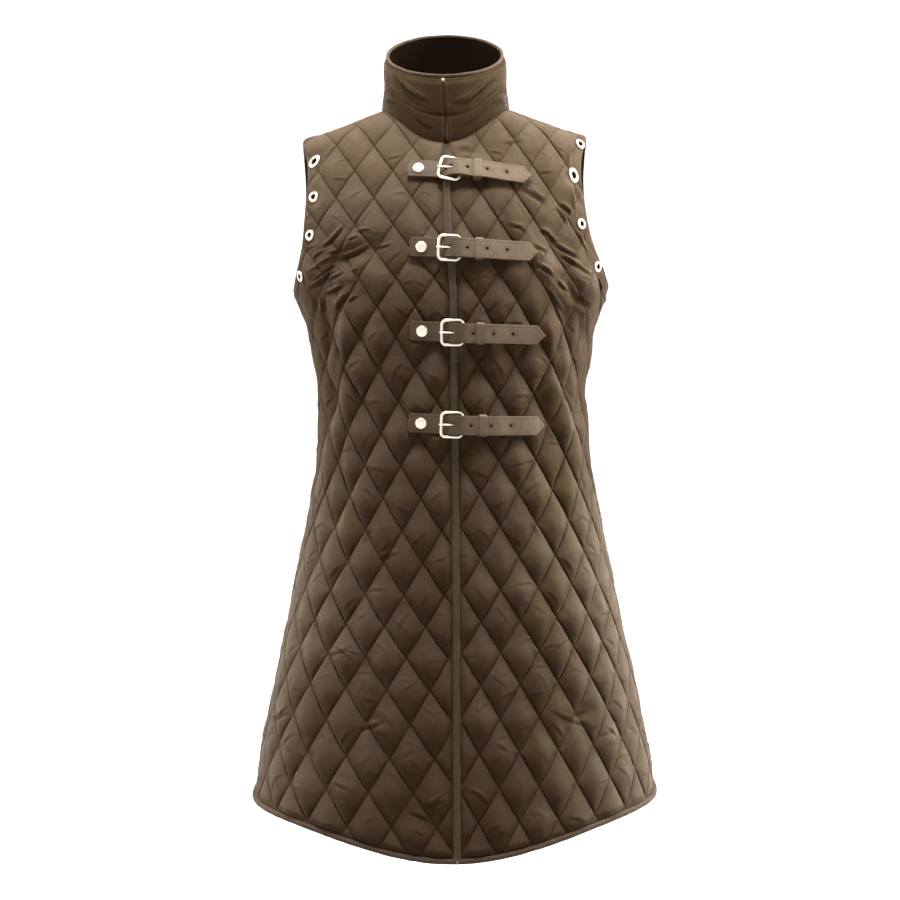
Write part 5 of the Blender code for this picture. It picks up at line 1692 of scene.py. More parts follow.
    def build(self) -> Piece:
        """Make the collar's wall.

        Returns:
            The piece.
        """
        foot_outer, foot_inner = self.foot(self.turns(0.0))
        rows = np.concatenate((np.linspace(0.0, 0.3, 12), np.linspace(0.32, 0.45, 14),
                               np.linspace(0.475, 0.9, 22), np.linspace(0.915, 0.995, 8)))
        rings: list[Array] = []
        flat: list[Array] = []
        for height in rows:
            toward = np.interp(height * 100.0, *self.toward)
            toward = 0.0 if height == 0.0 else toward
            angle = self.turns(height)
            point, out = self.place(angle, height, toward)
            sink = np.interp(height * 100.0, *self.sink)
            where = self._unrolled(angle, height * self.tall)
            lift = self._wrinkles(angle, np.full(len(angle), height)) + 0.35 * noise(where, 19.0, 4)
            lift += 0.22 * noise(where * np.array([1.0, 1.0, 0.5]), 8.0, 8)
            lift = lift * ramp(0.03, 0.14, height) * (1.0 - ramp(0.9, 0.99, height))
            crease = 0.75 + 0.45 * noise(where * np.array([1.0, 1.0, 0.0]), 40.0, 6)
            crease *= 0.3 + 0.7 * np.abs(np.cos(angle))
            deep = sink * np.where(abs(height - self.crease_height) < 0.07, crease, 1.0)
            ring = point - out * (deep + self.stand - lift)[:, None]
            weight = float(ramp(0.0, 0.13, height))
            rings.append(foot_outer * (1.0 - weight) + ring * weight)
            flat.append(self._laid_flat(angle, height * self.tall))
        for height in self.inner_rows:
            toward = 0.0 if height == 0.0 else np.interp(height * 100.0, *self.toward)
            angle = self.turns(height)
            point, out = self.place(angle, height, toward)
            ring = point - out * (self.wall + self.stand + 1.2 * float(ramp(0.85, 1.0, height)))
            weight = float(ramp(0.0, 0.2, height))
            rings.append(foot_inner * (1.0 - weight) + ring * weight)
            flat.append(self._laid_flat(angle, self.fold_line - height * self.tall))
        body = np.stack(rings, axis=1)
        item = loft("stand_collar", body, False, 55.0)
        store_cut(item, np.stack(flat, axis=1).reshape(-1, 2))
        slit = np.minimum(angle, 2.0 * math.pi - angle) * self.round_radius
        count = body.shape[1]
        store(item, "seam", np.repeat(slit, count) * MM)
        heights = np.concatenate((rows, np.full(len(self.inner_rows), 0.5)))
        store(item, "level", np.tile(heights, len(angle)))
        double_cut(item, count).declare(item, "folded", [half.piece for half in Half])
        line_inside(item, np.tile(np.arange(count) >= len(rows), len(angle)))
        return item

    def build_binding(self) -> Piece:
        """Make the narrow binding folded over the rim.

        Returns:
            The piece.
        """
        angle = self.turns(1.0)
        point, out = self.place(angle, 1.0, 1.0)
        middle = point - out * (0.5 * self.wall + self.stand + self.rim_inset)
        middle[:, 2] += self.rim_lift
        where = self._unrolled(angle, 0.0)
        middle += out * (0.3 * noise(where, 11.0, 3))[:, None]
        middle[:, 2] += 0.3 * noise(where, 15.0, 12)
        up = np.broadcast_to(np.array([0.0, 0.0, 1.0]), middle.shape)
        section = rounded_box(0.5 * self.rim_height, self.rim_half_thick, self.rim_corner, 6)
        size = 1.0 + 0.05 * noise(where, 6.0, 5)[:, None, None]
        item = swept("rim_binding", middle, up, out, section[None] * size)
        store_cut(item, np.stack((np.repeat(angle * self.round_radius, len(section)),
                                  np.tile(np.arange(len(section)) * 1.1, len(angle))), axis=1))
        return item

    def build_hook(self) -> Piece:
        """Make the small hook that holds the corners together.

        Returns:
            The piece.
        """
        point, _ = self.place(np.array([0.0]), self.hook_height, 1.0)
        out = np.array([0.0, -1.0, 0.0])
        centre = point[0] + out * 0.2
        turns = np.linspace(0.0, 1.5 * math.pi, 15)
        bend = np.stack((self.hook_bend * np.cos(turns), 0.0 * turns, self.hook_bend * np.sin(turns)), axis=1)
        tail = np.array([[self.hook_bend, 0.0, -1.8], [self.hook_bend, 0.0, -0.9]])
        line = centre + np.concatenate((tail, bend))
        line[:, 1] -= np.linspace(0.0, 0.7, len(line))
        across, beside = line_axes(line, out)
        return swept("collar_corner_hook", line, across, beside, disc(self.hook_wire, 12))

    def make(self, finishes: Finishes) -> list[Piece]:
        """Build and dress the collar, its rim and its hook.

        Args:
            finishes: The coat's finishes.

        Returns:
            The pieces.
        """
        return [finishes.collar.cover(self.build(), "collar", finishes.lining),
                finishes.tape.cover(self.build_binding(), "collar_binding"),
                finishes.metal.cover(self.build_hook(), "collar_hook")]


@dataclass
class Binding:
    """Tape folded over an edge: rounded, slightly drawn up by its stitches."""

    form: BodyForm
    cloth: Cloth = Cloth()
    edge_x: float = 2.3
    edge_section: tuple[float, float, float] = (4.0, 3.6, 2.0)
    hem_section: tuple[float, float, float] = (3.2, 3.8, 2.2)
    hem_sink: float = 3.4
    overlap: float = 0.12
    top_drop: float = 2.0
    foot_drop: float = 1.4
    edge_step: float = 2.5
    top_tuck: float = 3.0
    tuck_reach: float = 16.0
    hem_stations: int = 130

    @staticmethod
    def _tape(name: str, middle: Array, up: Array, out: Array, sizes: tuple[float, float, float]) -> Piece:
        """Sweep a puckered tape.

        Args:
            name: Name of the piece.
            middle: Stations of its middle line.
            up: The section's first axis at each.
            out: The section's second axis at each.
            sizes: Half its first size, half its second size and its corners' radius.

        Returns:
            The piece.
        """
        half_up, half_out, corner = sizes
        run = np.concatenate(([0.0], np.cumsum(np.linalg.norm(np.diff(middle, axis=0), axis=1))))
        section = rounded_box(half_up, half_out, corner, 5, 3)
        drawn = 0.28 * noise(middle, 6.5, 31) + 0.2 * noise(middle, 23.0, 32)
        stitched = np.exp(-((section[:, 0] / half_up + 0.55) / 0.2) ** 2) * (section[:, 1] > 0.0)
        lift = drawn[:, None] - 0.35 * stitched[None]
        shape = section[None] * (1.0 + lift[..., None] / max(half_up, half_out))
        item = swept(name, middle, up, out, shape)
        around = np.concatenate(([0.0], np.cumsum(np.linalg.norm(np.diff(section, axis=0), axis=1))))
        store_cut(item, np.stack((np.repeat(run, len(section)), np.tile(around, len(run))), axis=1))
        return item

    def closing_edge(self) -> Piece:
        """Make the bound closing edge from the neck to the hem.

        Returns:
            The piece.
        """
        top = self.form.neck_level(self.edge_x, True) - self.top_drop
        bottom = float(self.form.hem_level(np.array(self.edge_x), True)) - self.foot_drop
        z = np.append(np.arange(top, bottom + 1.0, -self.edge_step), bottom)
        x = np.full(len(z), self.edge_x)
        place, normal = self.form.surface(x, z, self.form.ring_depth(x, z, True), True)
        normal[:, 0] = 0.0
        normal = unit(normal)
        wander = 0.12 * noise(place, 60.0, 14) + 0.1 * noise(place, 14.0, 15)
        tucked = self.top_tuck * np.exp(-((top - z) / self.tuck_reach) ** 2)
        middle = place + normal * (self.cloth.middle + 0.2 - tucked)[:, None]
        middle[:, 0] += wander
        across = np.broadcast_to(np.array([1.0, 0.0, 0.0]), middle.shape)
        item = self._tape("closing_edge_binding", middle, across, normal, self.edge_section)
        store(item, "shade", np.repeat(tucked / self.top_tuck, len(item.data.vertices) // len(z)))
        return item

    def hem(self, name: str, sides: Sequence[float], front: bool) -> Piece:
        """Make the binding under one panel's hem.

        Args:
            name: Name of the piece.
            sides: Sides of the body it covers, in order.
            front: The panel is a front.

        Returns:
            The piece.
        """
        form = self.form
        parts = []
        for side in sides:
            x, level, depth = form.hem_ring(self.hem_stations, front)
            x = side * x
            if front:
                x = np.maximum(x, 2.5) if side > 0.0 else x
                x[-1] = self.edge_x + 0.05 * side
            place, normal = form.surface(x, level, depth, front)
            normal[0, 1] = 0.0
            normal[-1, 0] = 0.0
            normal = unit(normal)
            down = unit(normal * normal[:, 2:] - np.array([0.0, 0.0, 1.0]))
            parting = np.array([0.0, self.overlap if front else -self.overlap, 0.0])
            middle = place + normal * self.cloth.middle + down * self.hem_sink + parting
            if side != sides[0]:
                middle, down, normal = middle[::-1][1:], down[::-1][1:], normal[::-1][1:]
            parts.append((middle, -down, normal))
        middle, up, out = (np.concatenate([part[i] for part in parts]) for i in range(3))
        keep = np.concatenate(([True], np.linalg.norm(np.diff(middle, axis=0), axis=1) > 0.3))
        item = self._tape(name, middle[keep], up[keep], out[keep], self.hem_section)
        store(item, "shade", np.zeros(len(item.data.vertices)))
        return item

    def make(self, finishes: Finishes) -> list[Piece]:
        """Build and dress the closing edge's and the hem's bindings.

        Args:
            finishes: The coat's finishes.

        Returns:
            The pieces.
        """
        pieces = [finishes.tape.cover(self.closing_edge(), "front_edge_binding")]
        for part, sides in (("right", (-1.0,)), ("left", (1.0,)), ("back", (1.0, -1.0))):
            item = self.hem(f"hem_tape_{part}", sides, part != "back")
            pieces.append(finishes.tape.cover(item, f"hem_binding_{part}"))
        return pieces


# ---------------------------------------------------------------- straps and buckles

@dataclass(frozen=True)
class StrapLine:
    """The line of one strap over the fronts: x runs along it and lift stands off the form.

    z is its height at the closing edge, and its free end hangs by droop past the keeper.
    """

    form: BodyForm
    z: float
    keeper: float
    droop: float
    slope: float = -0.05

    def _form_at(self, x: Array) -> tuple[Array, Array]:
        """Form points and normals under the strap's middle line."""
        z = self.z + self.slope * x - self.droop * np.clip(x - self.keeper, 0.0, None) ** 2
        return self.form.surface(x, z, self.form.ring_depth(x, z, True), True)

    def frame(self, x: Array) -> tuple[Array, Array, Array, Array]:
        """Form points, along, across and outward directions at places along the strap.

        Args:
            x: Places along the strap.

        Returns:
            The points and the three directions.
        """
        place, normal = self._form_at(x)
        along = unit(self._form_at(x + 1.0)[0] - self._form_at(x - 1.0)[0])
        across = unit(np.cross(normal, along))
        return place, along, across, unit(np.cross(along, across))

    def at(self, x: float) -> tuple[Array, Array, Array, Array]:
        """The same at one place."""
        return tuple(part[0] for part in self.frame(np.array([x])))


@dataclass(frozen=True)
class Fastening:
    """One strap with its rivet, buckle, chape and keeper, by their places along it."""

    form: BodyForm
    number: int
    z: float
    square_end: float
    rivet: float
    buckle: float
    first_hole: float
    keeper: float
    tip: float
    droop: float = 0.0
    askew: float = 0.0

    buckle_width: float = 27.4
    buckle_height: float = 31.0
    wire: float = 3.2
    free_lift: float = 7.7
    hinge_lift: float = 6.4
    strap_width: float = 22.5
    strap_thick: float = 2.6
    strap_grid: float = 1.5
    flat_lift: float = 3.6
    keeper_lift: float = 8.7
    buckle_corner: float = 5.2
    slot_place: float = 11.6
    slot_half_length: float = 4.6
    slot_half_width: float = 1.6
    hole_pitch: float = 22.2
    hole_radius: float = 1.3
    end_corner: float = 2.2
    point_length: float = 9.5
    nose: float = 2.6
    edge_round: float = 1.15
    pin_radius: float = 1.1
    chape_thick: float = 1.6
    chape_half_width: float = 8.5
    keeper_base: float = 3.05
    keeper_thick: float = 1.2
    keeper_half_length: float = 4.5

    # radius and height of the rivet's head, from its rim to its crown
    head_profile: Table = (
        (5.2, 0.0), (5.9, 0.1), (6.3, 0.45), (6.35, 0.9), (6.1, 1.35), (5.6, 1.7), (4.9, 2.0),
        (3.9, 2.35), (2.7, 2.6), (1.4, 2.75), (0.35, 2.8),
    )

    @property
    def line(self) -> StrapLine:
        """The strap's line over the fronts."""
        return StrapLine(self.form, self.z, self.keeper, self.droop)

    @property
    def half_x(self) -> float:
        """Half the buckle's length between the middles of its bars."""
        return 0.5 * (self.buckle_width - self.wire)

    def lifts(self, x: Array) -> Array:
        """How far the strap's middle line stands off the form.

        Args:
            x: Places along the strap.

        Returns:
            The heights.
        """
        free, hinge, keeper = self.buckle - self.half_x, self.buckle + self.half_x, self.keeper
        flat = self.flat_lift
        table = np.array((
            (self.square_end, flat), (free - 6.0, flat), (free + 3.0, flat), (free + 6.5, 5.8),
            (free + 10.5, 9.6), (free + 14.0, 11.8), (hinge, 12.4), (hinge + 5.0, 11.5),
            (keeper - 5.5, 8.8), (keeper + 5.5, self.keeper_lift), (keeper + 17.0, 7.4),
            (keeper + 32.0, 4.7), (self.tip, 4.4)))
        return np.interp(x, *smooth_curve(table[:, 0], table[:, 1], 2.2, 0.5))

    def strap(self) -> Piece:
        """Make the leather strap with its holes and its pointed end.

        Returns:
            The piece.
        """
        half, corner, point, nose = 0.5 * self.strap_width, self.end_corner, self.point_length, self.nose
        start, tip = self.square_end, self.tip
        turns = np.linspace(0.0, 0.5 * math.pi, 7)
        foot = [(start + corner * (1 - math.cos(a)), -half + corner * (1 - math.sin(a))) for a in turns]
        x = np.linspace(start + corner + 1.2, tip - point - 1.5, 110)
        shoulder = [(tip - point, -half + 0.25), (tip - point + 1.5, -half + 1.3)]
        blunt = [(tip - nose, -0.92 * half * nose / point), (tip - 0.9, -1.3), (tip - 0.1, -0.35)]
        slant = np.linspace(np.array(shoulder[-1]), np.array(blunt[0]), 8)[1:-1]
        lower = np.concatenate((np.array(foot), np.stack((x, np.full(len(x), -half)), axis=1),
                                np.array(shoulder), slant, np.array(blunt)))
        loop = np.concatenate((lower, lower[::-1] * np.array([1.0, -1.0])))
        free = self.buckle - 0.5 * self.buckle_width
        loops = [loop]
        slot = rounded_box(self.slot_half_length, self.slot_half_width, 1.5, 7, 3)[::-1]
        loops.append(slot + np.array([free + self.slot_place, 0.0]))
        for hole in range(1, 4):
            worn = np.array([1.0 + 0.06 * (hole == 1), 1.0])
            centre = np.array([self.first_hole + self.hole_pitch * hole, 0.2 * (hole - 2)])
            loops.append(disc(self.hole_radius, 24)[::-1] * worn + centre)
        offsets = (0.12, 0.35, 0.7, 1.15, 1.9)
        rows = [edge_rows(item, offsets) for item in loops]
        step = self.strap_grid
        xs, ys = np.meshgrid(np.arange(start, tip, step), np.arange(-half, half, step))
        grid = np.stack((xs.ravel(), ys.ravel()), axis=1)
        grid = grid[inside(grid, loop)]
        away = np.min([nearest(grid, item)[0] for item in loops], axis=0)
        extra = np.concatenate((*rows, grid[away > 2.6]))
        skin = flat_skin(loops, extra[within_skin(extra, loops)])
        away = np.min([nearest(skin.plan, item)[0] for item in loops], axis=0)
        radius = self.edge_round
        held = np.clip(radius - away, 0.0, radius)
        face = 0.5 * self.strap_thick - (radius - np.sqrt(radius ** 2 - held ** 2))
        x, y = skin.plan[:, 0], skin.plan[:, 1]
        grain = np.stack((x, y, np.full(len(x), 9.0 * self.number)), axis=1)
        for hole in range(0, 4):
            centre = self.first_hole + self.hole_pitch * hole
            dent = np.exp(-(((x - centre) ** 2 + y ** 2) / 22.0))
            face = face - 0.28 * dent
        face = face + 0.1 * noise(grain, 14.0, 3) + 0.05 * noise(grain, 5.0, 6)
        edge_line = np.exp(-((away - 2.9) / 0.5) ** 2)
        face = face - 0.16 * edge_line
        bar = np.exp(-((x - (self.buckle + self.half_x)) / 3.0) ** 2)
        place, _, across, normal = self.line.frame(x)
        lift = self.lifts(x) + 0.3 * noise(grain, 40.0, 8) * ramp(6.0, 30.0, x - self.keeper)
        slope = self.lifts(x + 0.5) - self.lifts(x - 0.5)
        along = unit(self.line.frame(x + 0.5)[0] - self.line.frame(x - 0.5)[0])
        cup = 0.0016 * (y ** 2) * (1.0 - 0.5 * bar)
        tilt = np.arctan(slope)

        def skin_at(offset: Array) -> Array:
            """Points of a face at its distance from the middle of the leather."""
            return (place - along * (np.sin(tilt) * offset)[:, None] + across * y[:, None]
                    + normal * (lift - cup + np.cos(tilt) * offset)[:, None])

        points = np.concatenate((skin_at(face), skin_at(-0.5 * self.strap_thick + 0.25 * (
            0.5 * self.strap_thick - face))))
        item = mesh_object(f"buckled_strap_{self.number}", points, walled(skin, skin), 42.0)
        store_cut(item, np.concatenate((skin.plan, skin.plan + np.array([0.0, 60.0]))))
        store(item, "rim", np.concatenate((away, away)) * MM)
        hole_away = np.min([nearest(skin.plan, hole)[0] for hole in loops[1:]], axis=0)
        store(item, "hole", np.concatenate((hole_away, hole_away)) * MM)
        return item

    def frame_ring(self) -> Piece:
        """Make the buckle's frame: a rounded wire, hammered a little flat on its free side.

        Returns:
            The piece.
        """
        centre, along, across, normal = self.line.at(self.buckle)
        half_y = 0.5 * (self.buckle_height - self.wire)
        path = rounded_box(self.half_x, half_y, self.buckle_corner, 12, 16)
        share = 0.5 * (1.0 - path[:, 0] / self.half_x)
        lift = self.hinge_lift + (self.free_lift - self.hinge_lift) * share
        bow = 0.5 * np.cos(0.5 * math.pi * np.clip(path[:, 1] / half_y, -1.0, 1.0)) * (share > 0.9)
        turn = math.radians(self.askew)
        path = path @ np.array([[math.cos(turn), math.sin(turn)], [-math.sin(turn), math.cos(turn)]])
        middle = (centre + path[:, :1] * along + path[:, 1:] * across
                  + (lift + bow * 0.3)[:, None] * normal)
        beside, upright = line_axes(middle, normal, True)
        steps = 20
        section = disc(0.5 * self.wire, steps)
        wide = 1.0 + 0.1 * share[:, None] + 0.05 * noise(middle, 9.0, self.number)[:, None]
        shape = np.stack((section[None, :, 0] * wide,
                          np.broadcast_to(section[:, 1], (len(path), steps)) * 0.97), axis=2)
        return swept(f"buckle_frame_{self.number}", middle, beside, upright, shape, True)

    def pin(self) -> Piece:
        """Make the prong: an eye round the hinge bar and a tapered pin over the free bar.

        Returns:
            The piece.
        """
        centre, along, across, normal = self.line.at(self.buckle)
        eye = 0.5 * self.wire + 0.25 + self.pin_radius
        turns = np.radians(np.linspace(60.0, -206.0, 34))
        ring = np.stack((self.half_x + eye * np.cos(turns), self.hinge_lift + eye * np.sin(turns)), axis=1)
        tip_lift = self.free_lift + 0.5 * self.wire + 0.15 + 0.95
        start = np.array([self.half_x - 5.6, self.hinge_lift + 2.3])
        end = np.array([-self.half_x - 2.9, tip_lift - 0.35])
        share = np.linspace(0.0, 1.0, 26)[:, None]
        body = start + (end - start) * share
        body[:, 1] += 0.5 * np.sin(math.pi * np.clip(share[:, 0], 0, 1)) * 0.4
        path = eased(np.concatenate((ring, body)), 3)
        middle = centre + path[:, :1] * along + path[:, 1:] * normal
        size = np.concatenate((np.full(len(ring), 1.0), np.linspace(1.12, 0.86, len(body))))
        size[-3:] *= np.array([0.97, 0.84, 0.5])
        beside, upright = line_axes(middle, np.broadcast_to(across, middle.shape))
        section = disc(self.pin_radius, 18)[None] * size[:, None, None]
        return swept(f"buckle_pin_{self.number}", middle, beside, upright, section)

    def loop(self) -> Piece:
        """Make the chape: leather doubled round the hinge bar, slotted for the prong.

        Returns:
            The piece.
        """
        centre, along, across, normal = self.line.at(self.buckle)
        thick = self.chape_thick
        radius = 0.5 * self.wire + 0.3 + 0.5 * thick
        keeper = self.keeper - self.buckle
        spots = self.line.frame(np.array([self.buckle + keeper, self.buckle + keeper + 14.0]))[0]
        ground = (spots - centre) @ normal
        turns = np.radians(np.linspace(70.0, 290.0, 25))
        bend = np.stack((self.half_x + radius * np.cos(turns),
                         self.hinge_lift + radius * np.sin(turns)), axis=1)
        top = np.array([(keeper + 5.0, 6.0 + ground[0]), (keeper - 5.0, 6.0 + ground[0])])
        bottom = np.array([(keeper - 5.0, 4.3 + ground[0]), (keeper + 5.0, 4.2 + ground[0]),
                           (keeper + 14.0, 3.6 + ground[1])])
        path = eased(resampled(np.concatenate((top, bend, bottom)), 0.9), 4)
        middle = centre + path[:, :1] * along + path[:, 1:] * normal
        beside, upright = line_axes(middle, np.broadcast_to(across, middle.shape))
        section = rounded_box(0.5 * thick, self.chape_half_width, 0.6, 5, 6)
        item = swept(f"buckle_loop_{self.number}", middle, beside, upright, section)
        slot = swept("slot_cutter", np.array([centre + along * (self.half_x - 6.0) + normal * -1.0,
                                              centre + along * (self.half_x + 4.0) + normal * -1.0])
                     + normal * self.hinge_lift, np.stack((normal, normal)),
                     np.stack((across, across)), rounded_box(7.0, 1.5, 0.5, 3))
        cut = item.modifiers.new("slot", "BOOLEAN")
        cut.operation, cut.solver, cut.object = "DIFFERENCE", "EXACT", slot
        bpy.context.view_layer.update()
        shaped = item.evaluated_get(bpy.context.evaluated_depsgraph_get())
        data = bpy.data.meshes.new_from_object(shaped)
        item.modifiers.clear()
        item.data = data
        bpy.data.objects.remove(slot)
        return item

    def band(self) -> Piece:
        """Make the keeper: a leather band round the strap and the chape.

        Returns:
            The piece.
        """
        centre, along, across, normal = self.line.at(self.keeper)
        low, high = self.keeper_base, self.keeper_lift + 0.5 * self.strap_thick + 0.1
        half, thick = 0.5 * self.strap_width + 0.1, self.keeper_thick
        path = rounded_box(half + 0.5 * thick, 0.5 * (high - low) + 0.5 * thick, 1.7, 8, 12)
        middle_lift = 0.5 * (low + high)
        crown = 0.35 * (1.0 - (path[:, 0] / half) ** 2) * (path[:, 1] > 0.0)
        middle = (centre + path[:, :1] * across + (path[:, 1] + middle_lift + crown)[:, None] * normal)
        middle += along * (0.35 * noise(middle, 12.0, 5))[:, None]
        outward, beside = line_axes(middle, np.broadcast_to(along, middle.shape), True)
        section = rounded_box(0.5 * thick, self.keeper_half_length, 0.6, 5, 6)
        return swept(f"strap_keeper_{self.number}", middle, outward, beside, section, True)

    def head(self) -> Piece:
        """Make the rivet's head: a low dome with a rolled edge, tilted a little.

        Returns:
            The piece.
        """
        centre, along, across, normal = self.line.at(self.rivet)
        tilt = 0.05 * math.sin(2.1 * self.number)
        normal = unit(normal + along * tilt)
        across = unit(np.cross(normal, along))
        along = unit(np.cross(across, normal))
        base = self.flat_lift + 0.5 * self.strap_thick - 0.05
        rings = []
        for radius, height in self.head_profile:
            ring = disc(radius, 44)
            rings.append(centre + ring[:, :1] * along + ring[:, 1:] * across + normal * (base + height))
        return loft(f"rivet_head_{self.number}", np.array(rings))

    def make(self, finishes: Finishes) -> list[Piece]:
        """Build and dress the strap with its leather and metal.

        Args:
            finishes: The coat's finishes.

        Returns:
            The pieces.
        """
        pieces = ((self.strap(), finishes.edged, "strap"), (self.frame_ring(), finishes.metal, "buckle"),
                  (self.pin(), finishes.metal, "prong"), (self.loop(), finishes.leather, "chape"),
                  (self.band(), finishes.leather, "keeper"), (self.head(), finishes.metal, "rivet"))
        return [finish.cover(item, f"{node}_{self.number}") for item, finish, node in pieces]


# how much longer than wide, and its slant, of the eyelets that are pulled oval
OVAL_EYELETS = {"eyelet_right_front_1": (1.35, 0.5), "eyelet_left_front_2": (1.45, 0.0)}


@dataclass
class EyeletRing:
    """A turned metal eyelet: a rolled flange on the cloth and a barrel through it.

    It sits at a place of the form, square to its normal, and facing is -1 on a front, 1 on the back.
    """

    name: str
    place: Array
    normal: Array
    facing: float
    profile: Table = (
        (3.0, -3.6), (3.0, -0.6), (3.05, 0.5), (3.3, 1.15), (3.8, 1.55), (4.5, 1.7), (5.3, 1.6),
        (6.0, 1.2), (6.45, 0.65), (6.5, 0.25), (6.2, 0.0), (5.2, -0.1), (4.1, 0.0), (3.7, -0.4),
        (3.6, -1.4), (3.6, -3.6),
    )

    def build(self) -> Piece:
        """Make the eyelet, seated a little askew as hand-set ones are.

        Returns:
            The piece.
        """
        seed = float(sum(ord(letter) for letter in self.name))
        across = unit(np.array([-self.normal[1], self.normal[0], 0.0]))
        upright = unit(np.cross(self.normal, across))
        lean = 0.05 * math.sin(seed * 1.7) * across + 0.06 * math.cos(seed * 2.3) * upright
        normal = unit(self.normal + lean)
        across = unit(np.cross(upright, normal))
        upright = unit(np.cross(normal, across))
        stretch, slant = OVAL_EYELETS.get(self.name, (1.0, 0.0))
        longer = upright * math.cos(slant) + across * math.sin(slant)
        base = self.place - self.normal * 2.2 + np.array([0.0, self.facing * 0.175, 0.0])
        rings = []
        for turn in np.linspace(0.0, 2.0 * math.pi, 52, endpoint=False):
            spoke = across * math.cos(turn) + upright * math.sin(turn)
            uneven = 1.0 + 0.012 * math.sin(3.0 * turn + seed) + 0.01 * math.sin(7.0 * turn)
            spoke = (spoke + longer * (spoke @ longer) * (stretch - 1.0)) * uneven
            rings.append([base + spoke * radius + normal * (height + 0.1)
                          for radius, height in self.profile])
        item = loft(self.name.replace("eyelet", "eyelet_ring"), np.array(rings), True)
        # Painted shade: the inside of the barrel is drawn near-black.
        barrel_shade = [1.0 if radius < 3.9 and height < 0.6 else 0.0 for radius, height in self.profile]
        store(item, "barrel_shade", np.tile(barrel_shade, len(rings)))
        return item


# ---------------------------------------------------------------- shader graphs

Socket = bpy.types.NodeSocket
Value = Socket | float


class Graph:
    """Short ways to add shader nodes to a tree and join them."""

    def __init__(self, tree: bpy.types.NodeTree) -> None:
        """Keep the tree."""
        self.tree = tree

    def join(self, value: Value | Sequence[float], socket: Socket) -> None:
        """Link a socket, or set a plain value.

        Args:
            value: A socket, or a number or colour.
            socket: The input.
        """
        if isinstance(value, bpy.types.NodeSocket):
            self.tree.links.new(value, socket)
        else:
            socket.default_value = value

    def node(self, kind: str, values: dict[str, Value | Sequence[float]] | None = None,
             **settings: object) -> bpy.types.Node:
        """Add a node.

        Args:
            kind: Type name of the node.
            values: Inputs by name.
            settings: Properties of the node.

        Returns:
            The node.
        """
        made = self.tree.nodes.new(kind)
        for name, value in settings.items():
            setattr(made, name, value)
        for name, value in (values or {}).items():
            self.join(value, made.inputs[name])
        return made

    def maths(self, operation: str, first: Value, second: Value = 0.0, third: Value = 0.0) -> Socket:
        """Add a maths node and return its result.

        Args:
            operation: What it works out.
            first: First value.
            second: Second value.
            third: Third value.

        Returns:
            Its result.
        """
        made = self.node("ShaderNodeMath", operation=operation)
        for value, socket in zip((first, second, third), made.inputs):
            self.join(value, socket)
        return made.outputs[0]

    def times(self, first: Value, second: Value) -> Socket:
        """Multiply two values."""
        return self.maths("MULTIPLY", first, second)

    def blend(self, share: Value, first: Value | Sequence[float], second: Value | Sequence[float],
              mode: str = "MIX") -> Socket:
        """Mix two colours.

        Args:
            share: Share of the second colour.
            first: First colour.
            second: Second colour.
            mode: How they mix.

        Returns:
            The mixed colour.
        """
        made = self.node("ShaderNodeMix", data_type="RGBA", blend_type=mode)
        self.join(share, made.inputs[0])
        self.join(first, made.inputs[6])
        self.join(second, made.inputs[7])
        return made.outputs[2]

    def remap(self, value: Value, low: float, high: float, to_low: float = 0.0,
              to_high: float = 1.0) -> Socket:
        """Map one range smoothly to another.

        Args:
            value: The value.
            low: Start of its range.
            high: End of its range.
            to_low: What the start becomes.
            to_high: What the end becomes.

        Returns:
            The result.
        """
        made = self.node("ShaderNodeMapRange", interpolation_type="SMOOTHSTEP")
        for entry, socket in zip((value, low, high, to_low, to_high), made.inputs):
            self.join(entry, socket)
        return made.outputs[0]

    def noise(self, vector: Socket, scale: float, detail: float = 2.0, rough: float = 0.5) -> Socket:
        """Add a noise texture and return its value."""
        return self.node("ShaderNodeTexNoise", {"Vector": vector, "Scale": scale, "Detail": detail,
                                                "Roughness": rough}).outputs[0]

    def attribute(self, name: str) -> Socket:
        """Read a number kept on the vertices."""
        return self.node("ShaderNodeAttribute", attribute_name=name).outputs["Fac"]

    def cut(self) -> Socket:
        """The place in the cutting plane."""
        return self.node("ShaderNodeUVMap", uv_map="cut").outputs[0]

    def place(self) -> Socket:
        """The place in the coat."""
        return self.node("ShaderNodeTexCoord").outputs["Object"]

    def pointed(self) -> Socket:
        """How far the surface stands out of its surroundings."""
        return self.node("ShaderNodeNewGeometry").outputs["Pointiness"]

    def parts(self, vector: Socket) -> Sequence[Socket]:
        """Split a vector."""
        return self.node("ShaderNodeSeparateXYZ", {0: vector}).outputs

    def scaled(self, vector: Socket, x: float, y: float, z: float = 1.0) -> Socket:
        """Stretch a vector."""
        return self.node("ShaderNodeVectorMath", {0: vector, 1: (x, y, z)}, operation="MULTIPLY").outputs[0]


class Group:
    """A node group shared by several materials."""

    def __init__(self, name: str, outputs: Sequence[str], inputs: dict[str, float] | None = None) -> None:
        """Start a group.

        Args:
            name: Name of the group.
            outputs: Its number outputs.
            inputs: Its number inputs and their defaults.
        """
        self.tree = bpy.data.node_groups.new(name, "ShaderNodeTree")
        for title, value in (inputs or {}).items():
            socket = self.tree.interface.new_socket(title, in_out="INPUT", socket_type="NodeSocketFloat")
            socket.default_value = value
        for title in outputs:
            self.tree.interface.new_socket(title, in_out="OUTPUT", socket_type="NodeSocketFloat")
        self.graph = Graph(self.tree)
        self.given = self.tree.nodes.new("NodeGroupInput").outputs
        self.results = self.tree.nodes.new("NodeGroupOutput").inputs

    def place(self, graph: Graph, values: dict[str, Value] | None = None) -> bpy.types.Node:
        """Use the group in a graph.

        Args:
            graph: The graph.
            values: The group's inputs by name.

        Returns:
            The group node.
        """
        made = graph.node("ShaderNodeGroup", node_tree=self.tree)
        for name, value in (values or {}).items():
            graph.join(value, made.inputs[name])
        return made


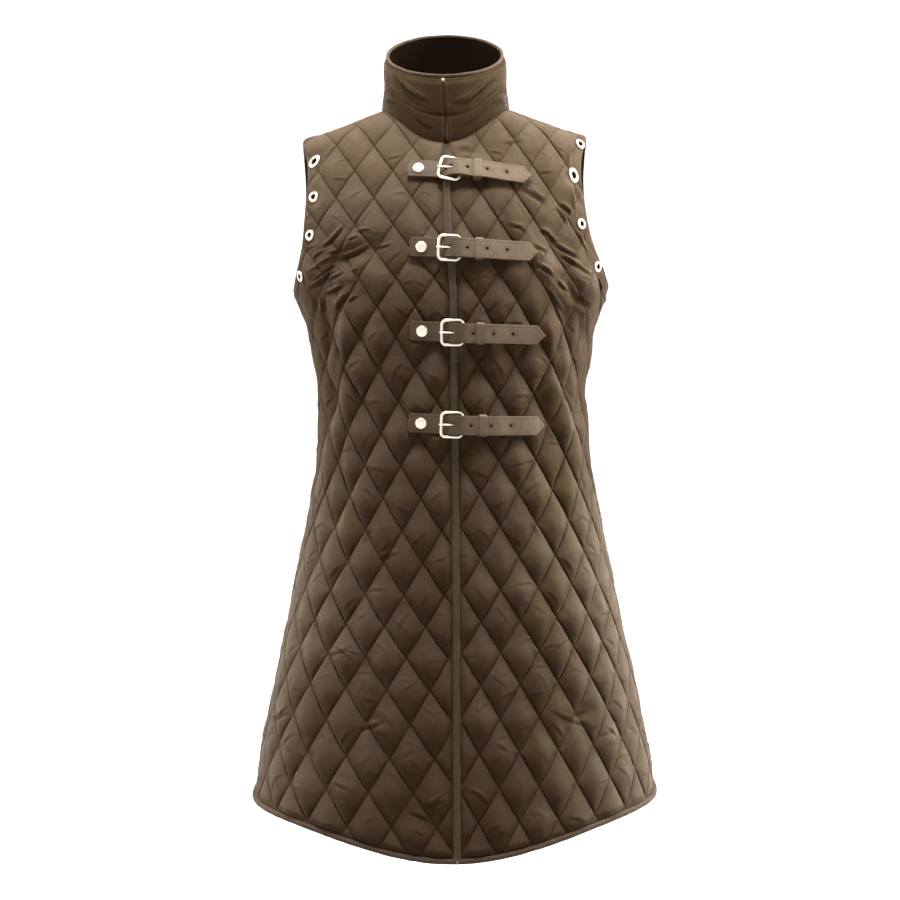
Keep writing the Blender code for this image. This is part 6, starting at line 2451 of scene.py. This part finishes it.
class Effects:
    """The node groups that the finishes share."""

    def __init__(self) -> None:
        """Make every group."""
        self.quilting = self._quilting()
        self.weave = self._weave()
        self.mottle = self._mottle()
        self.hide = self._hide()
        self.rub = self._rub()

    @staticmethod
    def _quilting() -> Group:
        """Depth in the quilting's valleys, the run of the stitches in them, and a painted shade mask within
        12 mm of the lines.

        Returns:
            The group.
        """
        group = Group("quilt lines", ("Valley", "Stitch", "Painted shade"))
        g = group.graph
        cut = g.cut()
        parts = g.parts(cut)
        p = g.maths("DIVIDE", parts[0], Quilt.column_width * MM)
        q = g.maths("DIVIDE", parts[1], Quilt.row_height * MM)
        distances, dashes = [], []
        for operation, other in (("ADD", "SUBTRACT"), ("SUBTRACT", "ADD")):
            number = g.times(g.maths(operation, p, q), 0.5)
            beside = g.times(g.maths(other, p, q), 0.5)
            away = g.maths("PINGPONG", number, 0.5)
            distances.append(g.times(away, Quilt.line_spacing))
            beat = g.maths("PINGPONG", g.times(beside, Quilt.diamond_side / 3.4), 0.5)
            thread = g.remap(distances[-1], 0.35, 0.75, 1.0, 0.0)
            dashes.append(g.times(thread, g.remap(beat, 0.1, 0.2)))
        near = g.maths("MINIMUM", *distances)
        crossing = g.remap(distances[1], 0.3, 1.8, 0.62, 0.0)
        valley = g.maths("MAXIMUM", g.remap(distances[0], 0.3, 2.0, 1.0, 0.0), crossing)
        g.join(valley, group.results["Valley"])
        # Painted shade that fades out 12 mm from the lines.
        g.join(g.remap(near, 0.0, 12.0, 1.0, 0.0), group.results["Painted shade"])
        g.join(g.maths("MAXIMUM", *dashes), group.results["Stitch"])
        return group

    @staticmethod
    def _weave() -> Group:
        """A plain weave with slubs, read from the cut's coordinates.

        Returns:
            The group.
        """
        group = Group("plain weave", ("Height", "Slub"), {"Threads per metre": 1400.0})
        g = group.graph
        cut = g.cut()
        bent = g.noise(cut, 90.0, 2.0)
        parts = g.parts(cut)
        count = group.given["Threads per metre"]
        warp = g.maths("MULTIPLY_ADD", parts[0], count, g.times(bent, 1.6))
        weft = g.maths("MULTIPLY_ADD", parts[1], count, g.times(bent, 1.6))
        across = g.maths("ABSOLUTE", g.maths("SINE", g.times(warp, math.pi)))
        along = g.maths("ABSOLUTE", g.maths("SINE", g.times(weft, math.pi)))
        over = g.maths("PINGPONG", g.maths("ADD", g.maths("FLOOR", warp), g.maths("FLOOR", weft)), 1.0)
        height = g.maths("ADD", g.times(across, over), g.times(along, g.maths("SUBTRACT", 1.0, over)))
        slub_a = g.noise(g.scaled(cut, 2400.0, 90.0), 1.0, 1.0)
        slub_b = g.noise(g.scaled(cut, 90.0, 2400.0), 1.0, 1.0)
        slub = g.times(g.maths("ADD", slub_a, slub_b), 0.5)
        g.join(height, group.results["Height"])
        g.join(slub, group.results["Slub"])
        return group

    @staticmethod
    def _mottle() -> Group:
        """Uneven dye and dust in three sizes.

        Returns:
            The group.
        """
        group = Group("uneven dye", ("Broad", "Middling", "Fine"))
        g = group.graph
        place = g.place()
        g.join(g.remap(g.noise(place, 9.0, 3.0, 0.6), 0.3, 0.7), group.results["Broad"])
        g.join(g.remap(g.noise(place, 55.0, 4.0, 0.65), 0.32, 0.68), group.results["Middling"])
        g.join(g.remap(g.noise(place, 420.0, 3.0, 0.7), 0.3, 0.7), group.results["Fine"])
        return group

    @staticmethod
    def _hide() -> Group:
        """Leather grain: small pebbles with creases across the strap.

        Returns:
            The group.
        """
        group = Group("hide grain", ("Height", "Crease", "Stain"))
        g = group.graph
        place = g.place()
        cells = g.node("ShaderNodeTexVoronoi", {"Vector": place, "Scale": 900.0},
                       feature="SMOOTH_F1").outputs["Distance"]
        fine = g.noise(place, 1600.0, 3.0, 0.6)
        creases = g.noise(g.scaled(place, 380.0, 380.0, 60.0), 1.0, 3.0, 0.7)
        g.join(g.maths("MULTIPLY_ADD", fine, 0.5, cells), group.results["Height"])
        g.join(g.remap(creases, 0.6, 0.72), group.results["Crease"])
        g.join(g.remap(g.noise(place, 60.0, 4.0, 0.65), 0.35, 0.7), group.results["Stain"])
        return group

    @staticmethod
    def _rub() -> Group:
        """Dull spots and fine scratches on plated metal.

        Returns:
            The group.
        """
        group = Group("rubbed plate", ("Dull", "Scratch"))
        g = group.graph
        place = g.place()
        g.join(g.remap(g.noise(place, 260.0, 4.0, 0.7), 0.42, 0.72), group.results["Dull"])
        lines = g.noise(g.scaled(place, 500.0, 500.0, 6000.0), 1.0, 2.0, 0.6)
        g.join(g.remap(lines, 0.55, 0.75), group.results["Scratch"])
        return group


# ---------------------------------------------------------------- finishes

class Finish:
    """A material and the record's slot that it belongs to."""

    name = "finish"
    slot = ""

    def __init__(self, effects: Effects) -> None:
        """Make the material.

        Args:
            effects: The shared node groups.
        """
        self.material = bpy.data.materials.new(self.name)
        self.material.use_nodes = True
        self.graph = Graph(self.material.node_tree)
        self.shader = self.material.node_tree.nodes["Principled BSDF"]
        self.effects = effects
        self.build()

    def build(self) -> None:
        """Join the finish's nodes to its shader."""
        raise NotImplementedError

    def set(self, **values: float | Sequence[float]) -> None:
        """Set plain values on the shader, by socket names with underscores."""
        for name, value in values.items():
            self.shader.inputs[name.replace("_", " ")].default_value = value

    def drive(self, value: Socket, name: str) -> None:
        """Join a value to one of the shader's sockets."""
        self.graph.join(value, self.shader.inputs[name])

    def bump(self, height: Socket, distance: float, strength: float = 1.0,
             under: Socket | None = None) -> Socket:
        """Raise a height in metres, on top of another bump if one is given.

        Args:
            height: The height.
            distance: Its full rise in metres.
            strength: How strongly it shows.
            under: Another bump below it.

        Returns:
            The normal.
        """
        made = self.graph.node("ShaderNodeBump", {"Height": height, "Distance": distance,
                                                  "Strength": strength})
        if under is not None:
            self.graph.join(under, made.inputs["Normal"])
        return made.outputs[0]

    def cover(self, item: Piece, node: str, lining: Finish | None = None) -> Piece:
        """Give a piece this finish and let it stand for its solid.

        Args:
            item: The piece.
            node: The frame's solid that it stands for.
            lining: Another finish for the piece's inside.

        Returns:
            The piece.
        """
        item.data.materials.append(self.material)
        if lining is not None:
            item.data.materials.append(lining.material)
        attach(item, BODY)
        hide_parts(node)
        return item


class QuiltedCloth(Finish):
    """Brown brushed cotton, with painted light and shade in its dye tone, painted shade down in the quilting
    and beside the seams, and near-black painted shade on the plain inside.
    """

    name = "quilted cotton"
    slot = "quilted_cloth"
    # light is the pale tone that paints light; dark paints shade in the valleys and beside the seams, and
    # also darkens the uneven dye.
    light = (0.205, 0.153, 0.104, 1.0)
    middle = (0.104, 0.063, 0.026, 1.0)
    dark = (0.040, 0.020, 0.005, 1.0)
    quilted = True

    def build(self) -> None:
        """Join the weave, the dye with its painted light and shade, the painted shade of the valleys and
        seams, and the stitches.
        """
        g = self.graph
        dye = self.effects.mottle.place(g).outputs
        weave = self.effects.weave.place(g, {"Threads per metre": 1250.0}).outputs
        # Painted light and shade from the panel's mask, with the broad uneven dye.
        light_and_dye_share = g.maths("MULTIPLY_ADD", dye["Broad"], 0.3, g.attribute("light_and_dye"))
        tone = g.blend(g.remap(light_and_dye_share, 0.1, 1.2), self.middle, self.light)
        tone = g.blend(g.times(dye["Middling"], 0.2), tone, self.dark)
        thread = g.times(weave["Slub"], 0.5)
        tone = g.blend(thread, tone, g.blend(0.5, tone, self.light))
        normal = self.bump(weave["Height"], 0.00022, 0.55)
        normal = self.bump(dye["Fine"], 0.0003, 0.5, normal)
        if self.quilted:
            lines = self.effects.quilting.place(g).outputs
            open_cloth = g.remap(g.attribute("pad"), 0.0085, 0.012)
            open_cloth = g.times(open_cloth, g.remap(g.attribute("seam"), 0.0005, 0.003))
            valley = g.times(lines["Valley"], open_cloth)
            # Painted shade near the quilting lines.
            hollow = g.times(lines["Painted shade"], open_cloth)
            tone = g.blend(g.times(hollow, 0.12), tone, self.dark)
            # Painted shade down in the valleys, weaker where the painted light is strong.
            line = g.times(valley, g.remap(g.attribute("light_and_dye"), 0.5, 1.0, 0.6, 0.35))
            tone = g.blend(line, tone, self.dark)
            stitch = g.times(lines["Stitch"], open_cloth)
            tone = g.blend(g.times(stitch, 0.35), tone, self.middle)
            depth = g.maths("SUBTRACT", g.times(stitch, 0.6), valley)
            normal = self.bump(depth, 0.0008, 0.5, normal)
            # Painted shade beside the seams and bindings.
            edge = g.remap(g.attribute("seam"), 0.0, 0.004, 0.55, 0.0)
            tone = g.blend(edge, tone, self.dark)
        self.drive(tone, "Base Color")
        self.drive(normal, "Normal")
        self.drive(g.maths("MULTIPLY_ADD", dye["Middling"], 0.1, 0.78), "Roughness")
        self.set(Specular_IOR_Level=0.1, Sheen_Weight=0.6, Sheen_Roughness=0.25,
                 Sheen_Tint=(1.0, 0.95, 0.88, 1.0))


class CollarCloth(QuiltedCloth):
    """The same cotton, plain and tightly sewn, with painted shade in and below the fold above the collar's
    foot and under the rim's binding.
    """

    name = "collar cotton"
    quilted = False

    def build(self) -> None:
        """Add the painted shade of the fold and under the rim's binding, and the stitches beside the slit."""
        super().build()
        g = self.graph
        tone = self.shader.inputs["Base Color"].links[0].from_socket
        level = g.attribute("level")
        # Painted shade: the band below the fold darkest, the crease of the fold dark, and the rest of the
        # collar a little darker.
        low = g.remap(level, 0.33, 0.42, 0.78, 0.3)
        fold = g.times(g.remap(level, 0.36, 0.385), g.remap(level, 0.39, 0.42, 0.45, 0.0))
        tone = g.blend(g.maths("MAXIMUM", low, fold), tone, self.dark)
        seam = g.attribute("seam")
        cut = g.cut()
        run = g.parts(cut)[1]
        beat = g.remap(g.maths("PINGPONG", g.times(run, 300.0), 0.5), 0.14, 0.24)
        line = g.times(g.remap(seam, 0.0040, 0.0046), g.remap(seam, 0.0052, 0.0058, 1.0, 0.0))
        # Painted shade in a thin band just under the rim's binding.
        rim = g.times(g.remap(level, 0.925, 0.935), g.remap(level, 0.945, 0.955, 1.0, 0.0))
        stitch = g.times(line, beat)
        tone = g.blend(g.times(stitch, 0.3), tone, (0.25, 0.18, 0.12, 1.0))
        tone = g.blend(g.times(rim, 0.7), tone, self.dark)
        self.drive(tone, "Base Color")


class ShadedLining(Finish):
    """Plain-woven lining in near-black tones, painted shade for the shadowed inside and the armhole's edges.
    """

    name = "painted shade lining"
    slot = "quilted_cloth"

    def build(self) -> None:
        """Join the weave and the uneven dye."""
        g = self.graph
        dye = self.effects.mottle.place(g).outputs
        weave = self.effects.weave.place(g, {"Threads per metre": 1250.0}).outputs
        # Near-black tones as painted shade, varied by the uneven dye.
        tone = g.blend(dye["Broad"], (0.012, 0.0065, 0.0025, 1.0), (0.020, 0.012, 0.006, 1.0))
        tone = g.blend(g.times(weave["Slub"], 0.3), tone, (0.03, 0.019, 0.011, 1.0))
        self.drive(tone, "Base Color")
        self.drive(self.bump(weave["Height"], 0.0002, 0.5), "Normal")
        self.set(Roughness=0.95, Specular_IOR_Level=0.05)


class TapeCloth(Finish):
    """Closely woven binding tape, a little lighter than the cloth."""

    name = "binding tape"
    slot = "binding_cloth"

    def build(self) -> None:
        """Join the tape's weave and dye, the painted shade at the top of the closing edge and the painted
        shade in the tape's hollows.
        """
        g = self.graph
        dye = self.effects.mottle.place(g).outputs
        weave = self.effects.weave.place(g, {"Threads per metre": 1900.0}).outputs
        tone = g.blend(dye["Broad"], (0.145, 0.098, 0.057, 1.0), (0.20, 0.143, 0.091, 1.0))
        tone = g.blend(g.times(dye["Middling"], 0.45), tone, (0.075, 0.048, 0.027, 1.0))
        # Painted shade where the closing edge tucks under the collar.
        tone = g.blend(g.times(g.attribute("shade"), 0.85), tone, (0.022, 0.012, 0.005, 1.0))
        # Painted shade in the tape's hollows.
        pointed = g.pointed()
        tone = g.blend(g.remap(pointed, 0.47, 0.56, 0.5, 0.0), tone, (0.06, 0.042, 0.026, 1.0))
        normal = self.bump(weave["Height"], 0.0002, 0.6)
        normal = self.bump(dye["Fine"], 0.0002, 0.4, normal)
        self.drive(tone, "Base Color")
        self.drive(normal, "Normal")
        self.drive(g.maths("MULTIPLY_ADD", weave["Slub"], 0.15, 0.66), "Roughness")
        self.set(Specular_IOR_Level=0.3, Sheen_Weight=0.3, Sheen_Roughness=0.4,
                 Sheen_Tint=(0.9, 0.8, 0.7, 1.0))


class StrapLeather(Finish):
    """Grey-brown vegetable-tanned leather with darker, burnished edges."""

    name = "strap leather"
    slot = "strap_leather"
    edged = False

    def build(self) -> None:
        """Join the grain, the creases, the stains and the dark edges."""
        g = self.graph
        hide = self.effects.hide.place(g).outputs
        dye = self.effects.mottle.place(g).outputs
        tone = g.blend(dye["Broad"], (0.27, 0.197, 0.131, 1.0), (0.375, 0.291, 0.207, 1.0))
        tone = g.blend(g.times(hide["Stain"], 0.35), tone, (0.13, 0.091, 0.057, 1.0))
        tone = g.blend(g.times(dye["Fine"], 0.18), tone, (0.38, 0.32, 0.24, 1.0))
        tone = g.blend(g.times(hide["Crease"], 0.3), tone, (0.10, 0.068, 0.042, 1.0))
        if self.edged:
            cut = g.cut()
            along = g.parts(cut)[0]
            # Darker towards the square end, as far as the buckle.
            tone = g.blend(g.remap(along, -0.004, 0.034, 0.7, 0.0), tone, (0.08, 0.051, 0.028, 1.0))
            rim = g.attribute("rim")
            tone = g.blend(g.remap(rim, 0.0002, 0.0014, 0.72, 0.0), tone, (0.06, 0.038, 0.02, 1.0))
            line = g.times(g.remap(rim, 0.0024, 0.0028), g.remap(rim, 0.0030, 0.0035, 0.5, 0.0))
            tone = g.blend(line, tone, (0.10, 0.068, 0.042, 1.0))
            worn = g.remap(g.attribute("hole"), 0.0, 0.0018, 0.6, 0.0)
            tone = g.blend(worn, tone, (0.07, 0.046, 0.027, 1.0))
        else:
            pointed = g.pointed()
            tone = g.blend(g.remap(pointed, 0.53, 0.6, 0.0, 0.6), tone, (0.09, 0.06, 0.036, 1.0))
        normal = self.bump(hide["Height"], 0.00022, 0.45)
        normal = self.bump(hide["Crease"], -0.0003, 0.5, normal)
        self.drive(tone, "Base Color")
        self.drive(normal, "Normal")
        self.drive(g.maths("MULTIPLY_ADD", hide["Stain"], 0.18, 0.5), "Roughness")
        self.set(Specular_IOR_Level=0.25)


class EdgedLeather(StrapLeather):
    """The straps' leather, which knows where its edges and holes are."""

    name = "strap leather with dark edges"
    edged = True


class NickelPlate(Finish):
    """Nickel plate, rubbed dull in places."""

    name = "nickel plate"
    slot = "nickel"
    bright = (0.87, 0.80, 0.70, 1.0)
    dull = (0.66, 0.59, 0.49, 1.0)

    def build(self) -> None:
        """Join the dull spots, the scratches, the grime in the corners and the painted shade inside the
        eyelets' barrels.
        """
        g = self.graph
        rub = self.effects.rub.place(g).outputs
        tone = g.blend(g.times(rub["Dull"], 0.5), self.bright, self.dull)
        pointed = g.pointed()
        tone = g.blend(g.remap(pointed, 0.42, 0.5, 0.75, 0.0), tone, (0.16, 0.13, 0.10, 1.0))
        # Painted shade inside the eyelets' barrels.
        tone = g.blend(g.attribute("barrel_shade"), tone, (0.035, 0.020, 0.010, 1.0))
        self.drive(tone, "Base Color")
        self.drive(g.maths("MULTIPLY_ADD", rub["Dull"], 0.15, 0.4), "Roughness")
        self.drive(self.bump(rub["Scratch"], -0.00005, 0.5), "Normal")
        self.set(Metallic=0.7)


class StudioGround(Finish):
    """Pale seamless ground, very slightly uneven."""

    name = "pale ground"

    def build(self) -> None:
        """Join a faint unevenness."""
        g = self.graph
        dye = self.effects.mottle.place(g).outputs
        self.drive(g.blend(dye["Broad"], (0.80, 0.80, 0.80, 1.0), (0.84, 0.84, 0.84, 1.0)), "Base Color")
        self.set(Roughness=0.95, Specular_IOR_Level=0.1, Emission_Color=(1.0, 1.0, 1.0, 1.0),
                 Emission_Strength=1.0)


# ---------------------------------------------------------------- the studio and the coat

class Finishes:
    """Every finish of the coat and of the ground it stands over, made once."""

    def __init__(self, effects: Effects) -> None:
        """Make each finish.

        Args:
            effects: The shared node groups.
        """
        self.cloth, self.collar = QuiltedCloth(effects), CollarCloth(effects)
        self.tape, self.metal = TapeCloth(effects), NickelPlate(effects)
        self.lining = ShadedLining(effects)
        self.leather, self.edged = StrapLeather(effects), EdgedLeather(effects)
        self.ground = StudioGround(effects)


# z at the closing edge, then along the strap: square end, rivet, buckle, first hole, keeper,
# tip; then how much the free end hangs and the buckle leans
STRAPS: Table = (
    (-77, -41.5, -29.7, 6.7, 3.6, 37.2, 98.7, 0.0011, -8),
    (-164, -42.8, -29.3, 1.8, -1, 34.7, 100.5, 0.0003, 0),
    (-258, -47, -33.2, 0.8, 1.5, 31.5, 104.8, 0.0002, 1.5),
    (-363, -49.7, -35.8, -1, -2.3, 33.3, 103.3, 0, 0),
)


@dataclass(frozen=True)
class Lamp:
    """A round soft lamp: its place, size, watts and colour, and the height it aims at."""

    name: str
    place: tuple[float, float, float]
    size: float
    watts: float
    colour: tuple[float, float, float]
    aim_z: float

    def light(self) -> None:
        """Hang the lamp."""
        data = bpy.data.lights.new(self.name, "AREA")
        data.shape, data.size, data.energy, data.color = "DISK", self.size, self.watts, self.colour
        item = bpy.data.objects.new(self.name, data)
        bpy.context.scene.collection.objects.link(item)
        item.location = self.place
        facing = Vector(self.place) - Vector((0.0, 0.0, self.aim_z))
        item.rotation_euler = facing.to_track_quat("Z", "Y").to_euler()


@dataclass
class Studio:
    """A pale seamless ground, soft light and the camera, in metres."""

    ground: StudioGround
    floor_z: float = -1.12
    distance: float = 2.7
    target_z: float = -0.409
    look_down: float = math.radians(7.0)
    roll: float = math.atan(9.0 / 700.0)
    lens: float = 90.0

    floor_radius: float = 3.6
    curve_radius: float = 1.2
    wall_top: float = 4.2
    sky: tuple[float, float, float, float] = (1.0, 0.65, 0.35, 1.0)
    sky_strength: float = 0.15
    lamps: tuple[Lamp, ...] = (
        Lamp("key", (0.0, -0.8, 2.5), 0.7, 64.0, (1.0, 0.99, 0.97), -0.35),
        Lamp("side_left", (1.8, 0.3, 0.55), 1.4, 68.0, (1.0, 0.98, 0.95), -0.4),
        Lamp("side_right", (-1.8, 0.3, 0.6), 1.4, 30.0, (1.0, 0.98, 0.95), -0.4),
        Lamp("top", (0.0, 0.1, 1.5), 1.2, 22.0, (1.0, 0.99, 0.97), -0.2))

    def _backdrop(self) -> None:
        """Make the round ground, curving up into a wall all round."""
        floor, bend = self.floor_radius, self.curve_radius
        profile = [(0.01, 0.0), (floor, 0.0)]
        for turn in np.linspace(0.0, 0.5 * math.pi, 12)[1:]:
            profile.append((floor + bend * math.sin(turn), bend - bend * math.cos(turn)))
        profile.append((floor + bend, self.wall_top))
        steps, count = 72, len(profile)
        turns = np.linspace(0.0, 2.0 * math.pi, steps, endpoint=False)
        points = [(r * math.cos(turn), r * math.sin(turn), z + self.floor_z)
                  for turn in turns for r, z in profile]
        faces = [[count * ((k + turn) % steps) + i + across for k, across in ((0, 0), (1, 0), (1, 1), (0, 1))]
                 for turn in range(steps) for i in range(count - 1)]
        faces.append([count * turn for turn in range(steps)][::-1])
        item = mesh_object("studio_ground", np.array(points) / MM, faces, 80.0)
        item.data.materials.append(self.ground.material)
        item.visible_diffuse = False

    def _camera(self) -> None:
        """Place the camera, level but for a slight roll."""
        data = bpy.data.cameras.new("camera")
        data.lens, data.sensor_width, data.sensor_fit = self.lens, 36.0, "HORIZONTAL"
        data.clip_start, data.clip_end = 0.05, 30.0
        item = bpy.data.objects.new("camera", data)
        bpy.context.scene.collection.objects.link(item)
        back = Vector((0.0, -math.cos(self.look_down), math.sin(self.look_down)))
        item.location = Vector((0.0, 0.0, self.target_z)) + back * self.distance
        turn = back.to_track_quat("Z", "Y").to_matrix().to_4x4()
        item.rotation_euler = (turn @ Matrix.Rotation(-self.roll, 4, "Z")).to_euler()
        bpy.context.scene.camera = item

    def _lights(self) -> None:
        """Place the soft lamps and the sky's even light."""
        for lamp in self.lamps:
            lamp.light()
        world = bpy.data.worlds.new("studio")
        world.use_nodes = True
        sky = world.node_tree.nodes["Background"]
        sky.inputs["Color"].default_value = self.sky
        sky.inputs["Strength"].default_value = self.sky_strength
        bpy.context.scene.world = world
        bpy.context.scene.view_settings.view_transform = "Standard"

    def build(self) -> None:
        """Make the whole studio."""
        self._backdrop()
        self._camera()
        self._lights()


def corners(pair: tuple[Vector, Vector]) -> list[list[float]]:
    """A box's two corners as plain lists."""
    return [[float(value) for value in corner] for corner in pair]


def main() -> None:
    """Build the coat's look and report its pieces."""
    logging.basicConfig(level=logging.INFO, format="%(message)s")
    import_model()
    form, finishes = BodyForm(), Finishes(Effects())
    Studio(finishes.ground).build()
    panels = [QuiltedPanel(form, half, STRAPS) for half in Half]
    fastenings = [Fastening(form, number + 1, *row) for number, row in enumerate(STRAPS)]
    for part in (*panels, Collar(form), Binding(form), *fastenings):
        for item in part.make(finishes):
            LOG.info("%s: %d faces", item.name, len(item.data.polygons))


if __name__ == "__main__":
    main()
